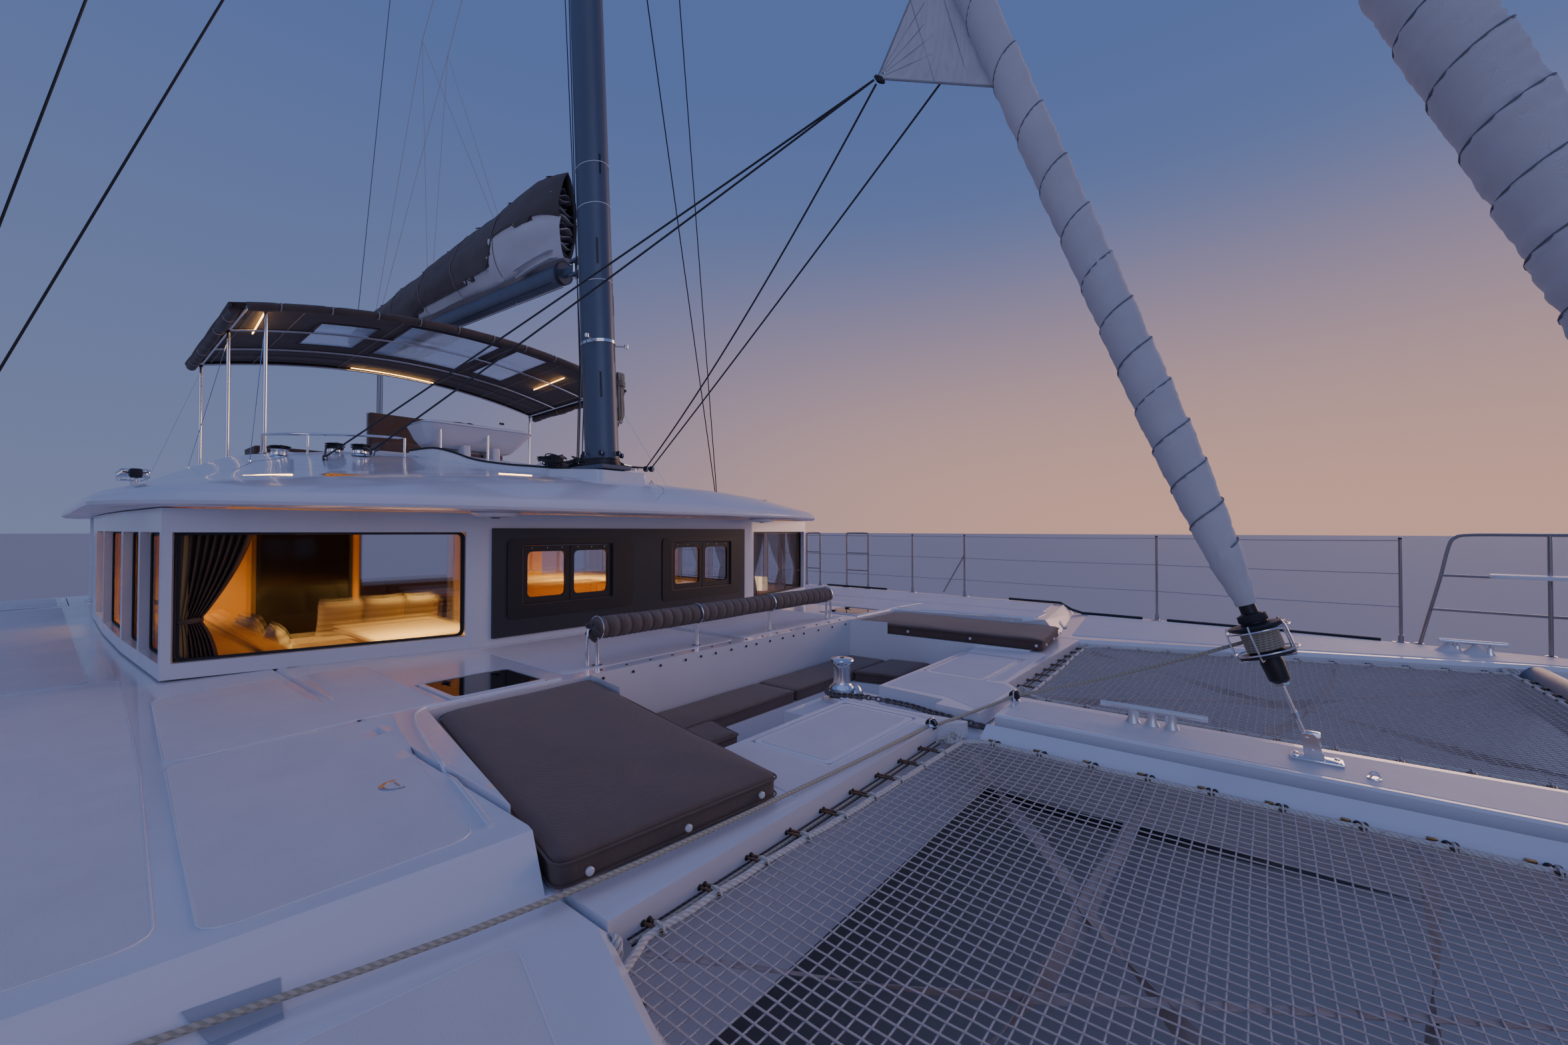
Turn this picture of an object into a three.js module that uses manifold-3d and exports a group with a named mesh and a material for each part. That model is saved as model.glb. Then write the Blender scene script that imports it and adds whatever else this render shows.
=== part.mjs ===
// A cruising sailing catamaran, millimetres, +X forward, +Y to port, +Z up.
// The origin is on the centreline amidships, at the waterline.

import * as THREE from 'three';
import { mergeVertices } from 'three/addons/utils/BufferGeometryUtils.js';
import Module from 'manifold-3d';

const wasm = await Module();
wasm.setup();

// Driving dimensions
const LENGTH = 17070;
const HULL_MIDDLE = 3750;
const NET_LEVEL = 1900;
const FORE_DECK = NET_LEVEL + 50;
const MAIN_DECK = NET_LEVEL + 200;
const FLOOR = 1280;
const BRIDGE_BOTTOM = 1000;
const BRIDGE_HALF = 2550;
const BRIDGE_AFT = -6500;
const BRIDGE_FRONT = 4030;
const STEP = { top: 3720, foot: 3835, sweep: -300 };
const DRAFT = 1400;
const SEAT_GAP = 0.3;
const RUNNING_GAP = 0.1;
const BOW = LENGTH / 2;
const SIDES = { starboard: -1, port: 1 };

// Solids from three.js geometry
function solid(geometry) {
  const bare = geometry.clone();
  for (const name of Object.keys(bare.attributes)) {
    if (name !== 'position') bare.deleteAttribute(name);
  }
  const merged = mergeVertices(bare, 0.001);
  const place = merged.attributes.position;
  const corner = (i) => new THREE.Vector3().fromBufferAttribute(place, i);
  const index = merged.index.array;
  const kept = [];
  let volume = 0;
  for (let i = 0; i < index.length; i += 3) {
    const [a, b, c] = [index[i], index[i + 1], index[i + 2]];
    if (a === b || b === c || c === a) continue;
    kept.push(a, b, c);
    volume += corner(a).dot(corner(b).cross(corner(c)));
  }
  if (volume < 0) {
    for (let i = 0; i < kept.length; i += 3) [kept[i + 1], kept[i + 2]] = [kept[i + 2], kept[i + 1]];
  }
  const mesh = new wasm.Mesh({
    numProp: 3,
    vertProperties: Float32Array.from(place.array),
    triVerts: Uint32Array.from(kept),
  });
  return new wasm.Manifold(mesh);
}

function geometryOf(body) {
  const mesh = body.getMesh();
  const geometry = new THREE.BufferGeometry();
  geometry.setAttribute('position', new THREE.BufferAttribute(new Float32Array(mesh.vertProperties), 3));
  geometry.setIndex(new THREE.BufferAttribute(new Uint32Array(mesh.triVerts), 1));
  geometry.computeVertexNormals();
  return geometry;
}

const joined = (...bodies) => bodies.flat().reduce((whole, body) => whole.add(body));
const cut = (body, ...tools) => tools.flat().reduce((whole, tool) => whole.subtract(tool), body);

function box([x0, x1], [y0, y1], [z0, z1]) {
  const geometry = new THREE.BoxGeometry(Math.abs(x1 - x0), Math.abs(y1 - y0), Math.abs(z1 - z0));
  geometry.translate((x0 + x1) / 2, (y0 + y1) / 2, (z0 + z1) / 2);
  return solid(geometry);
}

// An outline pushed along an axis: (x, y) along z, (x, z) along y, or (y, z) along x
function prism(outline, axis, from, to) {
  const shape = new THREE.Shape(outline.map(([a, b]) => new THREE.Vector2(a, b)));
  const geometry = new THREE.ExtrudeGeometry(shape, { depth: to - from, bevelEnabled: false });
  const place = geometry.attributes.position;
  for (let i = 0; i < place.count; i += 1) {
    const [a, b, c] = [place.getX(i), place.getY(i), place.getZ(i) + from];
    if (axis === 'z') place.setXYZ(i, a, b, c);
    if (axis === 'y') place.setXYZ(i, a, c, b);
    if (axis === 'x') place.setXYZ(i, c, a, b);
  }
  return solid(geometry);
}

// A skin over rings of equally many points, closed at both ends; a cap is a fan unless flat
// names the axis to drop for it
function loft(rings, flat) {
  const count = rings[0].length;
  const positions = rings.flat(2);
  const index = [];
  for (let r = 0; r + 1 < rings.length; r += 1) {
    for (let i = 0; i < count; i += 1) {
      const j = (i + 1) % count;
      const [a, b, c, d] = [r * count + i, r * count + j, (r + 1) * count + j, (r + 1) * count + i];
      index.push(a, b, c, a, c, d);
    }
  }
  const axes = { x: [1, 2], y: [0, 2], z: [0, 1] }[flat];
  const cap = (ring) => {
    if (!flat) return ring.slice(2).map((_, i) => [0, i + 1, i + 2]);
    return THREE.ShapeUtils.triangulateShape(ring.map((p) => new THREE.Vector2(p[axes[0]], p[axes[1]])), []);
  };
  const last = (rings.length - 1) * count;
  index.push(...cap(rings[0]).flat(), ...cap(rings.at(-1)).flat().map((i) => last + i));
  const geometry = new THREE.BufferGeometry();
  geometry.setAttribute('position', new THREE.Float32BufferAttribute(positions, 3));
  geometry.setIndex(evenWinding(index));
  return solid(geometry);
}

// Turns each triangle so that neighbours run their shared edge in opposite directions
function evenWinding(index) {
  const faces = [];
  for (let i = 0; i < index.length; i += 3) faces.push(index.slice(i, i + 3));
  const edges = new Map();
  faces.forEach((face, f) => {
    for (let k = 0; k < 3; k += 1) {
      const pair = [face[k], face[(k + 1) % 3]].sort((a, b) => a - b).join();
      edges.set(pair, [...(edges.get(pair) ?? []), f]);
    }
  });
  const done = new Set([0]);
  const queue = [0];
  const runs = (face, a, b) => [0, 1, 2].some((k) => face[k] === a && face[(k + 1) % 3] === b);
  while (queue.length) {
    const f = queue.pop();
    const face = faces[f];
    for (let k = 0; k < 3; k += 1) {
      const [a, b] = [face[k], face[(k + 1) % 3]];
      const pair = [a, b].sort((p, q) => p - q).join();
      for (const g of edges.get(pair)) {
        if (done.has(g)) continue;
        if (runs(faces[g], a, b)) faces[g].reverse();
        done.add(g);
        queue.push(g);
      }
    }
  }
  return faces.flat();
}

function rod(a, b, radius, sides = 8, endRadius = radius) {
  const [from, to] = [new THREE.Vector3(...a), new THREE.Vector3(...b)];
  const run = to.clone().sub(from);
  const geometry = new THREE.CylinderGeometry(endRadius, radius, run.length(), sides);
  const upright = new THREE.Vector3(0, 1, 0);
  geometry.applyQuaternion(new THREE.Quaternion().setFromUnitVectors(upright, run.normalize()));
  geometry.translate(...from.add(to).divideScalar(2).toArray());
  return solid(geometry);
}

// One tube through the points, mitred at its corners
function pipe(points, radius, sides = 8) {
  const path = points.map((p) => new THREE.Vector3(...p));
  const along = path.slice(1).map((p, i) => p.clone().sub(path[i]).normalize());
  let up = new THREE.Vector3(0.31, 0.52, 0.79);
  const rings = path.map((p, i) => {
    const [before, after] = [along[Math.max(0, i - 1)], along[Math.min(along.length - 1, i)]];
    const miter = before.clone().add(after).normalize();
    const right = before.clone().cross(up).normalize();
    up = right.clone().cross(before).normalize();
    return Array.from({ length: sides }, (_, k) => {
      const turn = 2 * Math.PI * k / sides;
      const spoke = right.clone().multiplyScalar(Math.cos(turn) * radius)
        .add(up.clone().multiplyScalar(Math.sin(turn) * radius));
      spoke.add(before.clone().multiplyScalar(-spoke.dot(miter) / before.dot(miter)));
      return spoke.add(p).toArray();
    });
  });
  return loft(rings);
}

// A turned body; the profile is (radius, height) along the line from a to b
function turned(profile, a, b, sides = 16) {
  const geometry = new THREE.LatheGeometry(profile.map(([r, h]) => new THREE.Vector2(r, h)), sides);
  const [from, to] = [new THREE.Vector3(...a), new THREE.Vector3(...b)];
  const run = to.sub(from).normalize();
  geometry.applyQuaternion(new THREE.Quaternion().setFromUnitVectors(new THREE.Vector3(0, 1, 0), run));
  geometry.translate(...from.toArray());
  return solid(geometry);
}

// The port piece as it is, or its mirror image to starboard
function flipped(body, side) {
  const geometry = geometryOf(body);
  geometry.scale(1, side, 1);
  return solid(geometry);
}

// A lid whose hinged edge, the second of its x or y limits, is bevelled so that it can swing
function lid(x, y, z, hinged) {
  const [across, along] = hinged === 'y' ? [y, x] : [x, y];
  const bevel = (z[1] - z[0]) * Math.sign(across[0] - across[1]);
  const outline = [[across[0], z[0]], [across[1] + bevel, z[0]], [across[1], z[1]], [across[0], z[1]]];
  return prism(outline, hinged === 'y' ? 'x' : 'y', Math.min(...along), Math.max(...along));
}

// Radius of a faceted bore in which a shaft of this radius and number of sides turns freely
const boreFor = (radius, sides) => radius / Math.cos(Math.PI / sides) + RUNNING_GAP;

const mirrored = (points, side) => points.map(([x, y, z]) => [x, side * y, z]);

// Looks
const paint = (color, roughness, metalness = 0) => ({ color, roughness, metalness });
const GELCOAT = paint(0xe9e8ea, 0.32);
const NON_SKID = paint(0xd9d2d0, 0.7);
const STEEL = paint(0xc9ccd1, 0.22, 1);
const SPAR = paint(0x9aa3b0, 0.38, 0.7);
const CANVAS = paint(0x5b4a44, 0.85);
const CUSHION = paint(0x4a3735, 0.8);
const SAIL = paint(0xa9aeb8, 0.8);
const NET = paint(0xcfc9bb, 0.85);
const GLASS = paint(0x30343c, 0.08);
const DARK_PANEL = paint(0x2a2c31, 0.45);
const WOOD = paint(0xb98a55, 0.5);
const ENGINE_PAINT = paint(0x8d9196, 0.5, 0.2);
const BRONZE = paint(0xb08d57, 0.35, 1);

const boat = new THREE.Group();

function add(name, body, look) {
  const mesh = new THREE.Mesh(geometryOf(body), new THREE.MeshStandardMaterial(look));
  mesh.name = name;
  boat.add(mesh);
}

// Hull stations, for the port hull. Columns: x, outer deck height, inner deck height,
// outer deck y, inner deck y, inner y at the knuckle, inner and outer y at the water, depth,
// and how far the outer deck edge lies forward of x
const STATIONS = [
  [BOW, 1960, 1960, 3850, 3770, 3775, 3780, 3840, 150, 0],
  [8000, 1958, 1958, 4000, 3660, 3690, 3730, 3930, 480, 0],
  [6950, 1955, 1955, 4150, 3520, 3530, 3560, 4080, 620, 0],
  [5500, 1950, 1950, 4400, 3055, 3280, 3330, 4250, 700, 0],
  [BRIDGE_FRONT, 1945, FORE_DECK, 4535, BRIDGE_HALF, 3100, 3160, 4370, 740, 0],
  [STEP.foot, 1945, FORE_DECK, 4545, BRIDGE_HALF, 3090, 3155, 4373, 743, STEP.sweep],
  [STEP.top, 2045, MAIN_DECK, 4550, BRIDGE_HALF, 3080, 3150, 4375, 745, STEP.sweep],
  [0, 2050, MAIN_DECK, 4700, BRIDGE_HALF, 2950, 3010, 4490, 780, 0],
  [-4000, 2050, MAIN_DECK, 4700, BRIDGE_HALF, 2960, 3020, 4480, 700, 0],
  [-6600, 2040, MAIN_DECK, 4640, BRIDGE_HALF, 3040, 3110, 4410, 470, 0],
  [-BOW, 2030, MAIN_DECK - 20, 4520, 2700, 3140, 3230, 4320, 40, 0],
];
const KNUCKLE = 700;
const BULWARK = 60;

function hullRing([x, outerZ, innerZ, outerY, innerY, kneeY, waterIn, waterOut, depth, sweep]) {
  const middle = (waterIn + waterOut) / 2;
  const half = (waterOut - waterIn) / 2;
  return [
    [x, middle, -depth],
    [x, middle + half * 0.7, -depth * 0.68],
    [x, waterOut, 0],
    [x, waterOut + (outerY - waterOut) * 0.65, 1150],
    [x + sweep, outerY, outerZ - BULWARK],
    [x + sweep, outerY - 40, outerZ],
    [x, innerY + 30, innerZ],
    [x, innerY, innerZ - 30],
    [x, innerY, BRIDGE_BOTTOM + 40],
    [x, kneeY, KNUCKLE],
    [x, waterIn, 0],
    [x, middle - half * 0.7, -depth * 0.68],
  ];
}

// Mooring cleats, port side. Columns: x, y, height of the deck
const CLEATS = [[6690, 3850, 1955], [-1300, 4470, 2052], [-5000, 4450, 2047]];
const CLEAT = { long: 380, bar: 17, legs: 90, rise: 95 };

function cleat([x, y, z], { long, bar, legs, rise } = CLEAT) {
  const feet = [-legs, legs].map((dx) => rod([x + dx, y, z - 25], [x + dx * 0.85, y, z + rise], bar, 8));
  return joined(rod([x - long / 2, y, z + rise], [x + long / 2, y, z + rise], bar, 8), feet);
}

// Transom steps, from the side deck down to the bathing platform
const STEPS = { front: -6720, tread: 330, first: 1790, rise: 290, count: 5 };
const ENGINE_BAY = { x: [-6480, -5330], y: [3330, 4190], z: [-140, MAIN_DECK + 100] };
const LID = { thick: 45, lip: 60, seat: MAIN_DECK - 60 };
const KEEL = { front: 1500, aft: -1700, top: -560, thick: 260 };

function keelRing(z, front, aft, thick) {
  const chord = front - aft;
  const outline = [[0, 0], [0.08, 0.62], [0.3, 1], [0.62, 0.72], [1, 0.08]];
  const upper = outline.map(([along, wide]) => [front - along * chord, HULL_MIDDLE + wide * thick / 2, z]);
  const lower = outline.slice(1).reverse()
    .map(([along, wide]) => [front - along * chord, HULL_MIDDLE - wide * thick / 2, z]);
  return [...upper, ...lower];
}

// The hull's skin, raised by the seating gap, as a tool for what stands on or meets the hull
function hullTool(side) {
  const g = SEAT_GAP;
  // How each column of a station moves
  const moves = [0, g, g, g, -g, -g, -g, g, g, 0];
  const grown = STATIONS.map((station) => station.map((value, i) => value + moves[i]));
  return flipped(loft(grown.map(hullRing), 'x'), side);
}

// Sun pads lie in sloping beds beside the well, half on the bridge deck, half on the hulls
const SUNPAD = {
  outline: [[2262, 1440], [2262, 2310], [3860, 2606], [3950, 1722]],
  top: MAIN_DECK - 10, slope: -0.025, thick: 90, clear: 8,
};

function sunPad(side, grow, low, high) {
  const middle = [3080, 2020];
  const ring = (over) => SUNPAD.outline.map(([x, y]) => {
    const z = SUNPAD.top + (x - SUNPAD.outline[0][0]) * SUNPAD.slope + over;
    return [x + grow * Math.sign(x - middle[0]), side * (y + grow * Math.sign(y - middle[1])), z];
  });
  return loft([ring(low), ring(high)], 'z');
}

const sunPadBed = (side) => sunPad(side, SUNPAD.clear, -SUNPAD.thick, 900);

const RUDDER = { x: -7420, stock: 45, top: -420, bottom: -1290, front: 190, aft: 430, thick: 120 };
const DRIVE = { x: -5900, shaft: -1010, radius: 95 };
const PROP = { blades: 3, radius: 255, hub: 55, shaft: 18, length: 130, thick: 14, gap: 6 };

function stepTools() {
  const tools = [];
  for (let i = 0; i < STEPS.count; i += 1) {
    const front = STEPS.front - i * STEPS.tread;
    tools.push(box([-BOW - 100, front], [2400, 4900], [STEPS.first - i * STEPS.rise, MAIN_DECK + 200]));
  }
  return tools;
}

function hull(side) {
  const keel = loft([
    keelRing(KEEL.top, KEEL.front, KEEL.aft, KEEL.thick + 60),
    keelRing(-DRAFT, KEEL.front - 500, KEEL.aft + 100, KEEL.thick),
  ], 'z');
  let body = joined(loft(STATIONS.map(hullRing), 'x'), keel);
  const bore = boreFor(RUDDER.stock, 16);
  const stock = rod([RUDDER.x, HULL_MIDDLE, -900], [RUDDER.x, HULL_MIDDLE, 250], bore, 16);
  const leg = rod([DRIVE.x, HULL_MIDDLE, -900], [DRIVE.x, HULL_MIDDLE, -100], DRIVE.radius + 1, 16);
  const { x, y, z } = ENGINE_BAY;
  const rebate = box(
    [x[0] - LID.lip - 6, x[1] + LID.lip + 6],
    [y[0] - LID.lip - 6, y[1] + LID.lip + 6],
    [LID.seat, MAIN_DECK + 200],
  );
  body = cut(body, stepTools(), stock, leg, box(x, y, z), rebate, sunPadBed(1));
  return flipped(joined(body, CLEATS.map((place) => cleat(place))), side);
}

for (const [name, side] of Object.entries(SIDES)) add(`hull_${name}`, hull(side), GELCOAT);

// Engines, their lids, drives, propellers and rudders
const ENGINE = { x: [-6330, -5480], y: [3440, 4060], z: [-139.7, 560] };

function engineLid(side) {
  const { x, y } = ENGINE_BAY;
  const across = [side * (y[0] - LID.lip), side * (y[1] + LID.lip)];
  return lid([x[0] - LID.lip, x[1] + LID.lip], across, [LID.seat + SEAT_GAP, LID.seat + LID.thick], 'y');
}

function drive(side) {
  const y = side * HULL_MIDDLE;
  const top = ENGINE_BAY.z[0] - SEAT_GAP;
  const leg = (z, long, wide) => [
    [DRIVE.x + long / 2, y, z],
    [DRIVE.x + long / 6, y + wide / 2, z],
    [DRIVE.x - long / 2, y + wide / 6, z],
    [DRIVE.x - long / 2, y - wide / 6, z],
    [DRIVE.x + long / 6, y - wide / 2, z],
  ];
  const shank = rod([DRIVE.x, y, -640], [DRIVE.x, y, -140.5], DRIVE.radius, 16);
  const blade = loft([leg(DRIVE.shaft, 330, 120), leg(-640, 300, 150)], 'z');
  const torpedo = turned([[0, 0], [60, 30], [75, 120], [75, 460], [62, 560], [0, 560]],
    [DRIVE.x + 160, y, DRIVE.shaft], [DRIVE.x - 400, y, DRIVE.shaft], 16);
  const start = DRIVE.x - 400;
  const bore = rod([start - 10, y, DRIVE.shaft], [start + 120, y, DRIVE.shaft], boreFor(PROP.shaft, 12), 12);
  return cut(joined(shank, blade, torpedo), bore);
}

function propeller(side) {
  const y = side * HULL_MIDDLE;
  const start = DRIVE.x - 400 - PROP.gap;
  const shaft = rod([start - 10, y, DRIVE.shaft], [start + PROP.gap + 100, y, DRIVE.shaft], PROP.shaft, 12);
  const hub = turned([[0, 0], [PROP.hub, 0], [PROP.hub, 90], [30, PROP.length], [0, PROP.length]],
    [start, y, DRIVE.shaft], [start - 100, y, DRIVE.shaft], 16);
  const blades = [];
  for (let i = 0; i < PROP.blades; i += 1) {
    const outline = [[-40, 30], [40, 30], [78, 150], [50, 235], [0, PROP.radius], [-50, 235], [-78, 150]];
    const shape = new THREE.Shape(outline.map(([a, b]) => new THREE.Vector2(a, b)));
    const geometry = new THREE.ExtrudeGeometry(shape, { depth: PROP.thick, bevelEnabled: false });
    geometry.translate(0, 0, -PROP.thick / 2);
    geometry.rotateY(side * 0.45);
    geometry.applyMatrix4(new THREE.Matrix4().makeBasis(
      new THREE.Vector3(0, 1, 0), new THREE.Vector3(0, 0, 1), new THREE.Vector3(1, 0, 0),
    ));
    geometry.rotateX(i * 2 * Math.PI / PROP.blades);
    geometry.translate(start - 48, y, DRIVE.shaft);
    blades.push(solid(geometry));
  }
  return joined(hub, shaft, blades);
}

function rudder(side) {
  const y = side * HULL_MIDDLE;
  const ring = (z, scale) => {
    const outline = [[1, 0], [0.75, 0.75], [0.2, 1], [-0.7, 0.45], [-1, 0.1]];
    const along = (a) => RUDDER.x + (a > 0 ? a * RUDDER.front : a * RUDDER.aft) * scale;
    const upper = outline.map(([a, b]) => [along(a), y + b * RUDDER.thick / 2, z]);
    const lower = outline.slice(1).reverse().map(([a, b]) => [along(a), y - b * RUDDER.thick / 2, z]);
    return [...upper, ...lower];
  };
  const blade = loft([ring(RUDDER.bottom, 0.82), ring(RUDDER.top, 1)], 'z');
  return joined(blade, rod([RUDDER.x, y, RUDDER.top - 200], [RUDDER.x, y, 240], RUDDER.stock, 16));
}

for (const [name, side] of Object.entries(SIDES)) {
  const { x, y, z } = ENGINE;
  add(`engine_${name}`, box(x, y.map((v) => side * v), z), ENGINE_PAINT);
  add(`engine_lid_${name}`, engineLid(side), NON_SKID);
  add(`saildrive_${name}`, drive(side), ENGINE_PAINT);
  add(`propeller_${name}`, propeller(side), BRONZE);
  add(`rudder_${name}`, rudder(side), GELCOAT);
}

// Bridge deck with the forward cockpit well, and the floor of the saloon and the aft cockpit
const WELL = { x: [2240, 3400], aftHalf: 1428, flare: 0.17, floor: 1400 };
const LOCKER = { x: [3440, 3890], y: [520, 1340], lid: 30, lip: 20, floor: 1480 };
const WINDLASS = { x: 3120, y: -60, pad: NET_LEVEL - 94, padX: [2970, 3401], padY: [-500, 200] };
const RECESS = { wide: [[3390, -430], [3390, -50], [3860, -90], [3860, -425]],
  narrow: [[3850, -425], [3850, -200], [4200, -233], [4200, -387]], narrowFloor: NET_LEVEL - 40 };
const NOSE = { outline: [[4020, -560], [4130, -430], [4130, 430], [4020, 560]], low: NET_LEVEL - 30 };
const SALOON = { front: 640, aft: -3600 };
const DECK_JOINT = 760;
const HATCH = { x: [1712, 2182], y: [1660, 2175], thick: 24, rim: 40, depth: 600 };
const wellHalf = (x) => WELL.aftHalf + (x - WELL.x[0]) * WELL.flare;

// A four-sided outline as wide as the well over a length, less a margin
function wellOutline([x0, x1], margin) {
  const [a, b] = [wellHalf(x0) - margin, wellHalf(x1) - margin];
  return [[x0, -a], [x1, -b], [x1, b], [x0, a]];
}

function bridgeDeck() {
  const profile = [
    [BRIDGE_AFT, BRIDGE_BOTTOM], [3200, BRIDGE_BOTTOM], [BRIDGE_FRONT, 1400], [BRIDGE_FRONT, FORE_DECK],
    [STEP.foot, FORE_DECK], [STEP.top, MAIN_DECK], [SALOON.front, MAIN_DECK], [SALOON.front, FLOOR],
    [-5750, FLOOR], [-5750, 1720], [BRIDGE_AFT, 1720],
  ];
  const half = BRIDGE_HALF - SEAT_GAP;
  const body = joined(prism(profile, 'y', -half, half), prism(NOSE.outline, 'z', NOSE.low, FORE_DECK));
  const well = prism(wellOutline(WELL.x, 0), 'z', WELL.floor, 3000);
  const lowered = prism(wellOutline([WELL.x[1] - 1, BRIDGE_FRONT], 0), 'z', FORE_DECK, 3000);
  const recess = [
    prism(RECESS.wide, 'z', WINDLASS.pad, 3000),
    prism(RECESS.narrow, 'z', RECESS.narrowFloor, 3000),
  ];
  const pedestal = box(WINDLASS.padX, WINDLASS.padY, [WELL.floor - 5, WINDLASS.pad]);
  const seats = prism(seatOutline(0), 'z', WELL.floor - 5, SEAT.top);
  const open = joined(cut(body, well), pedestal, seats);
  const openings = Object.values(SIDES).flatMap((side) => [
    sunPadBed(side), ...lockerTools(side), ...hatchTools(side),
  ]);
  return cut(open, lowered, recess, openings);
}

// Hollow of a locker and the rebate in which its lid lies
function lockerTools(side) {
  const across = (margin) => LOCKER.y.map((v, i) => side * (v + (i ? margin : -margin)));
  const along = (margin) => [LOCKER.x[0] - margin, LOCKER.x[1] + margin];
  return [
    box(along(6), across(6), [FORE_DECK - LOCKER.lid - 4, 3000]),
    box(along(-LOCKER.lip), across(-LOCKER.lip), [LOCKER.floor, 3000]),
  ];
}

// Shaft below a deck hatch and the rebate in which its lid lies
function hatchTools(side) {
  const across = (margin) => HATCH.y.map((v, i) => side * (v + (i ? margin : -margin)));
  const along = (margin) => [HATCH.x[0] - margin, HATCH.x[1] + margin];
  return [
    box(along(6), across(6), [MAIN_DECK - HATCH.thick - 4, 3000]),
    box(along(-HATCH.rim), across(-HATCH.rim), [MAIN_DECK - HATCH.depth, 3000]),
  ];
}

// Seats of the forward cockpit, their cushions, and the sun pads
const SEAT = { top: NET_LEVEL - 215, front: 2650, inner: [800, 900], cushion: 85, sideFront: 3050 };

function seatOutline(grow) {
  const back = WELL.x[0] + SEAT_GAP + grow;
  const [front, sideFront] = [SEAT.front - grow, SEAT.sideFront - grow];
  const [aftHalf, foreHalf] = [back, sideFront].map((x) => wellHalf(x) - SEAT_GAP - grow);
  const [first, second] = SEAT.inner.map((y) => y + grow);
  const port = [[front, first], [sideFront, second], [sideFront, foreHalf], [back, aftHalf]];
  return [...port.map(([x, y]) => [x, -y]).reverse(), ...port];
}

add('forward_cushions',
  prism(seatOutline(20), 'z', SEAT.top + SEAT_GAP, SEAT.top + SEAT.cushion), CUSHION);
for (const [name, side] of Object.entries(SIDES)) {
  add(`sun_pad_${name}`, sunPad(side, 0, SEAT_GAP - SUNPAD.thick, 0), CUSHION);
}

function lockerLid(side) {
  const z = [FORE_DECK - LOCKER.lid - 4 + SEAT_GAP, FORE_DECK];
  return lid(LOCKER.x, LOCKER.y.map((y) => side * y), z, 'y');
}

// The deck moulding is in two parts, which meet under the front of the cabin
const deck = bridgeDeck();
const all = [-9000, 9000];
add('bridge_deck', deck.intersect(box([-9000, DECK_JOINT], all, all)), GELCOAT);
add('forward_deck', deck.intersect(box([DECK_JOINT + SEAT_GAP, 9000], all, all)), GELCOAT);
for (const [name, side] of Object.entries(SIDES)) {
  add(`locker_lid_${name}`, lockerLid(side), NON_SKID);
  const z = [MAIN_DECK - HATCH.thick - 4 + SEAT_GAP, MAIN_DECK + 12];
  add(`deck_hatch_${name}`, lid(HATCH.x, HATCH.y.map((v) => side * v), z, 'x'), GLASS);
}

// Centre beam between the nets, with the chain gutter, and the forward crossbeam
const CROSSBEAM = { x: 6950, z: 1780, high: 340, wide: 230 };
const CENTRE_BEAM = {
  from: BRIDGE_FRONT + SEAT_GAP, deckFrom: 4213, to: 6832, top: NET_LEVEL + 60, bottom: 1560,
};
const GUTTER = { floor: NET_LEVEL - 40, y: [-330, -232] };
const CHAIN = { y: -281, wide: 44, high: 30 };

function centreBeam() {
  const girder = [
    [-440, NET_LEVEL - 60], [-440, GUTTER.floor], [440, GUTTER.floor], [440, NET_LEVEL - 60],
    [200, CENTRE_BEAM.bottom], [-200, CENTRE_BEAM.bottom],
  ];
  const deck = [
    [-440, GUTTER.floor - 10], [-440, NET_LEVEL - 15], [-425, NET_LEVEL + 2], [-345, NET_LEVEL + 40],
    [GUTTER.y[0], NET_LEVEL + 30], [GUTTER.y[0], GUTTER.floor], [GUTTER.y[1], GUTTER.floor],
    [-228, CENTRE_BEAM.top - 10], [-216, CENTRE_BEAM.top], [216, CENTRE_BEAM.top],
    [232, CENTRE_BEAM.top - 12],
    [425, NET_LEVEL + 2], [440, NET_LEVEL - 15], [440, GUTTER.floor - 10],
  ];
  const chain = box([CENTRE_BEAM.deckFrom + 20, CENTRE_BEAM.to - 20],
    [CHAIN.y - CHAIN.wide / 2, CHAIN.y + CHAIN.wide / 2],
    [GUTTER.floor - 1, GUTTER.floor + CHAIN.high]);
  const longCleat = cleat([4905, 100, CENTRE_BEAM.top], { long: 470, bar: 15, legs: 80, rise: 75 });
  return joined(
    prism(girder, 'x', CENTRE_BEAM.from, CENTRE_BEAM.to),
    prism(deck, 'x', CENTRE_BEAM.deckFrom, CENTRE_BEAM.to),
    chain,
    longCleat,
  );
}

function ovalRing(at, high, wide, sides, lay) {
  const ring = [];
  for (let i = 0; i < sides; i += 1) {
    const turn = 2 * Math.PI * i / sides;
    ring.push(lay(at, Math.cos(turn) * wide / 2, Math.sin(turn) * high / 2));
  }
  return ring;
}

function crossbeam() {
  const lay = (y, a, b) => [CROSSBEAM.x + a, y, CROSSBEAM.z + b];
  const end = 3516;
  const body = loft([-end, end].map((y) => ovalRing(y, CROSSBEAM.high, CROSSBEAM.wide, 16, lay)), 'y');
  const saddle = box([CROSSBEAM.x - 80, CROSSBEAM.x + 330], [-150, 150], [CROSSBEAM.z + 60, NET_LEVEL + 60]);
  const striker = box([CROSSBEAM.x - 60, CROSSBEAM.x + 60], [-30, 30], [1080, CROSSBEAM.z]);
  const wires = Object.values(SIDES).map((side) => pipe([
    [CROSSBEAM.x, 0, 1100], [CROSSBEAM.x, side * 3300, CROSSBEAM.z],
  ], 14, 6));
  return cut(joined(body, saddle, striker, wires), hullTool(-1), hullTool(1));
}

add('centre_beam', centreBeam(), GELCOAT);
add('crossbeam', crossbeam(), SPAR);

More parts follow.
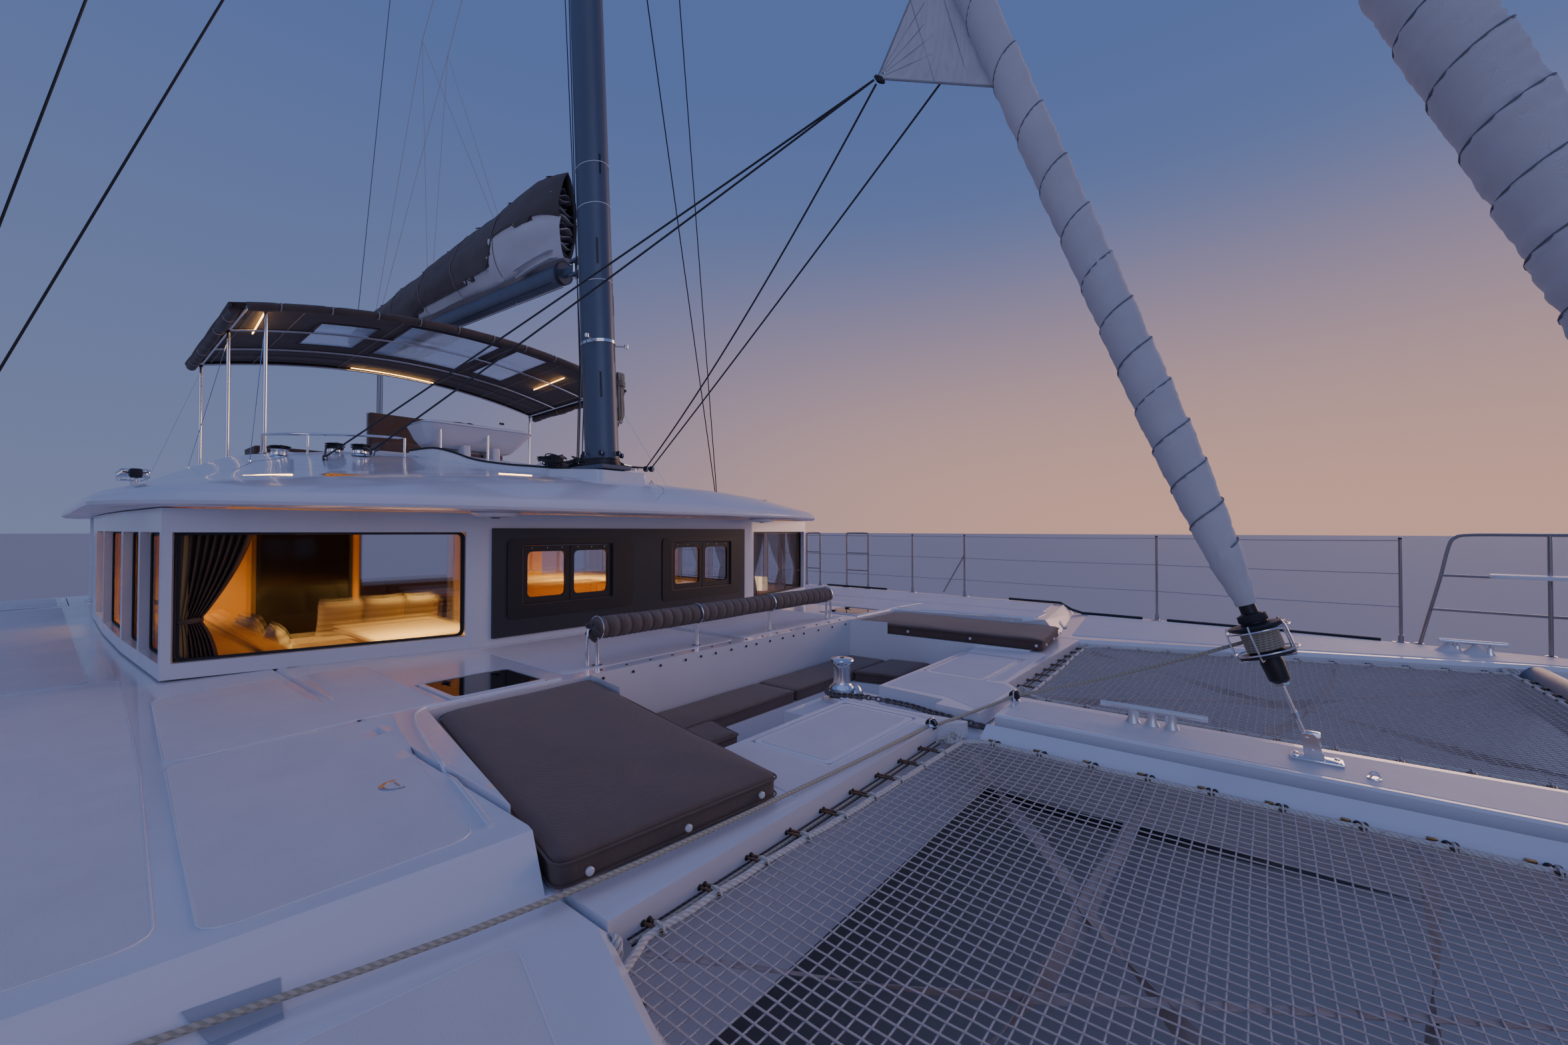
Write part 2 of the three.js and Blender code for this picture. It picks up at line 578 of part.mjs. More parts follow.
// Nets, each laced to the bridge deck, the centre beam, the hull and the crossbeam
const NET_THICK = 14;
function net(side) {
  const gap = 60;
  const outline = [
    [4165, 440 + SEAT_GAP], [BRIDGE_FRONT + gap, 580], [BRIDGE_FRONT + gap, BRIDGE_HALF + 5],
    [5500, 3055 - 30], [CROSSBEAM.x - 125, 3470], [CROSSBEAM.x - 125, 440 + SEAT_GAP],
  ].map(([x, y]) => [x, side * y]);
  const body = prism(outline, 'z', NET_LEVEL - NET_THICK, NET_LEVEL);
  const hooks = [];
  for (let i = 0; i < 9; i += 1) {
    const y = side * (670 + i * 210);
    const x = [BRIDGE_FRONT + SEAT_GAP, BRIDGE_FRONT + gap + 20];
    hooks.push(box(x, [y - 12, y + 12], [NET_LEVEL - 12, NET_LEVEL - 2]));
  }
  return joined(body, hooks);
}
for (const [name, side] of Object.entries(SIDES)) add(`net_${name}`, net(side), NET);

// Windlass on its pad: foot, skirt and gypsy housing, and the drum that turns above them
const windlassLine = (low) => [0, 100].map((h) => [WINDLASS.x, WINDLASS.y, WINDLASS.pad + low + h]);
const windlassFoot = [[WINDLASS.x - 130, WINDLASS.x + 130], [WINDLASS.y - 95, WINDLASS.y + 95]];
add('windlass_base', joined(
  box(...windlassFoot, [WINDLASS.pad + SEAT_GAP, WINDLASS.pad + 14]),
  turned([[0, 0], [92, 0], [92, 26], [80, 34], [80, 62], [0, 62]], ...windlassLine(10), 20),
), STEEL);
add('windlass_drum', turned(
  [[0, 0], [82, 0], [88, 14], [84, 26], [62, 40], [50, 70], [46, 128], [50, 168], [66, 178], [78, 190],
    [80, 204], [62, 214], [0, 216]],
  ...windlassLine(72 + RUNNING_GAP), 24,
), STEEL);

// Cabin: walls, panes, bulkhead and door
const WALL = { thick: 60, foot: MAIN_DECK + SEAT_GAP, top: 3080 };
const WINDOW = { low: NET_LEVEL + 290, high: NET_LEVEL + 1040 };
const CABIN = [[890, 1500], [490, 3050], [-870, 3120], [-2120, 3150], [SALOON.aft, 3150]];

// The cabin's plan outline, moved inward by a distance
function cabinOutline(inward) {
  const port = [[890, 0], ...CABIN, [SALOON.aft - 500, 3150]];
  const moved = [];
  for (let i = 1; i + 1 < port.length; i += 1) {
    const [a, b, c] = [port[i - 1], port[i], port[i + 1]].map((p) => new THREE.Vector2(...p));
    const one = b.clone().sub(a).normalize();
    const two = c.clone().sub(b).normalize();
    const normal = new THREE.Vector2(-one.y, one.x).add(new THREE.Vector2(-two.y, two.x)).normalize();
    const stretch = 1 / Math.max(0.3, normal.dot(new THREE.Vector2(-one.y, one.x)));
    moved.push(b.add(normal.multiplyScalar(inward * stretch)).toArray());
  }
  moved[moved.length - 1][0] = SALOON.aft;
  return [...moved, ...moved.map(([x, y]) => [x, -y]).reverse()];
}

const PANEL = { x: [845, 905], half: 1380, bottom: WINDOW.low - 40, top: WINDOW.high + 30 };
const DOOR = { y: [-1000, 250], top: 3000, thick: 36, slide: 1150 };

function cabinWalls() {
  const outer = prism(cabinOutline(0), 'z', WALL.foot, WALL.top);
  const room = prism(cabinOutline(WALL.thick), 'z', WALL.foot - 10, WALL.top + 10);
  let body = cut(outer, room);
  const across = BRIDGE_HALF - 1;
  const low = box([SALOON.aft - 60, SALOON.aft], [-across, across], [FLOOR + SEAT_GAP, WALL.top]);
  const high = box([SALOON.aft - 60, SALOON.aft + 1], [-3150, 3150], [WALL.foot, WALL.top]);
  body = joined(body, low, high);
  const centre = box([700, 1100], [-PANEL.half - SEAT_GAP, PANEL.half + SEAT_GAP],
    [PANEL.bottom - SEAT_GAP, PANEL.top + SEAT_GAP]);
  const through = [SALOON.aft - 100, SALOON.aft + 50];
  const door = box(through, [DOOR.y[0] + 40, DOOR.y[1] - 40], [FLOOR - 10, DOOR.top - 40]);
  const galley = box(through, [1500, 2900], [WINDOW.low + 60, WINDOW.high]);
  const x = SALOON.aft - 65;
  const slide = [DOOR.y[0] - DOOR.slide, DOOR.y[1]];
  const track = box([x - DOOR.thick, SALOON.aft - 50], slide, [DOOR.top + 0.6, 3050]);
  return joined(cut(body, centre, door, galley, paneTools()), track);
}

// Side panes, port side. Columns: corner before, corner after, clear of the first, clear of the second
const PANES = [
  [0, 1, 60, 45],
  [1, 2, 45, 700],
  [1, 2, 720, 40],
  [2, 3, 40, 40],
  [3, 4, 40, 500],
];

function paneTools() {
  const tools = [];
  for (const side of Object.values(SIDES)) {
    for (const [before, after, first, second] of PANES) {
      const a = new THREE.Vector2(CABIN[before][0], side * CABIN[before][1]);
      const b = new THREE.Vector2(CABIN[after][0], side * CABIN[after][1]);
      const run = b.clone().sub(a).normalize();
      const out = new THREE.Vector2(-run.y, run.x).multiplyScalar(200);
      const from = a.clone().add(run.clone().multiplyScalar(first));
      const to = b.clone().sub(run.clone().multiplyScalar(second));
      const outer = [from, to].map((p) => p.clone().add(out));
      const inner = [to, from].map((p) => p.clone().sub(out));
      tools.push(prism([...outer, ...inner].map((p) => p.toArray()), 'z', WINDOW.low, WINDOW.high));
    }
  }
  return tools;
}

add('cabin_walls', cabinWalls(), GELCOAT);

// One band of glass behind the pillars on each side
function paneBand(side) {
  const inner = 8;
  const port = (inward) => cabinOutline(inward).slice(0, CABIN.length);
  const out = port(WALL.thick + SEAT_GAP);
  const back = port(WALL.thick + SEAT_GAP + inner).reverse();
  const limits = box([SALOON.aft + 300, 2000], [1520, 4000], [WINDOW.low - 30, WINDOW.high + 30]);
  return flipped(prism([...out, ...back], 'z', WINDOW.low - 30, WINDOW.high + 30).intersect(limits), side);
}
for (const [name, side] of Object.entries(SIDES)) add(`window_band_${name}`, paneBand(side), GLASS);

const PORTHOLES = [[-1160, -330], [330, 1160]];
const PORTHOLE_Z = [NET_LEVEL + 470, NET_LEVEL + 950];

function frontPanel() {
  const body = box(PANEL.x, [-PANEL.half, PANEL.half], [PANEL.bottom, PANEL.top]);
  const holes = PORTHOLES.map((y) => box([700, 1100], y, PORTHOLE_Z));
  return cut(body, holes);
}
add('front_panel', frontPanel(), DARK_PANEL);
for (const [i, name] of ['starboard', 'port'].entries()) {
  const [y, z] = [PORTHOLES[i], PORTHOLE_Z].map(([low, high]) => [low + SEAT_GAP, high - SEAT_GAP]);
  add(`front_window_${name}`, box([860, 890], y, z), GLASS);
}
add('saloon_door', box([SALOON.aft - 65 - DOOR.thick, SALOON.aft - 65],
  DOOR.y.map((y) => y - DOOR.slide), [FLOOR + 6, DOOR.top]), GLASS);

// Saloon furniture
add('saloon_sofa', joined(
  box([-2600, 480], [-2530, -1950], [FLOOR + SEAT_GAP, FLOOR + 430]),
  box([-160, 520], [-2530, -300], [FLOOR + SEAT_GAP, FLOOR + 430]),
  box([-2600, 480], [-2530, -2400], [FLOOR + SEAT_GAP, FLOOR + 860]),
  box([400, 530], [-2530, -300], [FLOOR + SEAT_GAP, FLOOR + 810]),
), WOOD);
add('saloon_table', joined(
  box([-1700, -500], [-1650, -850], [FLOOR + 690, FLOOR + 730]),
  box([-1200, -1000], [-1350, -1150], [FLOOR + SEAT_GAP, FLOOR + 700]),
), WOOD);
add('galley', joined(
  box([-3400, -600], [1900, 2530], [FLOOR + SEAT_GAP, FLOOR + 900]),
  box([-3400, -2800], [700, 2530], [FLOOR + SEAT_GAP, FLOOR + 900]),
), WOOD);

// Roof: a low dome with an eave all round, hollow over the saloon, with the flybridge well on top
// Eave outline, port side, from the centre of the front edge
const EAVE = [
  [1330, 0], [1300, 900], [1190, 1800], [960, 2500], [760, 2900],
  [560, 3120], [150, 3280], [-500, 3320], [-6000, 3320], [-6300, 3140],
];
const ROOF = { front: 1330, aft: -6300, half: 3320, riseFrom: 0, riseTo: -2700, crownHalf: 2600 };
// Columns: inset from the eave, height at the side, extra height at the aft end, crown on the centreline
const ROOF_RINGS = [
  [80, 3085, 0, 0],
  [0, 3120, 0, 0],
  [60, 3190, 20, 10],
  [420, 3290, 90, 70],
  [1000, 3370, 300, 80],
  [1700, 3420, 360, 70],
];

function roofRing([inset, height, rise, crown], grow = 0) {
  const whole = [...EAVE, ...EAVE.slice(1).map(([x, y]) => [x, -y]).reverse()];
  const middle = (ROOF.front + ROOF.aft) / 2;
  const long = (ROOF.front - ROOF.aft) / 2;
  return whole.map(([x, y]) => {
    const px = middle + (x - middle) * (1 - (inset - grow) / long);
    const py = y * (1 - (inset - grow) / ROOF.half);
    const aft = Math.min(1, Math.max(0, (ROOF.riseFrom - px) / (ROOF.riseFrom - ROOF.riseTo)));
    const middling = Math.max(0, 1 - (py / ROOF.crownHalf) ** 2);
    return [px, py, height + rise * aft + crown * middling + grow];
  });
}

// Raised blocks on the dome. Rows of the coaming's upper edge, from starboard round to port: x, y, z
const COAMING = [
  [-2150, -880, 3850], [-1600, -850, 3835], [-1400, -724, 3786], [-1200, -583, 3705], [-900, -392, 3652],
  [-600, -258, 3622], [-300, -132, 3592], [-300, 250, 3592], [-600, 450, 3612], [-900, 620, 3640],
  [-1200, 800, 3680], [-1600, 960, 3730], [-2150, 980, 3790],
];
// Columns: x, half width, height of the mast's plinth at its front and its back
const PLINTH = [[600, 280, 3520], [-250, 300, 3575]];
const RAISED = { foot: 3330, spread: 70 };

// A block whose foot is wider than its upper edge
function raisedBlock(edge, grow) {
  const middle = [0, 1].map((k) => edge.reduce((sum, point) => sum + point[k], 0) / edge.length);
  const ring = (reach, height) => edge.map(([x, y, z]) => {
    const away = new THREE.Vector2(x - middle[0], y - middle[1]).setLength(reach);
    return [x + away.x, y + away.y, height ?? z + grow];
  });
  return loft([ring(RAISED.spread + grow, RAISED.foot), ring(grow)], 'z');
}

// The roof's outer skin, with what is moulded on it, raised by a distance
function roofSkin(grow) {
  const [front, back] = PLINTH;
  const corners = [[front, 1], [front, -1], [back, -1], [back, 1]];
  const plinth = corners.map(([[x, half, z], side]) => [x, side * half, z]);
  return joined(
    loft(ROOF_RINGS.map((ring) => roofRing(ring, grow)), 'z'),
    raisedBlock(COAMING, grow),
    raisedBlock(plinth, grow),
  );
}

// Winches on the roof. Columns: x, y, height of the foot
const WINCHES = [
  [-1800, -2090, 3600], [-1950, -1626, 3690], [-1550, -1518, 3655], [-1500, 370, 3715], [-1800, 1900, 3640],
];
const winch = ([x, y, z]) => turned(
  [[0, -60], [92, -60], [92, 22], [70, 40], [62, 75], [74, 108], [88, 120], [80, 140], [0, 142]],
  [x, y, z], [x, y, z + 100], 12,
);

const FLY = { x: [-4700, -1900], half: 1950, floor: 3560 };
const CEILING = 3400;

function roof() {
  // Columns as in the rings above
  const room = [[480, 3080, 0, 0], [500, 3150, 0, 0], [760, 3230, 60, 50], [1400, 3300, 120, 50]];
  const inner = loft(room.map((ring) => roofRing(ring)), 'z')
    .intersect(box([SALOON.aft + 80, 790], [-3000, 3000], [2900, CEILING]));
  const shelter = [[300, 3080, 0, 0], [400, 3200, 0, 0]];
  const porch = loft(shelter.map((ring) => roofRing(ring)), 'z')
    .intersect(box([-6100, SALOON.aft - 140], [-3300, 3300], [2900, 3200]));
  const well = box(FLY.x, [-FLY.half, FLY.half], [FLY.floor, 4500]);
  // The posts over the aft cockpit are moulded with the roof
  const posts = Object.values(SIDES).map((side) => (
    rod([-5700, side * 3060, MAIN_DECK + SEAT_GAP], [-5700, side * 3060, 3130], 45, 12)
  ));
  return joined(cut(roofSkin(0), inner, porch, well), posts, WINCHES.map(winch));
}
add('roof', roof(), GELCOAT);

// Aft cockpit
add('aft_seats', joined(
  box([-5740, -5150], [-2400, 2400], [FLOOR + SEAT_GAP, FLOOR + 440]),
  box([-5740, -5600], [-2400, 2400], [FLOOR + SEAT_GAP, FLOOR + 860]),
  box([-5740, -4300], [1850, 2400], [FLOOR + SEAT_GAP, FLOOR + 440]),
), CUSHION);
add('aft_table', joined(
  box([-5000, -4100], [0, 1600], [FLOOR + 690, FLOOR + 735]),
  rod([-4550, 800, FLOOR + SEAT_GAP], [-4550, 800, FLOOR + 700], 90, 12),
), WOOD);

// Flybridge: console, wheel and seats
// Rings of the console's bowl. Columns: height, x limits, y limits, cut of the corners
const CONSOLE = [
  [3860, [-2000, -1680], [-820, 60], 60],
  [3960, [-2060, -1580], [-900, 140], 90],
  [4100, [-2100, -1500], [-965, 245], 120],
  [4140, [-2075, -1530], [-930, 205], 120],
];
const CONSOLE_LEGS = { x: [-1800, -1530], y: [[-560, -450], [-240, -120]], top: 3940 };
const WHEEL = { x: -2235, y: -360, z: 3915, radius: 330, rim: 17, tilt: 0.3, shaft: 20 };
const wheelAxis = [-Math.cos(WHEEL.tilt), 0, Math.sin(WHEEL.tilt)];

function console() {
  const bowl = loft(CONSOLE.map(([z, [x0, x1], [y0, y1], c]) => [
    [x0 + c, y0, z], [x1 - c, y0, z], [x1, y0 + c, z], [x1, y1 - c, z],
    [x1 - c, y1, z], [x0 + c, y1, z], [x0, y1 - c, z], [x0, y0 + c, z],
  ]), 'z');
  const legs = CONSOLE_LEGS.y.map((y) => box(CONSOLE_LEGS.x, y, [FLY.floor, CONSOLE_LEGS.top]));
  const hub = [WHEEL.x, WHEEL.y, WHEEL.z];
  const bore = rod(hub, hub.map((v, i) => v - wheelAxis[i] * 300), boreFor(WHEEL.shaft, 12), 12);
  return cut(joined(bowl, legs), bore, roofSkin(SEAT_GAP));
}
add('helm_console', console(), GELCOAT);

function steeringWheel() {
  const rim = new THREE.TorusGeometry(WHEEL.radius, WHEEL.rim, 8, 28);
  const parts = [solid(rim)];
  for (let i = 0; i < 5; i += 1) {
    const turn = i * 2 * Math.PI / 5;
    parts.push(rod([0, 0, 0], [Math.cos(turn) * WHEEL.radius, Math.sin(turn) * WHEEL.radius, 0], 9, 6));
  }
  parts.push(rod([0, 0, -55], [0, 0, 35], 40, 12), rod([0, 0, -260], [0, 0, 0], WHEEL.shaft, 12));
  const geometry = geometryOf(joined(parts));
  geometry.rotateY(-Math.PI / 2 + WHEEL.tilt);
  geometry.translate(WHEEL.x, WHEEL.y, WHEEL.z);
  return solid(geometry);
}
add('steering_wheel', steeringWheel(), STEEL);
add('fly_seats', joined(
  box([-3250, -2750], [-1000, 500], [FLY.floor + SEAT_GAP, FLY.floor + 450]),
  box([-3250, -3130], [-1000, 500], [FLY.floor + SEAT_GAP, FLY.floor + 850]),
), CUSHION);
add('fly_lounge', joined(
  box([-4690, -4100], [-1900, 1900], [FLY.floor + SEAT_GAP, FLY.floor + 420]),
  box([-4690, -2000], [1300, 1900], [FLY.floor + SEAT_GAP, FLY.floor + 420]),
), CUSHION);

// Mast, raked aft, with one pair of swept spreaders
const MAST = { x: 250, foot: 3575, top: 26400, rake: 0.0673, long: 420, wide: 270 };
const mastX = (z) => MAST.x - (z - MAST.foot) * MAST.rake;
const HOUNDS = 19300;
const SPREADER = { z: 14900, half: 1650, sweep: 520, thick: 55, chord: 190 };

function mastBody(grow) {
  // Columns: height, share of the full section
  const sections = [[MAST.foot, 1], [21000, 1], [MAST.top, 0.72]];
  const lay = (z, a, b) => [mastX(z) + b, a, z];
  return loft(sections.map(([z, share]) => ovalRing(
    z, MAST.long * share + 2 * grow, MAST.wide * share + 2 * grow, 16, lay,
  )), 'z');
}

function spreader(side) {
  const root = mastX(SPREADER.z) - 60;
  const ring = (y, x, chord) => [
    [x + chord / 2, side * y, SPREADER.z], [x, side * y, SPREADER.z + SPREADER.thick / 2],
    [x - chord / 2, side * y, SPREADER.z], [x, side * y, SPREADER.z - SPREADER.thick / 2],
  ];
  return loft([ring(60, root, SPREADER.chord), ring(SPREADER.half, root - SPREADER.sweep, 110)], 'y');
}

function mast() {
  const step = box([MAST.x - 260, MAST.x + 250], [-175, 175], [MAST.foot - 60, MAST.foot + 15]);
  return cut(joined(mastBody(0), step, spreader(-1), spreader(1), gooseneck()), roofSkin(SEAT_GAP));
}

// Shrouds, one set each side: cap shroud over the spreader, lower shroud to the spreader's root
const CHAINPLATE = { x: -2350, y: 4330, foot: 2075 };
function shrouds(side) {
  const tip = [mastX(SPREADER.z) - 60 - SPREADER.sweep - 10, side * (SPREADER.half + 26), SPREADER.z];
  const foot = [CHAINPLATE.x, side * CHAINPLATE.y, CHAINPLATE.foot + 160];
  const plate = box([CHAINPLATE.x - 130, CHAINPLATE.x + 130],
    [side * (CHAINPLATE.y - 12), side * (CHAINPLATE.y + 12)], [CHAINPLATE.foot, CHAINPLATE.foot + 170]);
  const cap = pipe([foot, tip, [mastX(HOUNDS) - 20, side * 40, HOUNDS]], 9, 6);
  const root = [mastX(SPREADER.z) - 40, side * 40, SPREADER.z - 250];
  const lower = pipe([[foot[0] + 90, foot[1], foot[2]], root], 9, 6);
  return cut(joined(plate, cap, lower), mastBody(SEAT_GAP));
}
for (const [name, side] of Object.entries(SIDES)) add(`shrouds_${name}`, shrouds(side), STEEL);

// Furled headsails on their stays. The line is given by its foot and its slope
const GENOA = { foot: [5530, CENTRE_BEAM.top], slope: -0.359, top: 18600, low: 2620, radius: 100, tip: 45 };
const FORESAIL = { foot: [6990, NET_LEVEL + 60], slope: -0.352, top: 24300, low: 2500, radius: 145, tip: 45 };
const stayAt = (stay, z) => [stay.foot[0] + (z - stay.foot[1]) * stay.slope, 0, z];

function furledSail(stay) {
  const a = stayAt(stay, stay.low);
  const b = stayAt(stay, stay.top);
  const long = Math.hypot(b[0] - a[0], b[2] - a[2]);
  // Columns: radius, share of the length
  const profile = [
    [0, 0], [45, 0], [stay.radius * 0.7, 0.012], [stay.radius, 0.05], [stay.radius * 0.95, 0.45],
    [stay.tip, 0.97], [22, 1], [0, 1],
  ].map(([r, share]) => [r, share * long]);
  const wire = rod(stayAt(stay, stay.top - 300), stayAt(stay, stay.top + 900), 9, 6);
  return cut(joined(turned(profile, a, b, 14), wire), mastBody(SEAT_GAP));
}

function clew() {
  const at = stayAt(GENOA, NET_LEVEL + 3640);
  const outline = [[at[0] + 30, at[2] - 60], [at[0] - 350, NET_LEVEL + 5000], [3350, NET_LEVEL + 4090]];
  return prism(outline, 'y', -9, 9);
}
add('genoa', joined(furledSail(GENOA), clew()), SAIL);
add('foresail', furledSail(FORESAIL), SAIL);

function furler(stay, drumRadius) {
  const at = (z) => stayAt(stay, z);
  const [a, b] = [at(stay.low - 230), at(stay.low - SEAT_GAP)];
  const drum = turned(
    [[0, 0], [drumRadius, 0], [drumRadius, 16], [drumRadius * 0.6, 26], [drumRadius * 0.6, 130],
      [drumRadius, 140], [drumRadius, 156], [38, 180], [34, 243], [0, 243]],
    a, b, 16,
  );
  const base = stay.foot;
  const link = rod(at(base[1] + 60), at(stay.low - 200), 22, 8);
  const toe = box([base[0] - 90, base[0] + 90], [-45, 45], [base[1] + SEAT_GAP, base[1] + 16]);
  const plate = box([base[0] - 50, base[0] + 35], [-16, 16], [base[1] + 10, base[1] + 140]);
  return cut(joined(drum, link, toe, plate), furledTool(stay));
}

// Room for the sail above the drum
function furledTool(stay) {
  const profile = [[0, 0], [400, 0], [400, 700], [0, 700]];
  return turned(profile, stayAt(stay, stay.low - SEAT_GAP), stayAt(stay, 9000), 12);
}
add('genoa_furler', furler(GENOA, 110), STEEL);
add('foresail_furler', furler(FORESAIL, 120), STEEL);

// Boom with its sail bag
const BOOM = { z: 5700, front: -260, end: -7400, high: 240, wide: 190, rise: 0.04, pin: 26 };
const boomZ = (x) => BOOM.z + (BOOM.front - x) * BOOM.rise;

function boom() {
  const lay = (x, a, b) => [x, a, boomZ(x) + b];
  const front = BOOM.front - 190;
  const tube = loft([front, BOOM.end].map((x) => ovalRing(x, BOOM.high, BOOM.wide, 12, lay)), 'x');
  const pin = rod([BOOM.front, 0, BOOM.z - 95], [BOOM.front, 0, BOOM.z + 95], BOOM.pin, 12);
  const tongue = box([front - 20, BOOM.front + 5], [-30, 30], [BOOM.z - 40, BOOM.z + 40]);
  return joined(tube, pin, tongue);
}
add('boom', boom(), SPAR);

function gooseneck() {
  const mastBack = mastX(BOOM.z) - MAST.long / 2;
  const lugs = [-1, 1].map((way) => {
    const z = BOOM.z + way * 72;
    return cut(
      box([BOOM.front - 45, mastBack + 60], [-45, 45], [z - 16, z + 16]),
      rod([BOOM.front, 0, z - 60], [BOOM.front, 0, z + 60], boreFor(BOOM.pin, 12), 12),
    );
  });
  const web = box([mastBack - 14, mastBack + 60], [-45, 45], [BOOM.z - 150, BOOM.z + 150]);
  return joined(lugs, web);
}
add('mast', mast(), SPAR);

function sailBag() {
  // Columns: x, height above the boom's top, half width at the widest
  const sections = [
    [-560, 960, 250], [-900, 1010, 285], [-3500, 800, 250], [-6000, 560, 200], [-7200, 400, 150],
  ];
  const rings = sections.map(([x, high, half]) => {
    const base = boomZ(x) + BOOM.high / 2 + SEAT_GAP;
    return [
      [x, -half * 0.35, base], [x, half * 0.35, base], [x, half, base + high * 0.35],
      [x, half * 0.8, base + high * 0.7], [x, half * 0.2, base + high],
      [x, -half * 0.2, base + high], [x, -half * 0.8, base + high * 0.7], [x, -half, base + high * 0.35],
    ];
  });
  return loft(rings, 'x');
}
add('sail_bag', sailBag(), CANVAS);

// Bimini: bowed canopy over tube bows, on posts
const BIMINI = {
  front: -2550, aft: -5350, half: 2350, edge: 5060, crown: 330, rise: 110, thick: 22, tube: 17, roll: 48,
};
const biminiZ = (x, y) => BIMINI.edge + BIMINI.crown * (1 - (y / BIMINI.half) ** 2)
  + BIMINI.rise * (x - BIMINI.aft) / (BIMINI.front - BIMINI.aft);
const BOWS = [BIMINI.front - 40, -3500, -4420, BIMINI.aft + 40];
const ACROSS = [-1, -0.94, -0.75, -0.5, -0.25, 0, 0.25, 0.5, 0.75, 0.94, 1];

function canopy() {
  const ring = (x) => {
    const under = ACROSS.map((part) => [x, part * BIMINI.half, biminiZ(x, part * BIMINI.half)]);
    const top = under.map(([px, y, z]) => [px, y, z + BIMINI.thick]);
    return [...top, ...under.reverse()];
  };
  // The rolled front curtain hangs along the front edge
  const roll = pipe(ACROSS.slice(1, -1).map((part) => {
    const y = part * BIMINI.half;
    return [BIMINI.front + 30, y, biminiZ(BIMINI.front, y) - 25];
  }), BIMINI.roll, 8);
  return joined(loft([ring(BIMINI.front), ring(BIMINI.aft)], 'x'), roll);
}
add('bimini_canopy', canopy(), CANVAS);

function biminiFrame() {
  const under = BIMINI.tube + SEAT_GAP;
  const stations = ACROSS.slice(1, -1).map((part) => part * BIMINI.half);
  const bows = BOWS.map((x) => pipe(stations.map((y) => [x, y, biminiZ(x, y) - under]), BIMINI.tube, 8));
  const side = Object.values(SIDES).map((s) => {
    const y = s * stations.at(-1);
    return pipe([BOWS[0], BOWS.at(-1)].map((x) => [x, y, biminiZ(x, y) - under]), BIMINI.tube, 6);
  });
  // Columns: x, y, foot height
  const posts = [[-2590, 2060, 3500], [-3500, 2209, 3500], [-5310, 2209, 3400]].flatMap(([x, y, foot]) => (
    [-1, 1].map((s) => rod([x, s * y, foot], [x, s * y, biminiZ(x, y) - under], BIMINI.tube, 8))
  ));
  return cut(joined(bows, side, posts), roofSkin(SEAT_GAP));
}
add('bimini_frame', biminiFrame(), STEEL);

// Pulpits and lifelines. Columns: x, y of each stanchion
const RAIL_TOP = NET_LEVEL + 975;
const STANCHIONS = [
  [6330, 4240], [4420, 4440], [2125, 4560], [1320, 4590], [560, 4600], [160, 4610],
  [-365, 4615], [-640, 4620], [-3000, 4620], [-4700, 4600], [-6400, 4560],
];
// Heights at which the gate's frames close above the rail
const GATE_TOP = 40;
const deckAt = (x) => (x > STEP.top ? FORE_DECK : 2052);
const WIRES = [RAIL_TOP, RAIL_TOP - 300, RAIL_TOP - 600];

function lifelines(side) {
  const posts = STANCHIONS.map(([x, y]) => (
    rod([x, side * y, deckAt(x) + 25], [x, side * y, RAIL_TOP + 15], 13, 6)
  ));
  const feet = STANCHIONS.map(([x, y]) => (
    rod([x, side * y, deckAt(x) - 15], [x, side * y, deckAt(x) + 60], 30, 6)
  ));
  const wires = WIRES.map((z) => pipe(STANCHIONS.map(([x, y]) => [x, side * y, z]), 5, 5));
  const gates = [[4, 5], [6, 7]].map((pair) => pipe(pair.flatMap((i) => {
    const [x, y] = STANCHIONS[i];
    const low = [x, side * y, RAIL_TOP];
    const high = [x, side * y, RAIL_TOP + GATE_TOP];
    return i === pair[0] ? [low, high] : [high, low];
  }), 13, 6));
  return cut(joined(posts, feet, wires, gates), hullTool(side));
}

function pulpit(side) {
  const top = RAIL_TOP + 55;
  const rail = pipe(mirrored([
    [6440, 4225, 1900], [6650, 4200, top], [7150, 4080, top], [8000, 3925, top], [8330, 3830, top],
    [8330, 3760, top], [8000, 3720, top], [7500, 3640, top], [7380, 3620, 1900],
  ], side), 14, 8);
  const middle = [WIRES[1], WIRES[2]].map((z) => pipe(mirrored([
    [6650 - (top - z) * 0.2, 4205, z], [7150, 4080, z], [8000, 3925, z], [8330, 3830, z],
    [8330, 3760, z], [8000, 3720, z], [7430, 3630, z],
  ], side), 11, 6));
  // Columns: x, y
  const legs = mirrored([[7150, 4080], [8000, 3925], [8000, 3720]], side)
    .map(([x, y]) => rod([x, y, 1900], [x, y, top], 14, 8));
  const seat = box([7200, 7700], [side * 3655, side * 4010], [WIRES[1] + 5, WIRES[1] + 30]);
  return cut(joined(rail, middle, legs, seat), hullTool(side));
}

for (const [name, side] of Object.entries(SIDES)) {
  add(`lifelines_${name}`, lifelines(side), STEEL);
  add(`pulpit_${name}`, pulpit(side), STEEL);
}

// Rolled cockpit cover on four posts at the well's aft edge
const COVER = { x: 2070, half: 1330, z: NET_LEVEL + 440, radius: 75 };
function coverRoller() {
  const tube = rod([COVER.x, -COVER.half, COVER.z], [COVER.x, COVER.half, COVER.z], COVER.radius, 16);
  const posts = [-1270, -420, 420, 1270].map((y) => (
    rod([COVER.x, y, MAIN_DECK + SEAT_GAP], [COVER.x, y, COVER.z], 13, 8)
  ));
  return joined(tube, posts);
}
add('cover_roller', coverRoller(), CANVAS);

export default boat;
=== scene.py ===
import math
import random

import bmesh
import bpy
from mathutils import Matrix, Vector, noise
from mathutils.bvhtree import BVHTree


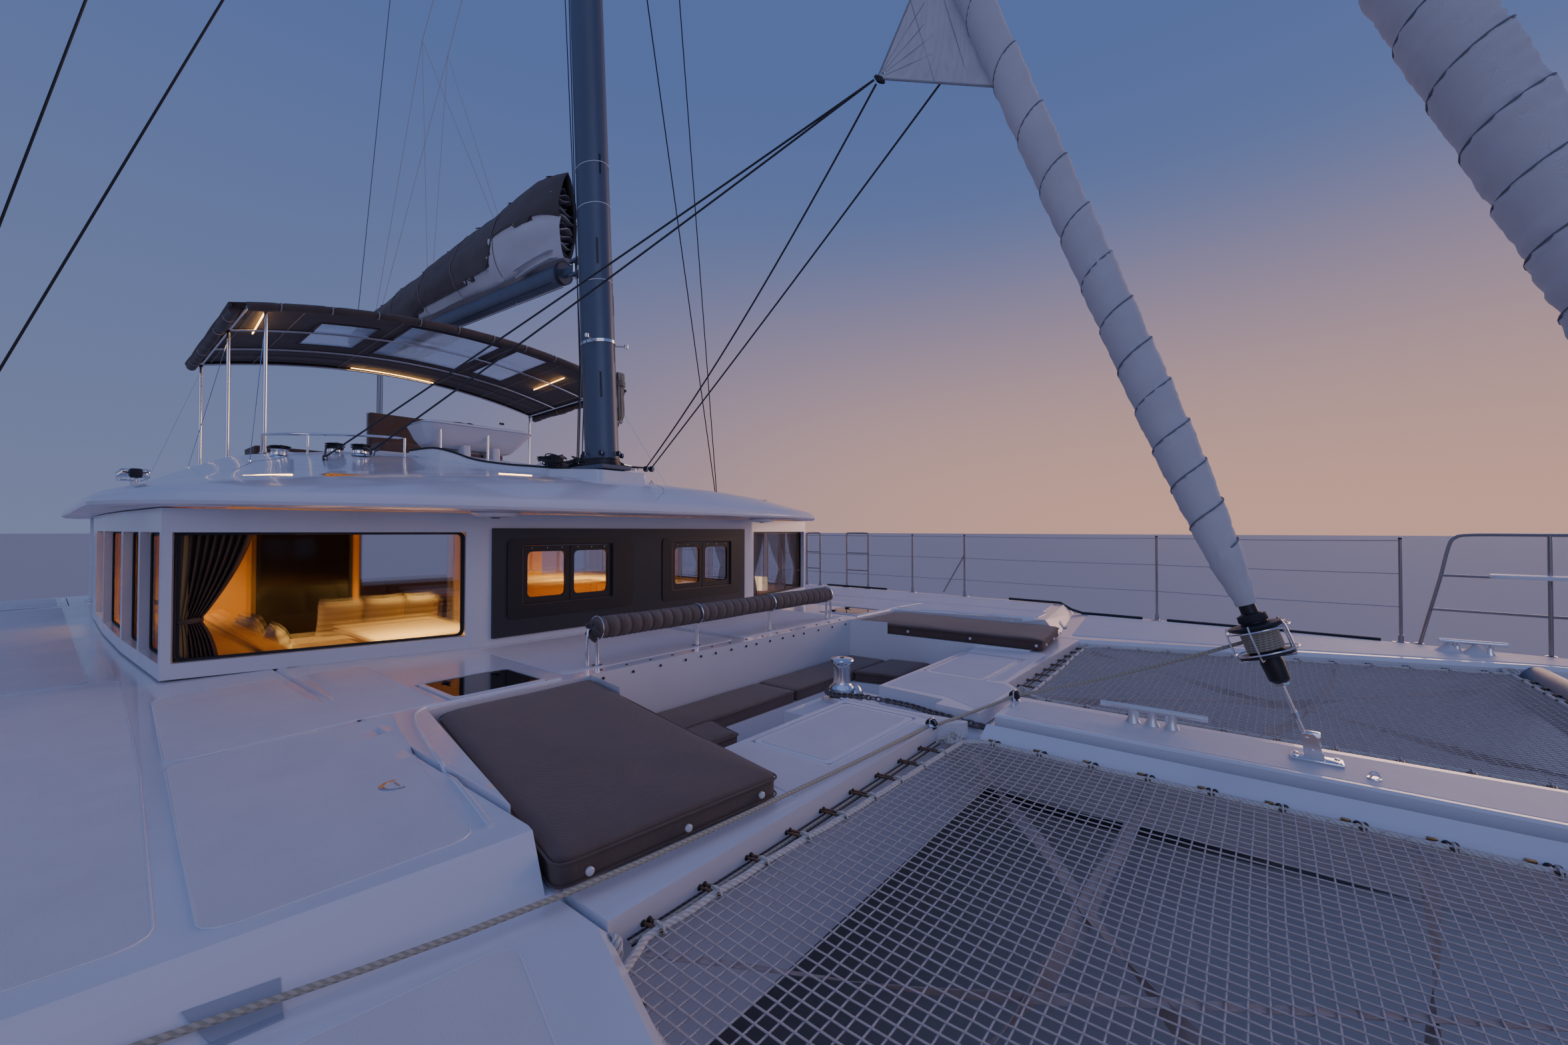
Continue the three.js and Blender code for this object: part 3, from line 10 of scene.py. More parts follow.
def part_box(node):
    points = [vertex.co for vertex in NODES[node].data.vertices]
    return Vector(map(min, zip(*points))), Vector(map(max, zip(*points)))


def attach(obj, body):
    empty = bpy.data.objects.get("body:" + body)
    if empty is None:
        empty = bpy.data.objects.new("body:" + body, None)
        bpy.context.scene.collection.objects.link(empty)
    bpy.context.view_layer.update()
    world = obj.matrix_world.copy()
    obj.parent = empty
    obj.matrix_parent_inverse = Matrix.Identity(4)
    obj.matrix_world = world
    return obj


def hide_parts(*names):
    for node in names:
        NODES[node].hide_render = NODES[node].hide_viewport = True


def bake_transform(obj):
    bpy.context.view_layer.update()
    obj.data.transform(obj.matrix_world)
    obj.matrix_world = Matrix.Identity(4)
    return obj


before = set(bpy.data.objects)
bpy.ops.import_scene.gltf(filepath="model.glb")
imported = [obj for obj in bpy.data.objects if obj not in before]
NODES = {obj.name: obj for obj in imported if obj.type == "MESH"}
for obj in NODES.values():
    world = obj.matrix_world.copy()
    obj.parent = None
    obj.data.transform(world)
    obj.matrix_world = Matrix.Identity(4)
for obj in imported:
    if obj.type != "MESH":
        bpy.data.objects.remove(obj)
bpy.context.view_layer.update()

# A cruising sailing catamaran afloat, in metres: +X forward, +Y to port, +Z up, water at z = 0
SIDES = {"starboard": -1, "port": 1}
# Height of the floor in the saloon and the aft cockpit
FLOOR = 1.28
# Heights at which things stand just clear of the side decks and of that floor
ON_DECK = 2.1005
ON_FLOOR = 1.2805
# Edges sharper than this many degrees stay crisp
SHARP = 34


# Node trees for the materials

class Looks:
    """Materials by name, each made once when it is first asked for."""

    def __init__(self):
        self.recipes = {}
        self.made = {}

    def add(self, name, **recipe):
        self.recipes[name] = recipe

    def __getitem__(self, name):
        if name not in self.made:
            self.made[name] = make_material(name, **self.recipes[name])
        return self.made[name]


LOOKS = Looks()


def texture(tree, kind, scale, place):
    """One grey pattern of the object's own coordinates; scale is in repeats a metre."""
    new = tree.nodes.new
    link = tree.links.new
    coordinates = new("ShaderNodeTexCoord")
    source = coordinates.outputs["UV" if kind == "twist" else "Object"]
    mapping = new("ShaderNodeMapping")
    mapping.inputs["Scale"].default_value = place
    link(source, mapping.inputs["Vector"])
    if kind in ("noise", "streaks"):
        node = new("ShaderNodeTexNoise")
        node.inputs["Scale"].default_value = scale
        node.inputs["Detail"].default_value = 4
        link(mapping.outputs[0], node.inputs["Vector"])
        return node.outputs["Fac"]
    if kind == "pebbles":
        node = new("ShaderNodeTexVoronoi")
        node.inputs["Scale"].default_value = scale
        link(mapping.outputs[0], node.inputs["Vector"])
        return node.outputs["Distance"]
    if kind == "weave":
        waves = []
        for direction in ("X", "Y", "Z"):
            node = new("ShaderNodeTexWave")
            node.bands_direction = direction
            node.inputs["Scale"].default_value = scale
            link(mapping.outputs[0], node.inputs["Vector"])
            waves.append(node.outputs["Fac"])
        first = new("ShaderNodeMath")
        first.operation = "MULTIPLY"
        link(waves[0], first.inputs[0])
        link(waves[1], first.inputs[1])
        second = new("ShaderNodeMath")
        second.operation = "ADD"
        link(first.outputs[0], second.inputs[0])
        link(waves[2], second.inputs[1])
        return second.outputs[0]
    node = new("ShaderNodeTexWave")
    node.bands_direction = "DIAGONAL" if kind == "twist" else "Z"
    node.inputs["Scale"].default_value = scale
    link(mapping.outputs[0], node.inputs["Vector"])
    return node.outputs["Fac"]


def make_material(name, colour, rough=0.5, metal=0.0, second=None, mottle=None, bumps=(), rough_by=0.0,
                  **sockets):
    """Principled shader. mottle is (kind, scale, place, low, high) between colour and second;
    bumps are (kind, scale, place, height in metres); rough_by spreads the roughness by a soft noise."""
    material = bpy.data.materials.new(name)
    material.use_nodes = True
    tree = material.node_tree
    shader = tree.nodes["Principled BSDF"]
    shader.inputs["Base Color"].default_value = (*colour, 1)
    shader.inputs["Roughness"].default_value = rough
    shader.inputs["Metallic"].default_value = metal
    for socket, value in sockets.items():
        shader.inputs[socket.replace("_", " ")].default_value = value
    if second:
        kind, scale, place, low, high = mottle
        ramp = tree.nodes.new("ShaderNodeValToRGB")
        ramp.color_ramp.elements[0].position = low
        ramp.color_ramp.elements[1].position = high
        ramp.color_ramp.elements[0].color = (*colour, 1)
        ramp.color_ramp.elements[1].color = (*second, 1)
        tree.links.new(texture(tree, kind, scale, place), ramp.inputs[0])
        tree.links.new(ramp.outputs[0], shader.inputs["Base Color"])
    if rough_by:
        spread = tree.nodes.new("ShaderNodeMapRange")
        spread.inputs["To Min"].default_value = max(0.02, rough - rough_by)
        spread.inputs["To Max"].default_value = min(1.0, rough + rough_by)
        tree.links.new(texture(tree, "noise", 3.0, (1, 1, 1)), spread.inputs[0])
        tree.links.new(spread.outputs[0], shader.inputs["Roughness"])
    normal = None
    for kind, scale, place, height in bumps:
        bump = tree.nodes.new("ShaderNodeBump")
        bump.inputs["Distance"].default_value = height
        tree.links.new(texture(tree, kind, scale, place), bump.inputs["Height"])
        if normal:
            tree.links.new(normal, bump.inputs["Normal"])
        normal = bump.outputs[0]
    if normal:
        tree.links.new(normal, shader.inputs["Normal"])
    return material


EVEN = (1, 1, 1)
LOOKS.add("gelcoat", colour=(0.74, 0.74, 0.78), rough=0.22, rough_by=0.08, second=(0.70, 0.705, 0.75),
          mottle=("noise", 1.3, EVEN, 0.35, 0.75), bumps=[("noise", 2.2, EVEN, 0.0016)], Coat_Weight=0.35)
LOOKS.add("non_skid", colour=(0.74, 0.70, 0.70), rough=0.55, second=(0.70, 0.66, 0.665),
          mottle=("noise", 5.0, EVEN, 0.3, 0.7), bumps=[("pebbles", 260, EVEN, 0.0006)])
LOOKS.add("pale_cap", colour=(0.70, 0.70, 0.72), rough=0.4, bumps=[("noise", 120, EVEN, 0.0002)])
# Darker grey for lines drawn on gelcoat: painted shade of grooves and seams
LOOKS.add("groove", colour=(0.40, 0.41, 0.46), rough=0.6)
LOOKS.add("antifouling", colour=(0.03, 0.045, 0.08), rough=0.75, second=(0.05, 0.07, 0.11),
          mottle=("noise", 4.0, EVEN, 0.3, 0.8), bumps=[("noise", 60, EVEN, 0.0006)])
LOOKS.add("boot_stripe", colour=(0.05, 0.055, 0.07), rough=0.35, rough_by=0.05)
LOOKS.add("steel", colour=(0.80, 0.81, 0.83), rough=0.16, metal=1.0, rough_by=0.06,
          bumps=[("streaks", 90, (1, 1, 0.06), 0.0002)])
LOOKS.add("galvanised", colour=(0.17, 0.145, 0.135), rough=0.5, metal=0.7, second=(0.24, 0.21, 0.20),
          mottle=("noise", 45, EVEN, 0.35, 0.7))
LOOKS.add("spar", colour=(0.125, 0.15, 0.20), rough=0.42, metal=0.25, rough_by=0.07,
          second=(0.11, 0.135, 0.18), mottle=("streaks", 6, (1, 1, 0.05), 0.35, 0.7))
# The same stainless steel as on the rest of the boat, made darker with a faint warm cast: painted dim
# reflections on the rails
LOOKS.add("rail_steel_painted_dark", colour=(0.40, 0.37, 0.37), rough=0.2, metal=1.0, rough_by=0.06,
          bumps=[("streaks", 90, (1, 1, 0.06), 0.0002)])
LOOKS.add("black", colour=(0.018, 0.018, 0.02), rough=0.42, bumps=[("noise", 220, EVEN, 0.0002)])
LOOKS.add("rubber", colour=(0.03, 0.03, 0.032), rough=0.7)
LOOKS.add("dark_panel", colour=(0.035, 0.036, 0.042), rough=0.36, rough_by=0.05,
          bumps=[("noise", 180, EVEN, 0.00015)])
LOOKS.add("cushion", colour=(0.115, 0.066, 0.052), rough=0.82, second=(0.145, 0.086, 0.070),
          mottle=("noise", 7.0, EVEN, 0.3, 0.75),
          bumps=[("weave", 330, EVEN, 0.0005), ("noise", 5, EVEN, 0.004)],
          Sheen_Weight=0.3, Sheen_Roughness=0.5)
LOOKS.add("canvas", colour=(0.098, 0.075, 0.068), rough=0.86, second=(0.125, 0.098, 0.09),
          mottle=("noise", 4.0, EVEN, 0.3, 0.75),
          bumps=[("weave", 260, EVEN, 0.0005), ("noise", 6, EVEN, 0.005)], Sheen_Weight=0.2)
# Dark grey hem along the furled sails' free edges: a painted shadow line under the edge's step
LOOKS.add("hem_painted_shadow", colour=(0.20, 0.20, 0.23), rough=0.85)
LOOKS.add("sailcloth", colour=(0.80, 0.78, 0.79), rough=0.75, second=(0.72, 0.70, 0.71),
          mottle=("noise", 3.0, EVEN, 0.3, 0.75),
          bumps=[("weave", 240, EVEN, 0.0004), ("noise", 9, EVEN, 0.006)])
# Grey cloth for the clew's tapes and seams, and painted shade on every other fold of the sail in the bag
LOOKS.add("grey_tape_and_fold_shade", colour=(0.40, 0.40, 0.43), rough=0.82, second=(0.46, 0.46, 0.50),
          mottle=("noise", 4.0, EVEN, 0.3, 0.75),
          bumps=[("weave", 240, EVEN, 0.0004), ("noise", 9, EVEN, 0.006)])
LOOKS.add("cover_stripe", colour=(0.20, 0.155, 0.135), rough=0.88, second=(0.26, 0.205, 0.18),
          mottle=("noise", 6.0, EVEN, 0.3, 0.75), bumps=[("weave", 260, EVEN, 0.0005)])
LOOKS.add("dark_wire", colour=(0.035, 0.036, 0.04), rough=0.5, metal=0.6, bumps=[("twist", 40, EVEN, 0.0006)])
LOOKS.add("pale_metal", colour=(0.72, 0.71, 0.70), rough=0.34, metal=0.7, rough_by=0.05)
LOOKS.add("dark_metal", colour=(0.07, 0.07, 0.08), rough=0.5, metal=0.6)
LOOKS.add("seat_board", colour=(0.78, 0.78, 0.80), rough=0.45, bumps=[("noise", 90, EVEN, 0.0003)])
LOOKS.add("netting", colour=(0.62, 0.55, 0.51), rough=0.85, second=(0.52, 0.45, 0.42),
          mottle=("noise", 30, EVEN, 0.3, 0.7), bumps=[("twist", 60, EVEN, 0.0006)])
LOOKS.add("rope", colour=(0.50, 0.45, 0.36), rough=0.85, second=(0.36, 0.33, 0.25),
          mottle=("twist", 30, EVEN, 0.3, 0.7), bumps=[("twist", 30, EVEN, 0.001)])
LOOKS.add("pale_rope", colour=(0.66, 0.63, 0.58), rough=0.85, second=(0.52, 0.49, 0.44),
          mottle=("twist", 30, EVEN, 0.3, 0.7), bumps=[("twist", 30, EVEN, 0.001)])
LOOKS.add("dark_rope", colour=(0.03, 0.03, 0.035), rough=0.8, second=(0.07, 0.07, 0.075),
          mottle=("twist", 30, EVEN, 0.3, 0.7), bumps=[("twist", 30, EVEN, 0.0008)])
LOOKS.add("webbing", colour=(0.56, 0.47, 0.44), rough=0.85, second=(0.44, 0.36, 0.34),
          mottle=("noise", 20, EVEN, 0.3, 0.7), bumps=[("weave", 300, EVEN, 0.0004)])
LOOKS.add("tinted_glass", colour=(0.05, 0.055, 0.065), rough=0.04, Transmission_Weight=0.75, IOR=1.45)
LOOKS.add("cabin_glass", colour=(0.74, 0.76, 0.80), rough=0.015, Transmission_Weight=1.0, IOR=1.12,
          Alpha=0.45)
LOOKS.add("clear_vinyl", colour=(0.72, 0.74, 0.77), rough=0.12, Transmission_Weight=0.9, Alpha=0.5,
          bumps=[("noise", 7, EVEN, 0.003)])
LOOKS.add("wood", colour=(0.50, 0.25, 0.075), rough=0.38, second=(0.37, 0.17, 0.045),
          mottle=("noise", 7.0, (0.6, 9, 9), 0.3, 0.7), bumps=[("noise", 40, (0.6, 9, 9), 0.0003)])
LOOKS.add("amber_wall", colour=(0.74, 0.42, 0.11), rough=0.5, second=(0.66, 0.36, 0.085),
          mottle=("noise", 3.0, EVEN, 0.3, 0.7))
LOOKS.add("cream", colour=(0.72, 0.60, 0.42), rough=0.85, second=(0.65, 0.53, 0.36),
          mottle=("noise", 9.0, EVEN, 0.3, 0.7), bumps=[("weave", 300, EVEN, 0.0004)])
LOOKS.add("curtain", colour=(0.20, 0.115, 0.07), rough=0.9, second=(0.15, 0.085, 0.05),
          mottle=("noise", 9.0, EVEN, 0.3, 0.7), bumps=[("weave", 300, EVEN, 0.0004)])
LOOKS.add("striped", colour=(0.36, 0.30, 0.20), rough=0.9, second=(0.62, 0.55, 0.40),
          mottle=("bands", 5.0, EVEN, 0.42, 0.58), bumps=[("weave", 300, EVEN, 0.0004)])
LOOKS.add("lamp_shade", colour=(0.92, 0.84, 0.70), rough=0.7, Emission_Color=(1.0, 0.72, 0.38, 1),
          Emission_Strength=1.2)
LOOKS.add("screen", colour=(0.012, 0.013, 0.016), rough=0.08)
LOOKS.add("batten", colour=(0.36, 0.33, 0.30), rough=0.6)
LOOKS.add("grey_plate", colour=(0.36, 0.40, 0.48), rough=0.5, bumps=[("noise", 90, EVEN, 0.0003)])
# Steel hooks of the nets tinted dark copper-brown: a painted warm reflection of the low sun
LOOKS.add("hook_steel_painted_sunset", colour=(0.16, 0.115, 0.09), rough=0.34, metal=1.0, second=(0.26, 0.17, 0.11),
          mottle=("noise", 60, EVEN, 0.3, 0.7))
# Bronze of the propellers, also used on the hook blocks by the nets as a painted warm reflection of the low
# sun on steel
LOOKS.add("bronze", colour=(0.50, 0.33, 0.16), rough=0.38, metal=1.0, second=(0.36, 0.26, 0.14),
          mottle=("noise", 25, EVEN, 0.3, 0.7))
LOOKS.add("engine_paint", colour=(0.30, 0.31, 0.32), rough=0.5, metal=0.1, second=(0.24, 0.25, 0.26),
          mottle=("noise", 12, EVEN, 0.3, 0.7))
LOOKS.add("amber_light", colour=(1.0, 0.62, 0.22), rough=0.5, Emission_Color=(1.0, 0.55, 0.16, 1),
          Emission_Strength=9.0)


# Shared shapes: points along lines, outlines and rings

def lerp(a, b, part):
    """The place a share of the way from a to b."""
    return tuple(p + (q - p) * part for p, q in zip(a, b))


def table(x, rows):
    """Linear reading of a table of (x, value)."""
    for (x0, v0), (x1, v1) in zip(rows, rows[1:]):
        if x <= x1 or (x1, v1) == rows[-1]:
            part = min(1.0, max(0.0, (x - x0) / (x1 - x0)))
            return v0 + (v1 - v0) * part
    return rows[-1][1]


def curve(points, count, closed=False):
    """Points on a Catmull-Rom curve, count for each span."""
    points = [Vector(p) for p in points]
    size = len(points)
    spans = size if closed else size - 1
    result = []
    for i in range(spans):
        if closed:
            p0, p1, p2, p3 = (points[(i + k) % size] for k in (-1, 0, 1, 2))
        else:
            p1, p2 = points[i], points[i + 1]
            p0 = points[i - 1] if i else p1 * 2 - p2
            p3 = points[i + 2] if i + 2 < size else p2 * 2 - p1
        for step in range(count):
            t = step / count
            result.append(0.5 * (2 * p1 + (p2 - p0) * t + (2 * p0 - 5 * p1 + 4 * p2 - p3) * t * t
                                 + (3 * p1 - p0 - 3 * p2 + p3) * t ** 3))
    if not closed:
        result.append(points[-1])
    return [tuple(p) for p in result]


def spaced(points, step):
    """The same line with points about a step apart."""
    result = [tuple(points[0])]
    for a, b in zip(points, points[1:]):
        parts = max(1, round(math.dist(a, b) / step))
        result += [lerp(a, b, (k + 1) / parts) for k in range(parts)]
    return result


def around(count):
    """Angles spaced evenly round a circle."""
    return [2 * math.pi * n / count for n in range(count)]


def rectangle(x, y, inset=0.0):
    """The corners between two limits each way, drawn in by an inset."""
    left, right = x[0] + inset, x[1] - inset
    low, high = y[0] + inset, y[1] - inset
    return [(left, low), (right, low), (right, high), (left, high)]


def rounded(outline, radius, steps=4):
    """A plan outline whose corners are rounded; radius may be one number or one for each corner."""
    count = len(outline)
    radii = radius if isinstance(radius, (list, tuple)) else [radius] * count
    result = []
    for i, corner in enumerate(outline):
        before, after = Vector(outline[i - 1]), Vector(outline[(i + 1) % count])
        corner = Vector(corner)
        one, two = (before - corner).normalized(), (after - corner).normalized()
        half = max(0.05, one.angle(two) / 2)
        reach = min(radii[i] / math.tan(half), (before - corner).length / 2.2, (after - corner).length / 2.2)
        start, end = corner + one * reach, corner + two * reach
        for k in range(steps + 1):
            t = k / steps
            result.append(tuple(start * (1 - t) ** 2 + corner * 2 * t * (1 - t) + end * t * t))
    return result


def sagged(a, b, drop, parts=16):
    """A line held at its ends, with its middle a drop lower."""
    line = [lerp(a, b, k / parts) for k in range(parts + 1)]
    return [(x, y, z - 4 * drop * (k / parts) * (1 - k / parts)) for k, (x, y, z) in enumerate(line)]


def coil(place, radius, turns, pitch, axis="z", steps=20):
    """Points of a helix round an axis."""
    points = []
    for k in range(int(turns * steps) + 1):
        turn = 2 * math.pi * k / steps
        a, b, c = math.cos(turn) * radius, math.sin(turn) * radius, pitch * k / steps
        offset = {"z": (a, b, c), "x": (c, a, b), "y": (a, c, b)}[axis]
        points.append(tuple(p + q for p, q in zip(place, offset)))
    return points


class Form:
    """Faces gathered into one piece, each with a look and, on tubes, a place round and along them."""

    def __init__(self):
        self.points = []
        self.faces = []
        self.shades = []
        self.spots = {}

    def add(self, points, faces, look, spots=None):
        start = len(self.points)
        self.points += [tuple(p) for p in points]
        for i, face in enumerate(faces):
            if spots:
                self.spots[len(self.faces)] = spots[i]
            self.faces.append([start + k for k in face])
            self.shades.append(look)
        return self

    def rings(self, rings, look, closed=False, caps=True, along=None):
        """A skin over rings of equally many points."""
        count = len(rings[0])
        total = len(rings)
        faces, spots = [], []
        run = along or [0.0] * (total + 1)
        girth = along and 2 * math.pi * along[-1]
        for r in range(total if closed else total - 1):
            s = (r + 1) % total
            for i in range(count):
                j = (i + 1) % count
                faces.append([r * count + i, r * count + j, s * count + j, s * count + i])
                if along:
                    u0, u1 = girth * i / count, girth * (i + 1) / count
                    spots.append([(u0, run[r]), (u1, run[r]), (u1, run[r + 1]), (u0, run[r + 1])])
        if caps and not closed:
            faces.append(list(range(count))[::-1])
            faces.append([(total - 1) * count + k for k in range(count)])
            if along:
                spots += [[(0, 0)] * count] * 2
        return self.add([p for ring in rings for p in ring], faces, look, spots if along else None)

    def tube(self, points, radius, look, sides=8, closed=False, caps=True, flat=1.0):
        """A round or flattened tube; radius is one number or one for each point."""
        path = [Vector(p) for p in points]
        size = len(path)
        radii = list(radius) if isinstance(radius, (list, tuple)) else [radius] * size
        up = Vector((0.13, 0.21, 0.97))
        rings, along, length = [], [], 0.0
        for i, p in enumerate(path):
            before = path[i - 1] if i or closed else p
            after = path[(i + 1) % size] if i + 1 < size or closed else p
            ahead = (after - before).normalized()
            right = ahead.cross(up)
            if right.length < 1e-4:
                right = ahead.orthogonal()
            right.normalize()
            up = right.cross(ahead).normalized()
            if i:
                length += (p - path[i - 1]).length
            along.append(length)
            rings.append([
                p + right * (math.cos(turn) * radii[i]) + up * (math.sin(turn) * radii[i] * flat)
                for turn in around(sides)
            ])
        along.append(length + (path[0] - path[-1]).length)
        along.append(max(radii))
        return self.rings(rings, look, closed, caps, along)

    def lathe(self, profile, a, b, look, sides=24):
        """A turned body; the profile is (radius, height) along the line from a towards b."""
        a, b = Vector(a), Vector(b)
        ahead = (b - a).normalized()
        right = ahead.orthogonal().normalized()
        up = ahead.cross(right)
        rings = []
        for r, h in profile:
            rings.append([
                a + ahead * h + right * (math.cos(turn) * max(r, 1e-5)) + up * (math.sin(turn) * max(r, 1e-5))
                for turn in around(sides)
            ])
        return self.rings(rings, look)

    def standing(self, profile, place, look, sides=24):
        """A turned body that stands upright on a place."""
        return self.lathe(profile, place, Vector(place) + Vector((0, 0, 1)), look, sides)

    def plate(self, outline, low, high, look, edge=0.0, steps=2):
        """A plan outline between two heights, its upper edge eased; heights may be functions of (x, y)."""
        level = [h if callable(h) else (lambda x, y, h=h: h) for h in (low, high)]
        middle = Vector((sum(p[0] for p in outline), sum(p[1] for p in outline))) / len(outline)
        rings = [[(x, y, level[0](x, y)) for x, y in outline]]
        for k in range(steps + 1):
            turn = math.pi / 2 * k / steps
            inward, drop = edge * (1 - math.cos(turn)), edge * (1 - math.sin(turn))
            ring = []
            for x, y in outline:
                pull = (middle - Vector((x, y))).normalized() * inward
                ring.append((x + pull.x, y + pull.y, level[1](x, y) - drop))
            rings.append(ring)
            if not edge:
                break
        return self.rings(rings, look)

    def box(self, x, y, z, look, edge=0.0, steps=2):
        """A block with eased edges."""
        centre = [sum(pair) / 2 for pair in (x, y, z)]
        half = [abs(pair[1] - pair[0]) / 2 for pair in (x, y, z)]
        if not edge:
            corners = [(sx, sy, sz) for sx in (-1, 1) for sy in (-1, 1) for sz in (-1, 1)]
            points = [tuple(c + s * h for c, s, h in zip(centre, signs, half)) for signs in corners]
            faces = [(0, 1, 3, 2), (4, 6, 7, 5), (0, 4, 5, 1), (2, 3, 7, 6), (0, 2, 6, 4), (1, 5, 7, 3)]
            return self.add(points, faces, look)
        outline = rounded([(centre[0] + sx * half[0], centre[1] + sy * half[1])
                           for sx, sy in ((-1, -1), (1, -1), (1, 1), (-1, 1))], edge, steps)
        rings = []
        levels = [(1 - math.cos(math.pi / 2 * k / steps), 1 - math.sin(math.pi / 2 * k / steps))
                  for k in range(steps + 1)]
        for inward, drop in [(a, b) for a, b in levels[::-1]] + levels:
            upper = len(rings) > steps
            height = centre[2] + (half[2] - edge * drop) * (1 if upper else -1)
            share = [(h - edge * inward) / h for h in half[:2]]
            rings.append([(centre[0] + (px - centre[0]) * share[0], centre[1] + (py - centre[1]) * share[1],
                           height) for px, py in outline])
        return self.rings(rings, look)

    def prism(self, outline, axis, start, end, look):
        """An outline pushed along an axis, as in the solids."""
        lay = {"z": lambda a, b, c: (a, b, c), "y": lambda a, b, c: (a, c, b),
               "x": lambda a, b, c: (c, a, b)}[axis]
        return self.rings([[lay(a, b, c) for a, b in outline] for c in (start, end)], look)

    def sheet(self, rows, look, back=0.0):
        """A grid of points as a skin; back gives it a thickness along its normals."""
        wide = len(rows[0])
        flat = [Vector(p) for row in rows for p in row]
        faces = []
        for r in range(len(rows) - 1):
            for i in range(wide - 1):
                a = r * wide + i
                faces.append([a, a + 1, a + wide + 1, a + wide])
        if not back:
            return self.add(flat, faces, look)
        normals = []
        for r in range(len(rows)):
            for i in range(wide):
                across = Vector(rows[r][min(i + 1, wide - 1)]) - Vector(rows[r][max(i - 1, 0)])
                down = Vector(rows[min(r + 1, len(rows) - 1)][i]) - Vector(rows[max(r - 1, 0)][i])
                normals.append(across.cross(down).normalized())
        size = len(flat)
        under = [p - n * back for p, n in zip(flat, normals)]
        rim = list(range(wide)) + [r * wide + wide - 1 for r in range(1, len(rows))]
        rim += [(len(rows) - 1) * wide + i for i in range(wide - 2, -1, -1)]
        rim += [r * wide for r in range(len(rows) - 2, 0, -1)]
        sides = [[a, b, b + size, a + size] for a, b in zip(rim, rim[1:] + rim[:1])]
        return self.add(flat + under, faces + [[k + size for k in f[::-1]] for f in faces] + sides, look)

    def placed(self, matrix):
        self.points = [tuple(matrix @ Vector(p)) for p in self.points]
        return self

    def join(self, other):
        start, first = len(self.points), len(self.faces)
        self.points += other.points
        self.faces += [[start + k for k in face] for face in other.faces]
        self.shades += other.shades
        self.spots.update({first + i: spots for i, spots in other.spots.items()})
        return self

    def mesh(self, name, even=True):
        data = bpy.data.meshes.new(name)
        data.from_pydata(self.points, [], self.faces)
        looks = list(dict.fromkeys(self.shades))
        for look in looks:
            data.materials.append(LOOKS[look])
        data.polygons.foreach_set("material_index", [looks.index(look) for look in self.shades])
        if self.spots:
            layer = data.uv_layers.new(name="along")
            flat = []
            for i, face in enumerate(self.faces):
                for spot in self.spots.get(i, [(0.0, 0.0)] * len(face)):
                    flat += spot
            layer.data.foreach_set("uv", flat)
        if even:
            shape = bmesh.new()
            shape.from_mesh(data)
            bmesh.ops.recalc_face_normals(shape, faces=shape.faces)
            shape.to_mesh(data)
            shape.free()
        return data

    def piece(self, name, body="boat", replaces=(), angle=SHARP, weighted=True, even=True):
        return settle(bpy.data.objects.new(name, self.mesh(name, even)), body, replaces, angle, weighted)


def settle(piece, body="boat", replaces=(), angle=SHARP, weighted=True):
    """Links a piece, smooths it between sharp edges, and sets it on its body."""
    bpy.context.scene.collection.objects.link(piece)
    piece.data.shade_smooth()
    piece.data.set_sharp_from_angle(angle=math.radians(angle))
    if weighted:
        normals = piece.modifiers.new("normals", "WEIGHTED_NORMAL")
        normals.keep_sharp = True
        normals.weight = 90
    if body:
        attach(piece, body)
    if replaces:
        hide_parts(*([replaces] if isinstance(replaces, str) else replaces))
    return piece


def copy_of(node):
    """The node's own mesh with its needless edges taken out."""
    shape = bmesh.new()
    shape.from_mesh(NODES[node].data)
    bmesh.ops.remove_doubles(shape, verts=shape.verts, dist=0.00002)
    bmesh.ops.dissolve_limit(shape, angle_limit=math.radians(0.6), verts=shape.verts, edges=shape.edges)
    return shape


def dressed(node, look, body="boat", ease=0.0, angle=SHARP):
    """A node's shape with eased edges and smooth shading."""
    shape = copy_of(node)
    if ease:
        edges = [e for e in shape.edges if len(e.link_faces) == 2 and e.calc_face_angle(0) > math.radians(28)]
        bmesh.ops.bevel(shape, geom=edges, offset=ease, segments=2, profile=0.6, affect="EDGES",
                        clamp_overlap=True)
    bmesh.ops.triangulate(shape, faces=[f for f in shape.faces if len(f.verts) > 4])
    name = f"{node}_finished"
    data = bpy.data.meshes.new(name)
    shape.to_mesh(data)
    shape.free()
    data.materials.append(LOOKS[look])
    return settle(bpy.data.objects.new(name, data), body, node, angle)


def solid_object(form):
    """A helper object for boolean work, which rides on no body."""
    piece = bpy.data.objects.new("tool", form.mesh("tool"))
    bpy.context.scene.collection.objects.link(piece)
    return piece


def carve(form, tools, name):
    """The form less each tool, as a mesh."""
    base = solid_object(form)
    for tool in tools:
        cutter = solid_object(tool)
        modifier = base.modifiers.new("cut", "BOOLEAN")
        modifier.operation = "DIFFERENCE"
        modifier.solver = "EXACT"
        modifier.object = cutter
        graph = bpy.context.evaluated_depsgraph_get()
        cut = bpy.data.meshes.new_from_object(base.evaluated_get(graph))
        base.modifiers.clear()
        base.data = cut
        bpy.data.objects.remove(cutter)
    data = base.data
    bpy.data.objects.remove(base)
    data.name = name
    return data


# Deck heights, read from the same table as the hulls

# Columns: x, outer deck height, inner deck height, outer deck y, inner deck y
DECK = [
    (-8.535, 2.03, 2.08, 4.52, 2.70), (-6.6, 2.04, 2.1, 4.64, 2.55), (-4.0, 2.05, 2.1, 4.70, 2.55),
    (0.0, 2.05, 2.1, 4.70, 2.55), (3.72, 2.045, 2.1, 4.55, 2.55), (3.835, 1.945, 1.95, 4.545, 2.55),
    (4.03, 1.945, 1.95, 4.535, 2.55), (5.5, 1.95, 1.95, 4.40, 3.055), (6.95, 1.955, 1.955, 4.15, 3.52),
    (8.0, 1.958, 1.958, 4.0, 3.66), (8.535, 1.96, 1.96, 3.85, 3.77),
]
STEP_SWEEP = 0.30


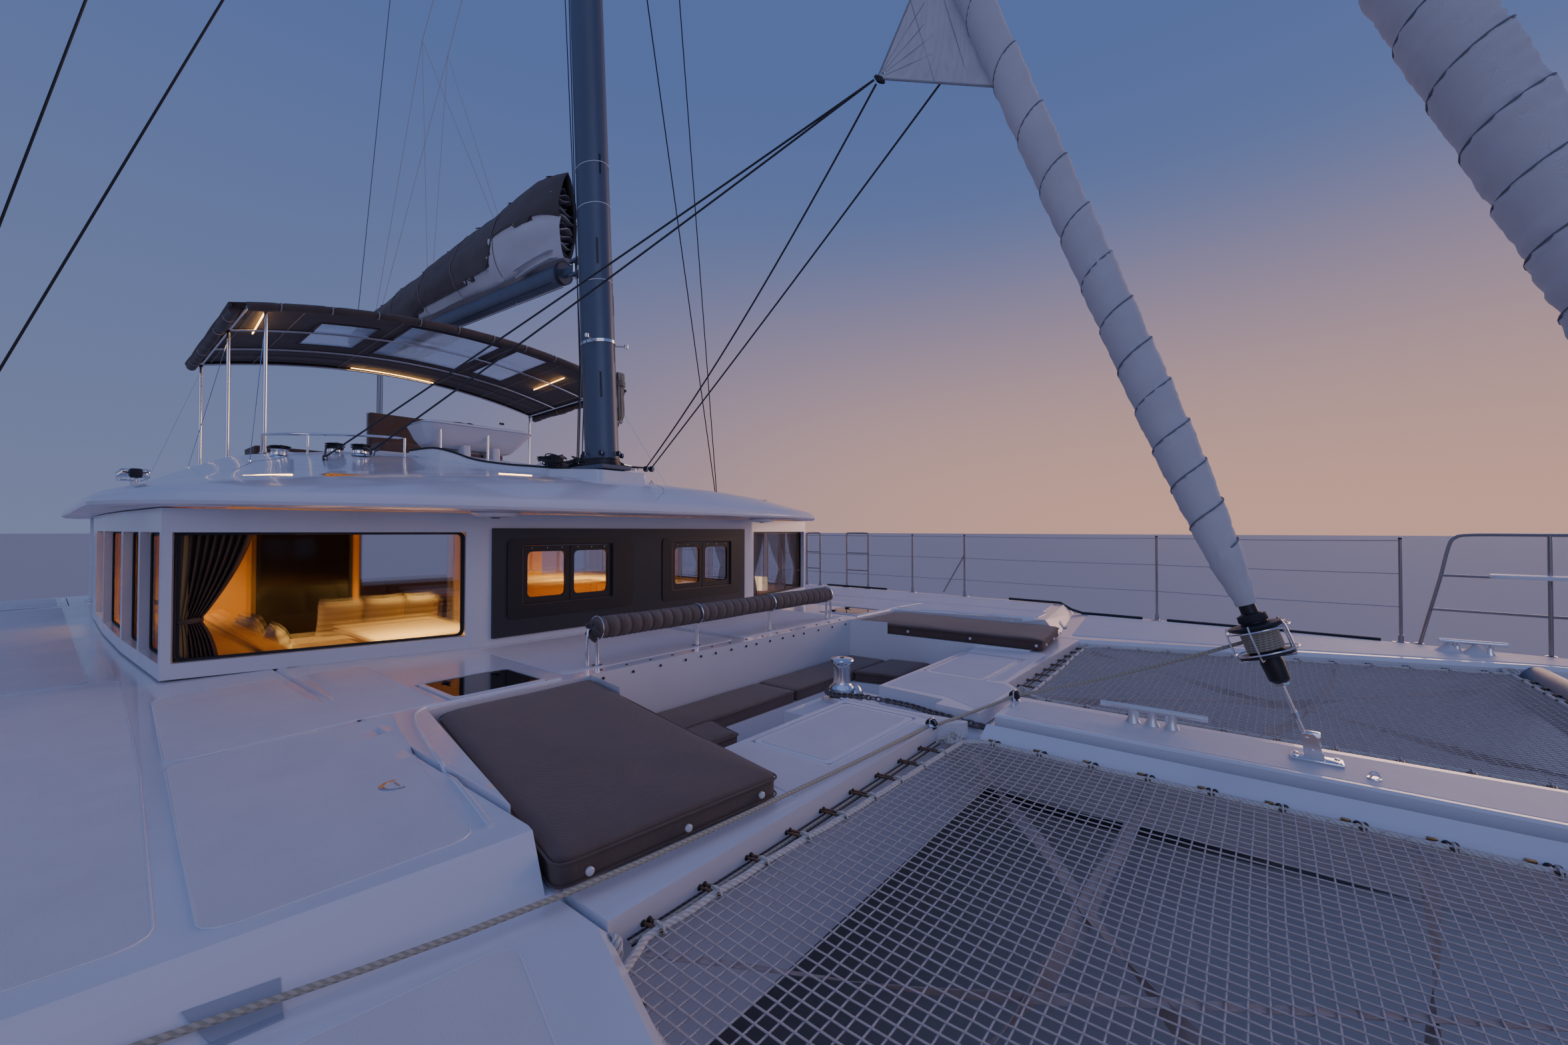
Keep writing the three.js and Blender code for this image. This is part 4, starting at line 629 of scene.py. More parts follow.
def deck_z(x, y):
    """Height of the deck at a place, over the swept step as well."""
    y = abs(y)
    if x > 2.9:
        part = min(1.0, max(0.0, (y - 2.58) / 1.93))
        x = min(x + STEP_SWEEP * part, 4.2) if x < 4.2 else x
    column = [[(row[0], row[k]) for row in DECK] for k in range(5)]
    outer_z, inner_z, outer_y, inner_y = (table(x, column[k]) for k in (1, 2, 3, 4))
    if y <= inner_y:
        return inner_z
    return inner_z + (outer_z - inner_z) * min(1.0, (y - inner_y - 0.03) / (outer_y - inner_y - 0.07))


# Non-skid panels: height above the deck, radius of their corners, size of their cells
DECK_PANEL = {"lift": 0.003, "corner": 0.06, "cell": 0.07}


def deck_trees():
    """The decks as they are shown, to lay thin panels on."""
    trees = []
    for name in ("bridge_deck", "forward_deck", "hull_port_painted", "hull_starboard_painted"):
        deck = bpy.data.objects[name]
        deck.data.calc_loop_triangles()
        points = [deck.matrix_world @ v.co for v in deck.data.vertices]
        trees.append(BVHTree.FromPolygons(points, [face.vertices[:] for face in deck.data.loop_triangles]))
    return trees


def deck_top(trees, x, y):
    """Height of the uppermost deck at a place."""
    hits = [tree.ray_cast(Vector((x, y, 2.2)), Vector((0, 0, -1)), 0.5)[0] for tree in trees]
    return max((hit.z for hit in hits if hit), default=deck_z(x, y))


def along_line(points, share):
    """A place on a line of points, by its share of the length."""
    steps = [math.dist(a, b) for a, b in zip(points, points[1:])]
    left = share * sum(steps)
    for (a, b), step in zip(zip(points, points[1:]), steps):
        if left <= step or b == points[-1]:
            part = min(1.0, left / step)
            return lerp(a, b, part)
        left -= step


def deck_panel(form, trees, side, inner, outer):
    """A thin panel of non-skid on the deck between an inner and an outer line, its corners rounded."""
    corner, cell = DECK_PANEL["corner"], DECK_PANEL["cell"]
    long = sum(math.dist(a, b) for a, b in zip(inner, inner[1:]))
    count = max(8, int(long / cell))
    shares = [0.0, 0.15 * corner / long, 0.5 * corner / long, corner / long]
    shares += [k / count for k in range(1, count) if corner / long < k / count < 1 - corner / long]
    shares += [1 - share for share in shares[3::-1]]
    rows = []
    for share in shares:
        near, far = along_line(inner, share), along_line(outer, share)
        wide = math.dist(near, far)
        into = min(corner, min(share, 1 - share) * long)
        cut = (corner - math.sqrt(max(0.0, corner ** 2 - (corner - into) ** 2))) / wide
        across = max(6, int(wide / cell))
        row = []
        for n in range(across + 1):
            part = cut + (1 - 2 * cut) * n / across
            x, y = lerp(near, far, part)
            row.append((x, side * y, deck_top(trees, x, side * y) + DECK_PANEL["lift"]))
        rows.append(row)
    wide = max(len(row) for row in rows)
    if any(len(row) != wide for row in rows):
        rows = even_rows(rows, wide)
    form.sheet(rows, "non_skid", DECK_PANEL["lift"])
    edge = rows[0] + [row[-1] for row in rows[1:-1]] + rows[-1][::-1] + [row[0] for row in rows[-2:0:-1]]
    form.tube([(x, y, z - 0.0024) for x, y, z in edge], 0.0034, "gelcoat", 6, closed=True)


def even_rows(rows, count):
    """Rows resampled to the same number of points."""
    result = []
    for row in rows:
        even = []
        for n in range(count):
            t = (len(row) - 1) * n / (count - 1)
            start = min(len(row) - 2, int(t))
            even.append(tuple(Vector(row[start]).lerp(Vector(row[start + 1]), t - start)))
        result.append(even)
    return result


# Bridge deck, centre beam and foredeck

# Panels of the deck, port side. Columns: inner line, outer line
DECK_PANELS = [
    ([(0.95, 2.20), (2.165, 2.225)], [(0.95, 3.115), (2.165, 3.180)]),
    ([(2.205, 2.45), (2.95, 2.60), (3.62, 2.70)], [(2.205, 3.182), (2.95, 3.222), (3.56, 3.252)]),
    ([(0.20, 3.185), (2.20, 3.245), (3.50, 3.315)], [(0.20, 4.52), (2.20, 4.46), (3.34, 4.36)]),
    ([(-5.10, 3.32), (0.15, 3.30)], [(-5.10, 4.54), (0.15, 4.52)]),
    ([(1.00, 0.06), (2.12, 0.06)], [(1.00, 1.52), (2.12, 1.52)]),
    ([(3.92, 2.74), (5.40, 3.15), (6.90, 3.60), (8.00, 3.72)],
     [(3.72, 4.40), (5.50, 4.30), (6.95, 4.07), (7.90, 3.91)]),
]
# Grey plate on the step, port side: its outer and its inner edge
STEP_PLATE = ([(3.682, 3.292), (3.762, 3.238)], [(3.709, 3.144), (3.772, 3.150)])
# Smooth strip over the joint of hull and bridge deck, port side, in steps across
JOINT = {"aft": 0.62, "long": 3.0, "inner": 2.515, "step": 0.0175}
# Raised lip round the bed of the sun pad, port side
PAD_LIP = [(2.205, 1.60, 0), (2.200, 2.20, 0), (2.225, 2.34, 0), (2.41, 2.425, 0), (2.935, 2.535, 0),
           (3.386, 2.612, 0), (3.60, 2.650, 0)]
# Non-skid round the locker lids
LOCKER_SURROUNDS = [
    [(3.43, -0.47), (3.84, -0.47), (4.05, -0.52), (4.10, -0.41), (3.9, -0.45), (3.43, -0.45)],
    [(3.43, -1.36), (3.43, -1.58), (3.97, -1.68), (4.0, -0.60), (3.91, -0.60), (3.91, -1.36)],
    [(3.43, 0.49), (3.43, 0.0), (3.85, -0.02), (4.11, -0.17), (4.11, 0.40), (4.02, 0.50)],
    [(3.91, 0.53), (4.0, 0.58), (3.97, 1.68), (3.43, 1.58), (3.43, 1.37), (3.91, 1.37)],
]


def finish_the_deck():
    """Decks with eased edges, and the panels, joints, plates, fillers and studs on them."""
    dressed("bridge_deck", "gelcoat", ease=0.007)
    dressed("forward_deck", "gelcoat", ease=0.007)
    dressed("centre_beam", "gelcoat", ease=0.005)
    trees = deck_trees()
    for name, side in SIDES.items():
        panels = Form()
        for inner, outer in DECK_PANELS:
            deck_panel(panels, trees, side, inner, outer)
        stations = [JOINT["aft"] + JOINT["long"] * k / 60 for k in range(61)]
        across = [side * (JOINT["inner"] + JOINT["step"] * n) for n in range(5)]
        panels.sheet([[(x, y, deck_top(trees, x, y) + 0.0008) for y in across] for x in stations], "gelcoat",
                     0.0016)
        lip = spaced(curve(PAD_LIP, 4), 0.05)
        panels.tube([(x, side * y, deck_top(trees, x, side * y) + 0.001) for x, y, _ in lip], 0.0085,
                    "gelcoat", 8)
        panels.piece(f"deck_panels_{name}", weighted=False)
        plate = Form()
        edges = [[along_line(edge, n / 6) for n in range(7)] for edge in STEP_PLATE]
        grid = [[lerp(a, b, k / 8) for a, b in zip(*edges)] for k in range(9)]
        plate.sheet([[(x, side * y, deck_top(trees, x, side * y) + 0.004) for x, y in row] for row in grid],
                    "grey_plate", 0.004)
        plate.piece(f"step_plate_{name}", weighted=False)
        trim = Form()
        trim.standing([(0, 0), (0.052, 0), (0.056, 0.003), (0.05, 0.006), (0.036, 0.006), (0.034, 0.003),
                       (0, 0.003)], (3.07, side * 2.715, 2.094), "steel", 28)
        trim.box((3.045, 3.095), (side * 2.715 - 0.004, side * 2.715 + 0.004), (2.098, 2.101), "steel", 0.001)
        trim.piece(f"deck_filler_{name}")
        studs = Form()
        for y in (0.06, 0.225, 0.39, 0.535, 0.68, 0.90, 1.12, 1.34):
            studs.lathe([(0, 0), (0.009, 0), (0.009, 0.004), (0.005, 0.007), (0, 0.007)],
                        (2.2415, side * y, 2.063), (3, side * y, 2.063), "black", 10)
        studs.piece(f"well_studs_{name}")
    beam = Form()
    beam.plate(rounded([(4.25, -0.19), (6.80, -0.19), (6.80, 0.19), (4.25, 0.14)], 0.04), 1.95, 1.9616,
               "non_skid", 0.001, 1)
    beam.piece("beam_panel")


def locker_tops():
    """Lids of the lockers with their sunk rims, and the non-skid round them."""
    for name in SIDES:
        node = f"locker_lid_{name}"
        low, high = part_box(node)
        x, y = (low[0], high[0]), (low[1], high[1])
        form = Form()
        form.plate(rounded(rectangle(x, y), 0.045), low[2] + 0.002, high[2] - 0.001, "gelcoat", 0.004)
        form.plate(rounded(rectangle(x, y, 0.03), 0.03), high[2] - 0.004, high[2] + 0.001, "non_skid", 0.001,
                   1)
        form.piece(f"{node}_top", node, node)
    surrounds = Form()
    for outline in LOCKER_SURROUNDS:
        surrounds.plate(rounded(outline, 0.02), 1.945, 1.9516, "non_skid", 0.001, 1)
    surrounds.piece("locker_surrounds")


def hatches():
    """Lids of the deck hatches with their panes, and the floor seen below them."""
    for name, side in SIDES.items():
        node = f"deck_hatch_{name}"
        low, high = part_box(node)
        x, y = (low[0], high[0]), (low[1], high[1])
        form = Form()
        frame_line = rounded(rectangle(x, y), 0.05, 5)
        inner = rounded(rectangle(x, y, 0.022), 0.035, 5)
        rings = [
            [(px, py, low[2] + 0.002) for px, py in frame_line],
            [(px, py, high[2] - 0.004) for px, py in frame_line],
            [(px, py, high[2]) for px, py in inner],
            [(px, py, high[2] - 0.010) for px, py in inner],
            [(px, py, low[2] + 0.002) for px, py in inner],
        ]
        form.rings(rings, "gelcoat", closed=True)
        pane = rounded(rectangle(x, y, 0.023), 0.034, 5)
        form.plate(pane, high[2] - 0.016, high[2] - 0.005, "tinted_glass", 0.001, 1)
        for px, py in ((x[0] + 0.09, y[0] + 0.12), (x[0] + 0.09, y[1] - 0.12)):
            form.standing([(0, 0), (0.022, 0), (0.024, 0.006), (0.016, 0.012), (0, 0.013)],
                          (px, py, high[2] - 0.006), "black", 16)
            form.box((px - 0.006, px + 0.05), (py - 0.007, py + 0.007), (high[2] + 0.003, high[2] + 0.008),
                     "black", 0.002)
        form.piece(f"{node}_lid", node, node)
        shaft = Form()
        shaft.box((1.76, 2.13), (side * 1.71, side * 2.12), (1.502, 1.51), "wood", 0.002)
        shaft.box((1.82, 1.90), (side * 1.78, side * 1.86), (1.51, 1.53), "cream", 0.004)
        shaft.piece(f"hatch_floor_{name}")


# Cushions

# Pressure that puffs a cushion, and how much higher its middle is than its edge, in metres
SWELL = 2.2
CROWN = 0.008


def swell(piece, force, cap):
    """Puffs a closed cushion with pressure under cloth, held within a cap of its own shape."""
    base = [v.co.copy() for v in piece.data.vertices]
    cloth = piece.modifiers.new("cloth", "CLOTH")
    settings = cloth.settings
    settings.quality = 5
    settings.use_pressure = True
    settings.uniform_pressure_force = force
    settings.tension_stiffness = settings.compression_stiffness = 30
    settings.shear_stiffness = 18
    settings.effector_weights.gravity = 0
    for step in range(1, 16):
        bpy.context.scene.frame_set(step)
    graph = bpy.context.evaluated_depsgraph_get()
    puffed = bpy.data.meshes.new_from_object(piece.evaluated_get(graph))
    piece.modifiers.clear()
    for vertex, start, end in zip(piece.data.vertices, base, [v.co.copy() for v in puffed.vertices]):
        move = end - start
        if move.length > cap:
            move *= cap / move.length
        vertex.co = start + move
    bpy.data.meshes.remove(puffed)
    bpy.context.scene.frame_set(1)


def cushion_form(outline, low, high, look, round_edge=0.022, cell=0.035, seed=0):
    """A block cushion with fine cells: flat under, crowned on top, its sides a little hollow."""
    level = [h if callable(h) else (lambda x, y, h=h: h) for h in (low, high)]
    line = spaced(list(outline) + [outline[0]], cell)[:-1]
    middle = Vector((sum(p[0] for p in line), sum(p[1] for p in line))) / len(line)
    form = Form()

    def ring(share, height, pull=0.0):
        result = []
        for x, y in line:
            spoke = Vector((x, y)) - middle
            at = middle + spoke * share - spoke.normalized() * pull
            z0, z1 = level[0](at.x, at.y), level[1](at.x, at.y)
            result.append((at.x, at.y, z0 + (z1 - z0) * height if height <= 1 else z1 + height - 1))
        return result

    inner = [k / 9 for k in range(9)]
    thick = level[1](*middle) - level[0](*middle)
    rings = [ring(max(share, 0.02), 0.0) for share in inner]
    rings += [ring(1, 0.0, round_edge * 0.4), ring(1, round_edge * 0.5 / thick, 0.001)]
    rings += [ring(1, part, 0.003 * math.sin(math.pi * part)) for part in (0.35, 0.5, 0.65)]
    rings += [ring(1, 1 - round_edge / thick), ring(1, 1 - round_edge * 0.3 / thick, round_edge * 0.3),
              ring(1, 1.0, round_edge)]
    rings += [ring(max(share, 0.02), 1 + CROWN * (1 - share ** 2)) for share in inner[::-1]]
    form.rings(rings, look)
    for i, (x, y, z) in enumerate(form.points):
        drift = noise.noise(Vector((x * 3.1, y * 3.1, seed + z * 2))) * 0.004
        drift += noise.noise(Vector((x * 11, y * 6, seed + 5))) * 0.0015
        upper = z > level[0](x, y) + thick * 0.4
        form.points[i] = (x, y, z + (drift if upper else 0))
    return form


def piping(outline, height, radius, look, form):
    """A cord sewn along a cushion's edge."""
    level = height if callable(height) else (lambda x, y: height)
    form.tube([(x, y, level(x, y)) for x, y in outline], radius, look, 6, closed=True)


def sun_pads():
    """Both sun pads with their piping and studs."""
    outline = [(2.275, 1.452), (2.275, 2.298), (3.848, 2.592), (3.936, 1.735)]

    def top(x, _):
        return 2.088 - 0.025 * (x - 2.262)

    for name, side in SIDES.items():
        line = rounded([(x, side * y) for x, y in outline], [0.03, 0.16, 0.05, 0.04], 6)
        form = cushion_form(line, lambda x, y: top(x, y) - 0.084, top, "cushion", 0.020, seed=side * 3)
        pad = form.piece(f"sun_pad_{name}_cushion", replaces=f"sun_pad_{name}", weighted=False, angle=60)
        swell(pad, SWELL, cap=0.006)
        trim = Form()
        piping(line, lambda x, y: top(x, y) - 0.012, 0.004, "cushion", trim)
        piping(line, lambda x, y: top(x, y) - 0.074, 0.003, "cushion", trim)
        trim.piece(f"sun_pad_{name}_piping", weighted=False)
        studs = Form()
        # Columns: x, y, direction outward
        for x, y, out in ((3.872, 2.50, (1, 0.1)), (3.93, 1.83, (1, 0.1)), (2.32, 1.447, (0, -1)),
                          (2.80, 1.535, (0, -1)), (3.35, 1.63, (0, -1)), (3.88, 1.722, (0, -1)),
                          (3.905, 2.16, (1, 0.1))):
            at = Vector((x, side * y, top(x, y) - 0.048))
            away = Vector((out[0], side * out[1], 0)).normalized()
            studs.lathe([(0, -0.004), (0.012, -0.004), (0.0125, 0.004), (0.009, 0.008), (0, 0.009)],
                        at, at + away, "pale_cap", 14)
        studs.piece(f"sun_pad_{name}_studs", weighted=False)


def cockpit_cushions():
    """Aft seat in two halves and a side seat each way, as one replaced solid."""
    low, high = 1.6853, 1.768
    outlines = {
        "aft_starboard": [(2.262, -1.40), (2.262, 0.045), (2.64, 0.045), (2.64, -0.80), (2.64, -1.40)],
        "aft_port": [(2.262, 0.055), (2.262, 1.40), (2.64, 1.40), (2.64, 0.80), (2.64, 0.055)],
        "side_starboard": [(2.652, -0.825), (2.652, -1.47), (2.95, -1.52), (2.95, -0.895)],
        "side_port": [(2.652, 0.825), (2.652, 1.47), (3.03, 1.535), (3.03, 0.905)],
    }
    trim = Form()
    for i, (name, outline) in enumerate(outlines.items()):
        line = rounded(outline, 0.03, 3)
        form = cushion_form(line, low, high, "cushion", 0.018, seed=11 + i)
        seat = form.piece(f"cockpit_cushion_{name}", replaces="forward_cushions", weighted=False, angle=60)
        swell(seat, SWELL, cap=0.005)
        piping(line, high - 0.010, 0.0035, "cushion", trim)
    trim.piece("cockpit_cushion_piping", weighted=False)


# Nets

NET = {"cell": 0.040, "cord": 0.0028, "z": 1.888, "rope": 0.0125, "outline": [
    (4.240, 0.500), (4.165, 0.560), (4.150, 0.950), (4.130, 1.610), (4.106, 1.905), (4.092, 2.480),
    (4.150, 2.600), (5.480, 2.965), (6.800, 3.400), (6.800, 0.500)]}


def inside(outline, x, y):
    """Whether a place lies within an outline."""
    hit = False
    for (x0, y0), (x1, y1) in zip(outline, outline[1:] + outline[:1]):
        if (y0 > y) != (y1 > y) and x < (x1 - x0) * (y - y0) / (y1 - y0) + x0:
            hit = not hit
    return hit


def edge_reach(outline, x, y):
    """Distance to the outline."""
    best = 9.0
    p = Vector((x, y))
    for a, b in zip(outline, outline[1:] + outline[:1]):
        a, b = Vector(a), Vector(b)
        run = b - a
        t = min(1.0, max(0.0, (p - a).dot(run) / run.length_squared))
        best = min(best, (a + run * t - p).length)
    return best


def net_point(x, y, side, seed):
    """Where a crossing of the net lies: it sags in the middle and wanders a little."""
    wander = 0.014 * noise.noise(Vector((x * 1.1, y * 1.1, seed)))
    wander_y = 0.014 * noise.noise(Vector((x * 1.1, y * 1.1, seed + 9)))
    slack = 0.0022 * noise.noise(Vector((x * 21, y * 21, seed)))
    reach = min(1.0, edge_reach(NET["outline"], x, y) / 1.3)
    drop = 0.030 * (1 - (1 - reach) ** 2)
    return (x + (wander + slack) * min(1, reach * 3), side * (y + (wander_y - slack) * min(1, reach * 3)),
            NET["z"] - drop)


def net_cords(side, seed):
    """Cords both ways, the ones across the boat lying on those along it."""
    form = Form()
    outline, cell = NET["outline"], NET["cell"]

    def flush(path, lift):
        if len(path) < 2:
            return
        ends = []
        for (x0, y0), (x1, y1) in ((path[1], path[0]), (path[-2], path[-1])):
            t = 1.0
            while t < 2.2 and inside(outline, x0 + (x1 - x0) * t, y0 + (y1 - y0) * t):
                t += 0.1
            ends.append((x0 + (x1 - x0) * t, y0 + (y1 - y0) * t))
        line = [Vector(net_point(x, y, side, seed)) + Vector((0, 0, lift))
                for x, y in [ends[0]] + path + [ends[1]]]
        form.tube(line, NET["cord"], "netting", 5, caps=False)

    def run(samples, lift):
        path = []
        for x, y in samples:
            if inside(outline, x, y):
                path.append((x, y))
            else:
                flush(path, lift)
                path = []
        flush(path, lift)

    for k in range(1, 68):
        run([(4.08 + k * cell, 0.44 + n * cell) for n in range(76)], 0.0)
    for k in range(73):
        run([(4.00 + n * cell, 0.53 + k * cell) for n in range(72)], 0.0030)
    return form


def net_border(outline, hooks):
    """The bolt rope's line, drawn out a little to each hook."""
    line = spaced([(x, y) for x, y in outline] + [outline[0]], 0.03)[:-1]
    result = []
    for x, y in line:
        towards = min(hooks, key=lambda hook: math.dist((x, y), hook))
        pull = 0.012 * max(0.0, 1 - math.dist((x, y), towards) / 0.14)
        step = Vector((towards[0] - x, towards[1] - y))
        if step.length > 1e-6:
            step = step.normalized() * min(pull, step.length)
        result.append((x + step.x, y + step.y))
    return result


def edge_hooks():
    """Hooks from the rope to the rim, port side. Columns: place on the rope, place on the rim"""
    aft = [(-y, x) for x, y in NET["outline"][1:7]][::-1]
    hooks = [((table(-y, aft), y), (4.026, y)) for y in (0.76 + 0.2085 * k for k in range(9))]
    hooks += [((4.30 + 0.221 * k, 0.500), (4.30 + 0.221 * k, 0.448)) for k in range(12)]
    for a, b, rim_a, rim_b in (((4.15, 2.60), (5.48, 2.965), (4.12, 2.665), (5.46, 3.030)),
                               ((5.48, 2.965), (6.80, 3.40), (5.46, 3.030), (6.78, 3.465))):
        count = round(math.dist(a, b) / 0.215)
        hooks += [(lerp(a, b, (k + 0.5) / count), lerp(rim_a, rim_b, (k + 0.5) / count))
                  for k in range(count)]
    hooks += [((6.80, 0.62 + 0.21 * k), (6.852, 0.62 + 0.21 * k)) for k in range(13)]
    return hooks


def rig_the_nets():
    """Nets with their bolt rope, hooks and lacing lines."""
    hooks = edge_hooks()
    z = NET["z"] + 0.002
    for name, side in SIDES.items():
        seed = 3 + side
        net_cords(side, seed).piece(f"net_{name}_mesh", replaces=f"net_{name}", weighted=False, even=False,
                                    angle=80)
        border = net_border(NET["outline"], [rim for _, rim in hooks])
        rope = Form()
        line = [(x, side * y, z) for x, y in border]
        rope.tube(line, NET["rope"], "pale_rope", 8, closed=True)
        wrap = []
        for k, (x, y, h) in enumerate(spaced(line + [line[0]], 0.012)):
            turn = k * 1.15
            wrap.append((x + 0.005 * math.cos(turn), y + 0.013 * math.cos(turn), h + 0.013 * math.sin(turn)))
        rope.tube(wrap, 0.0034, "netting", 4, caps=False)
        for (x, y), (rim_x, rim_y) in hooks:
            out = Vector((rim_x - x, side * (rim_y - y), 0)).normalized()
            for k in range(3):
                at = Vector((x, side * y, z)) + out * (0.002 + 0.006 * k)
                rope.tube(coil(at, 0.018, 1, 0.004, "y" if abs(out.x) > abs(out.y) else "x", 8), 0.0036,
                          "pale_rope", 5)
        rope.piece(f"net_{name}_rope", weighted=False, even=False)
        metal = Form()
        for (x, y), (rim_x, rim_y) in hooks:
            rim, inner = Vector((rim_x, side * rim_y, z - 0.002)), Vector((x, side * y, z + 0.004))
            out = (rim - inner).normalized()
            along = Vector((-out.y, out.x, 0)).normalized()
            for way in (-1, 1):
                start, end = rim + along * (0.010 * way), inner + along * (0.010 * way)
                metal.tube([start, start * 0.5 + end * 0.5 + Vector((0, 0, 0.003)), end], 0.0048,
                           "hook_steel_painted_sunset", 6)
                metal.lathe([(0, -0.012), (0.008, -0.009), (0.0115, 0), (0.008, 0.009), (0, 0.012)],
                            start, start + out, "black", 10)
            metal.tube([inner + along * 0.010, inner - out * 0.012, inner - along * 0.010], 0.0048,
                       "hook_steel_painted_sunset", 6)
        # Lacing lines in the gaps. Columns: start, end
        for start, end in (((4.050, 0.62), (4.046, 2.50)), ((4.26, 0.466), (6.80, 0.466)),
                           ((6.828, 0.56), (6.828, 3.3)), ((4.17, 2.640), (5.48, 3.000)),
                           ((5.48, 3.000), (6.78, 3.435))):
            for shift, look in ((0.0, "dark_rope"), (0.016, "rope"), (0.028, "dark_rope")):
                a, b = [(x + shift, side * (y + shift * 0.3), z - 0.006) for x, y in (start, end)]
                metal.tube(sagged(a, b, 0.002, 10), 0.0036, look, 5)
        metal.piece(f"net_{name}_hooks", weighted=False)
    straps_on_the_nets()
    corner_knots()


# Webbing under the nets. Columns: side, half width, half turns at its start, length of a half turn, points
STRAPS = [
    (-1, 0.027, 0.10, 1.05, [(4.25, 0.62), (4.34, 0.762), (4.741, 1.253), (4.959, 1.562), (5.095, 1.72),
                             (5.8, 2.55), (6.3, 3.15)]),
    (-1, 0.027, 0.55, 1.50, [(4.943, 0.52), (4.973, 1.03), (4.953, 1.39), (4.946, 1.618), (4.916, 1.90),
                             (4.87, 2.25), (4.82, 2.70)]),
    (-1, 0.025, 0.20, 2.60, [(5.771, 0.52), (5.701, 1.136), (5.645, 1.471), (5.60, 1.9), (5.5, 2.9)]),
    (-1, 0.012, 0.0, 1.70, [(4.12, 2.50), (4.485, 2.27), (4.786, 2.077), (5.187, 1.80), (5.608, 1.515),
                            (6.2, 1.12), (6.76, 0.75)]),
    (1, 0.026, 0.30, 1.40, [(4.22, 0.57), (4.95, 1.2), (5.6, 1.75), (6.3, 2.5), (6.72, 3.1)]),
    (1, 0.026, 0.10, 1.60, [(5.35, 0.54), (5.55, 1.4), (5.75, 2.4), (5.8, 3.0)]),
    (1, 0.020, 0.0, 1.30, [(6.7, 0.58), (5.9, 1.2), (4.9, 1.9), (4.14, 2.48)]),
]


def straps_on_the_nets():
    """Bands of webbing that turn over as they run along under the nets."""
    for name, side in SIDES.items():
        form = Form()
        for way, half, first, each, points in STRAPS:
            if way != side:
                continue
            path = spaced(curve([(x, y, 0) for x, y in points], 4), 0.03)
            rows = []
            for k, (x, y, _) in enumerate(path):
                x0, y0, _ = path[max(0, k - 1)]
                x1, y1, _ = path[min(len(path) - 1, k + 1)]
                across = Vector((y0 - y1, x1 - x0)).normalized()
                turns = first + k * 0.03 / each
                turn = math.pi * turns - 0.42 * math.sin(2 * math.pi * turns)
                flat, up = half * math.cos(turn), half * math.sin(turn)
                ripple = 0.0016 * math.sin(k * 1.1 + half * 90)
                row = []
                for part in (-1, -0.5, 0, 0.5, 1):
                    at = net_point(x + across.x * flat * part, y + across.y * flat * part, side, 3 + side)
                    row.append((at[0], at[1], at[2] - 0.005 - abs(up) + up * part - abs(ripple)))
                rows.append(row)
            form.sheet(rows, "webbing", 0.002)
        form.piece(f"net_{name}_straps", weighted=False, angle=60)


def corner_knots():
    """Loose turns and tails of line at the corners of the nets."""
    for name, side in SIDES.items():
        form = Form()
        for x, y, seed in ((4.055, 2.57, 1), (4.12, 0.56, 4), (6.80, 3.42, 7)):
            random.seed(seed)
            at = Vector((x, side * y, NET["z"] + 0.012))
            for k in range(7):
                tilt = random.uniform(-0.7, 0.7)
                ring = []
                size = random.uniform(0.022, 0.046)
                for step in range(17):
                    turn = 2 * math.pi * step / 16
                    ring.append(at + Vector((math.cos(turn) * size, math.sin(turn) * size * 0.7,
                                             math.sin(turn + tilt) * 0.018 + (k - 3) * 0.004)))
                form.tube(ring, 0.0058, "pale_rope", 6, caps=False)
            for k in range(2):
                tail = [at, at + Vector((-0.05 - 0.02 * k, side * 0.03 * (k - 0.4), -0.012)),
                        at + Vector((-0.07, side * (0.09 * (k - 0.5)), -0.035))]
                form.tube(curve(tail, 5), 0.005, "pale_rope", 6)
        form.piece(f"net_{name}_knots", weighted=False)


# Roof, from the same rings as the solid but finely rounded

EAVE = [
    (1.33, 0), (1.30, 0.9), (1.19, 1.8), (0.96, 2.5), (0.76, 2.9),
    (0.56, 3.12), (0.15, 3.28), (-0.5, 3.32), (-3.2, 3.32), (-6.0, 3.32), (-6.3, 3.14),
]
ROOF = {"front": 1.33, "aft": -6.3, "half": 3.32, "rise_from": 0.0, "rise_to": -2.7, "crown_half": 2.6}
# Columns: inset from the eave, height at the side, extra height at the aft end, crown on the centreline
ROOF_RINGS = [
    (0.08, 3.085, 0, 0), (0.03, 3.087, 0, 0), (0.004, 3.10, 0, 0), (0.0, 3.12, 0, 0),
    (0.015, 3.155, 0.005, 0.002), (0.06, 3.19, 0.02, 0.01), (0.20, 3.237, 0.046, 0.033),
    (0.42, 3.29, 0.09, 0.07), (0.70, 3.333, 0.205, 0.079), (1.0, 3.37, 0.30, 0.08),
    (1.35, 3.397, 0.337, 0.076), (1.7, 3.42, 0.36, 0.07), (2.2, 3.435, 0.365, 0.06),
    (2.8, 3.445, 0.365, 0.05), (3.25, 3.45, 0.365, 0.045),
]


def roof_outline():
    """The eave as a smooth closed line, port side first."""
    port = curve([(x, y, 0) for x, y in EAVE], 6)
    port = [(x, y) for x, y, _ in port]
    end = port[-1]
    across = [(end[0], end[1] * (1 - 2 * k / 12)) for k in range(1, 12)]
    return port + across + [(x, -y) for x, y in port[:0:-1]]


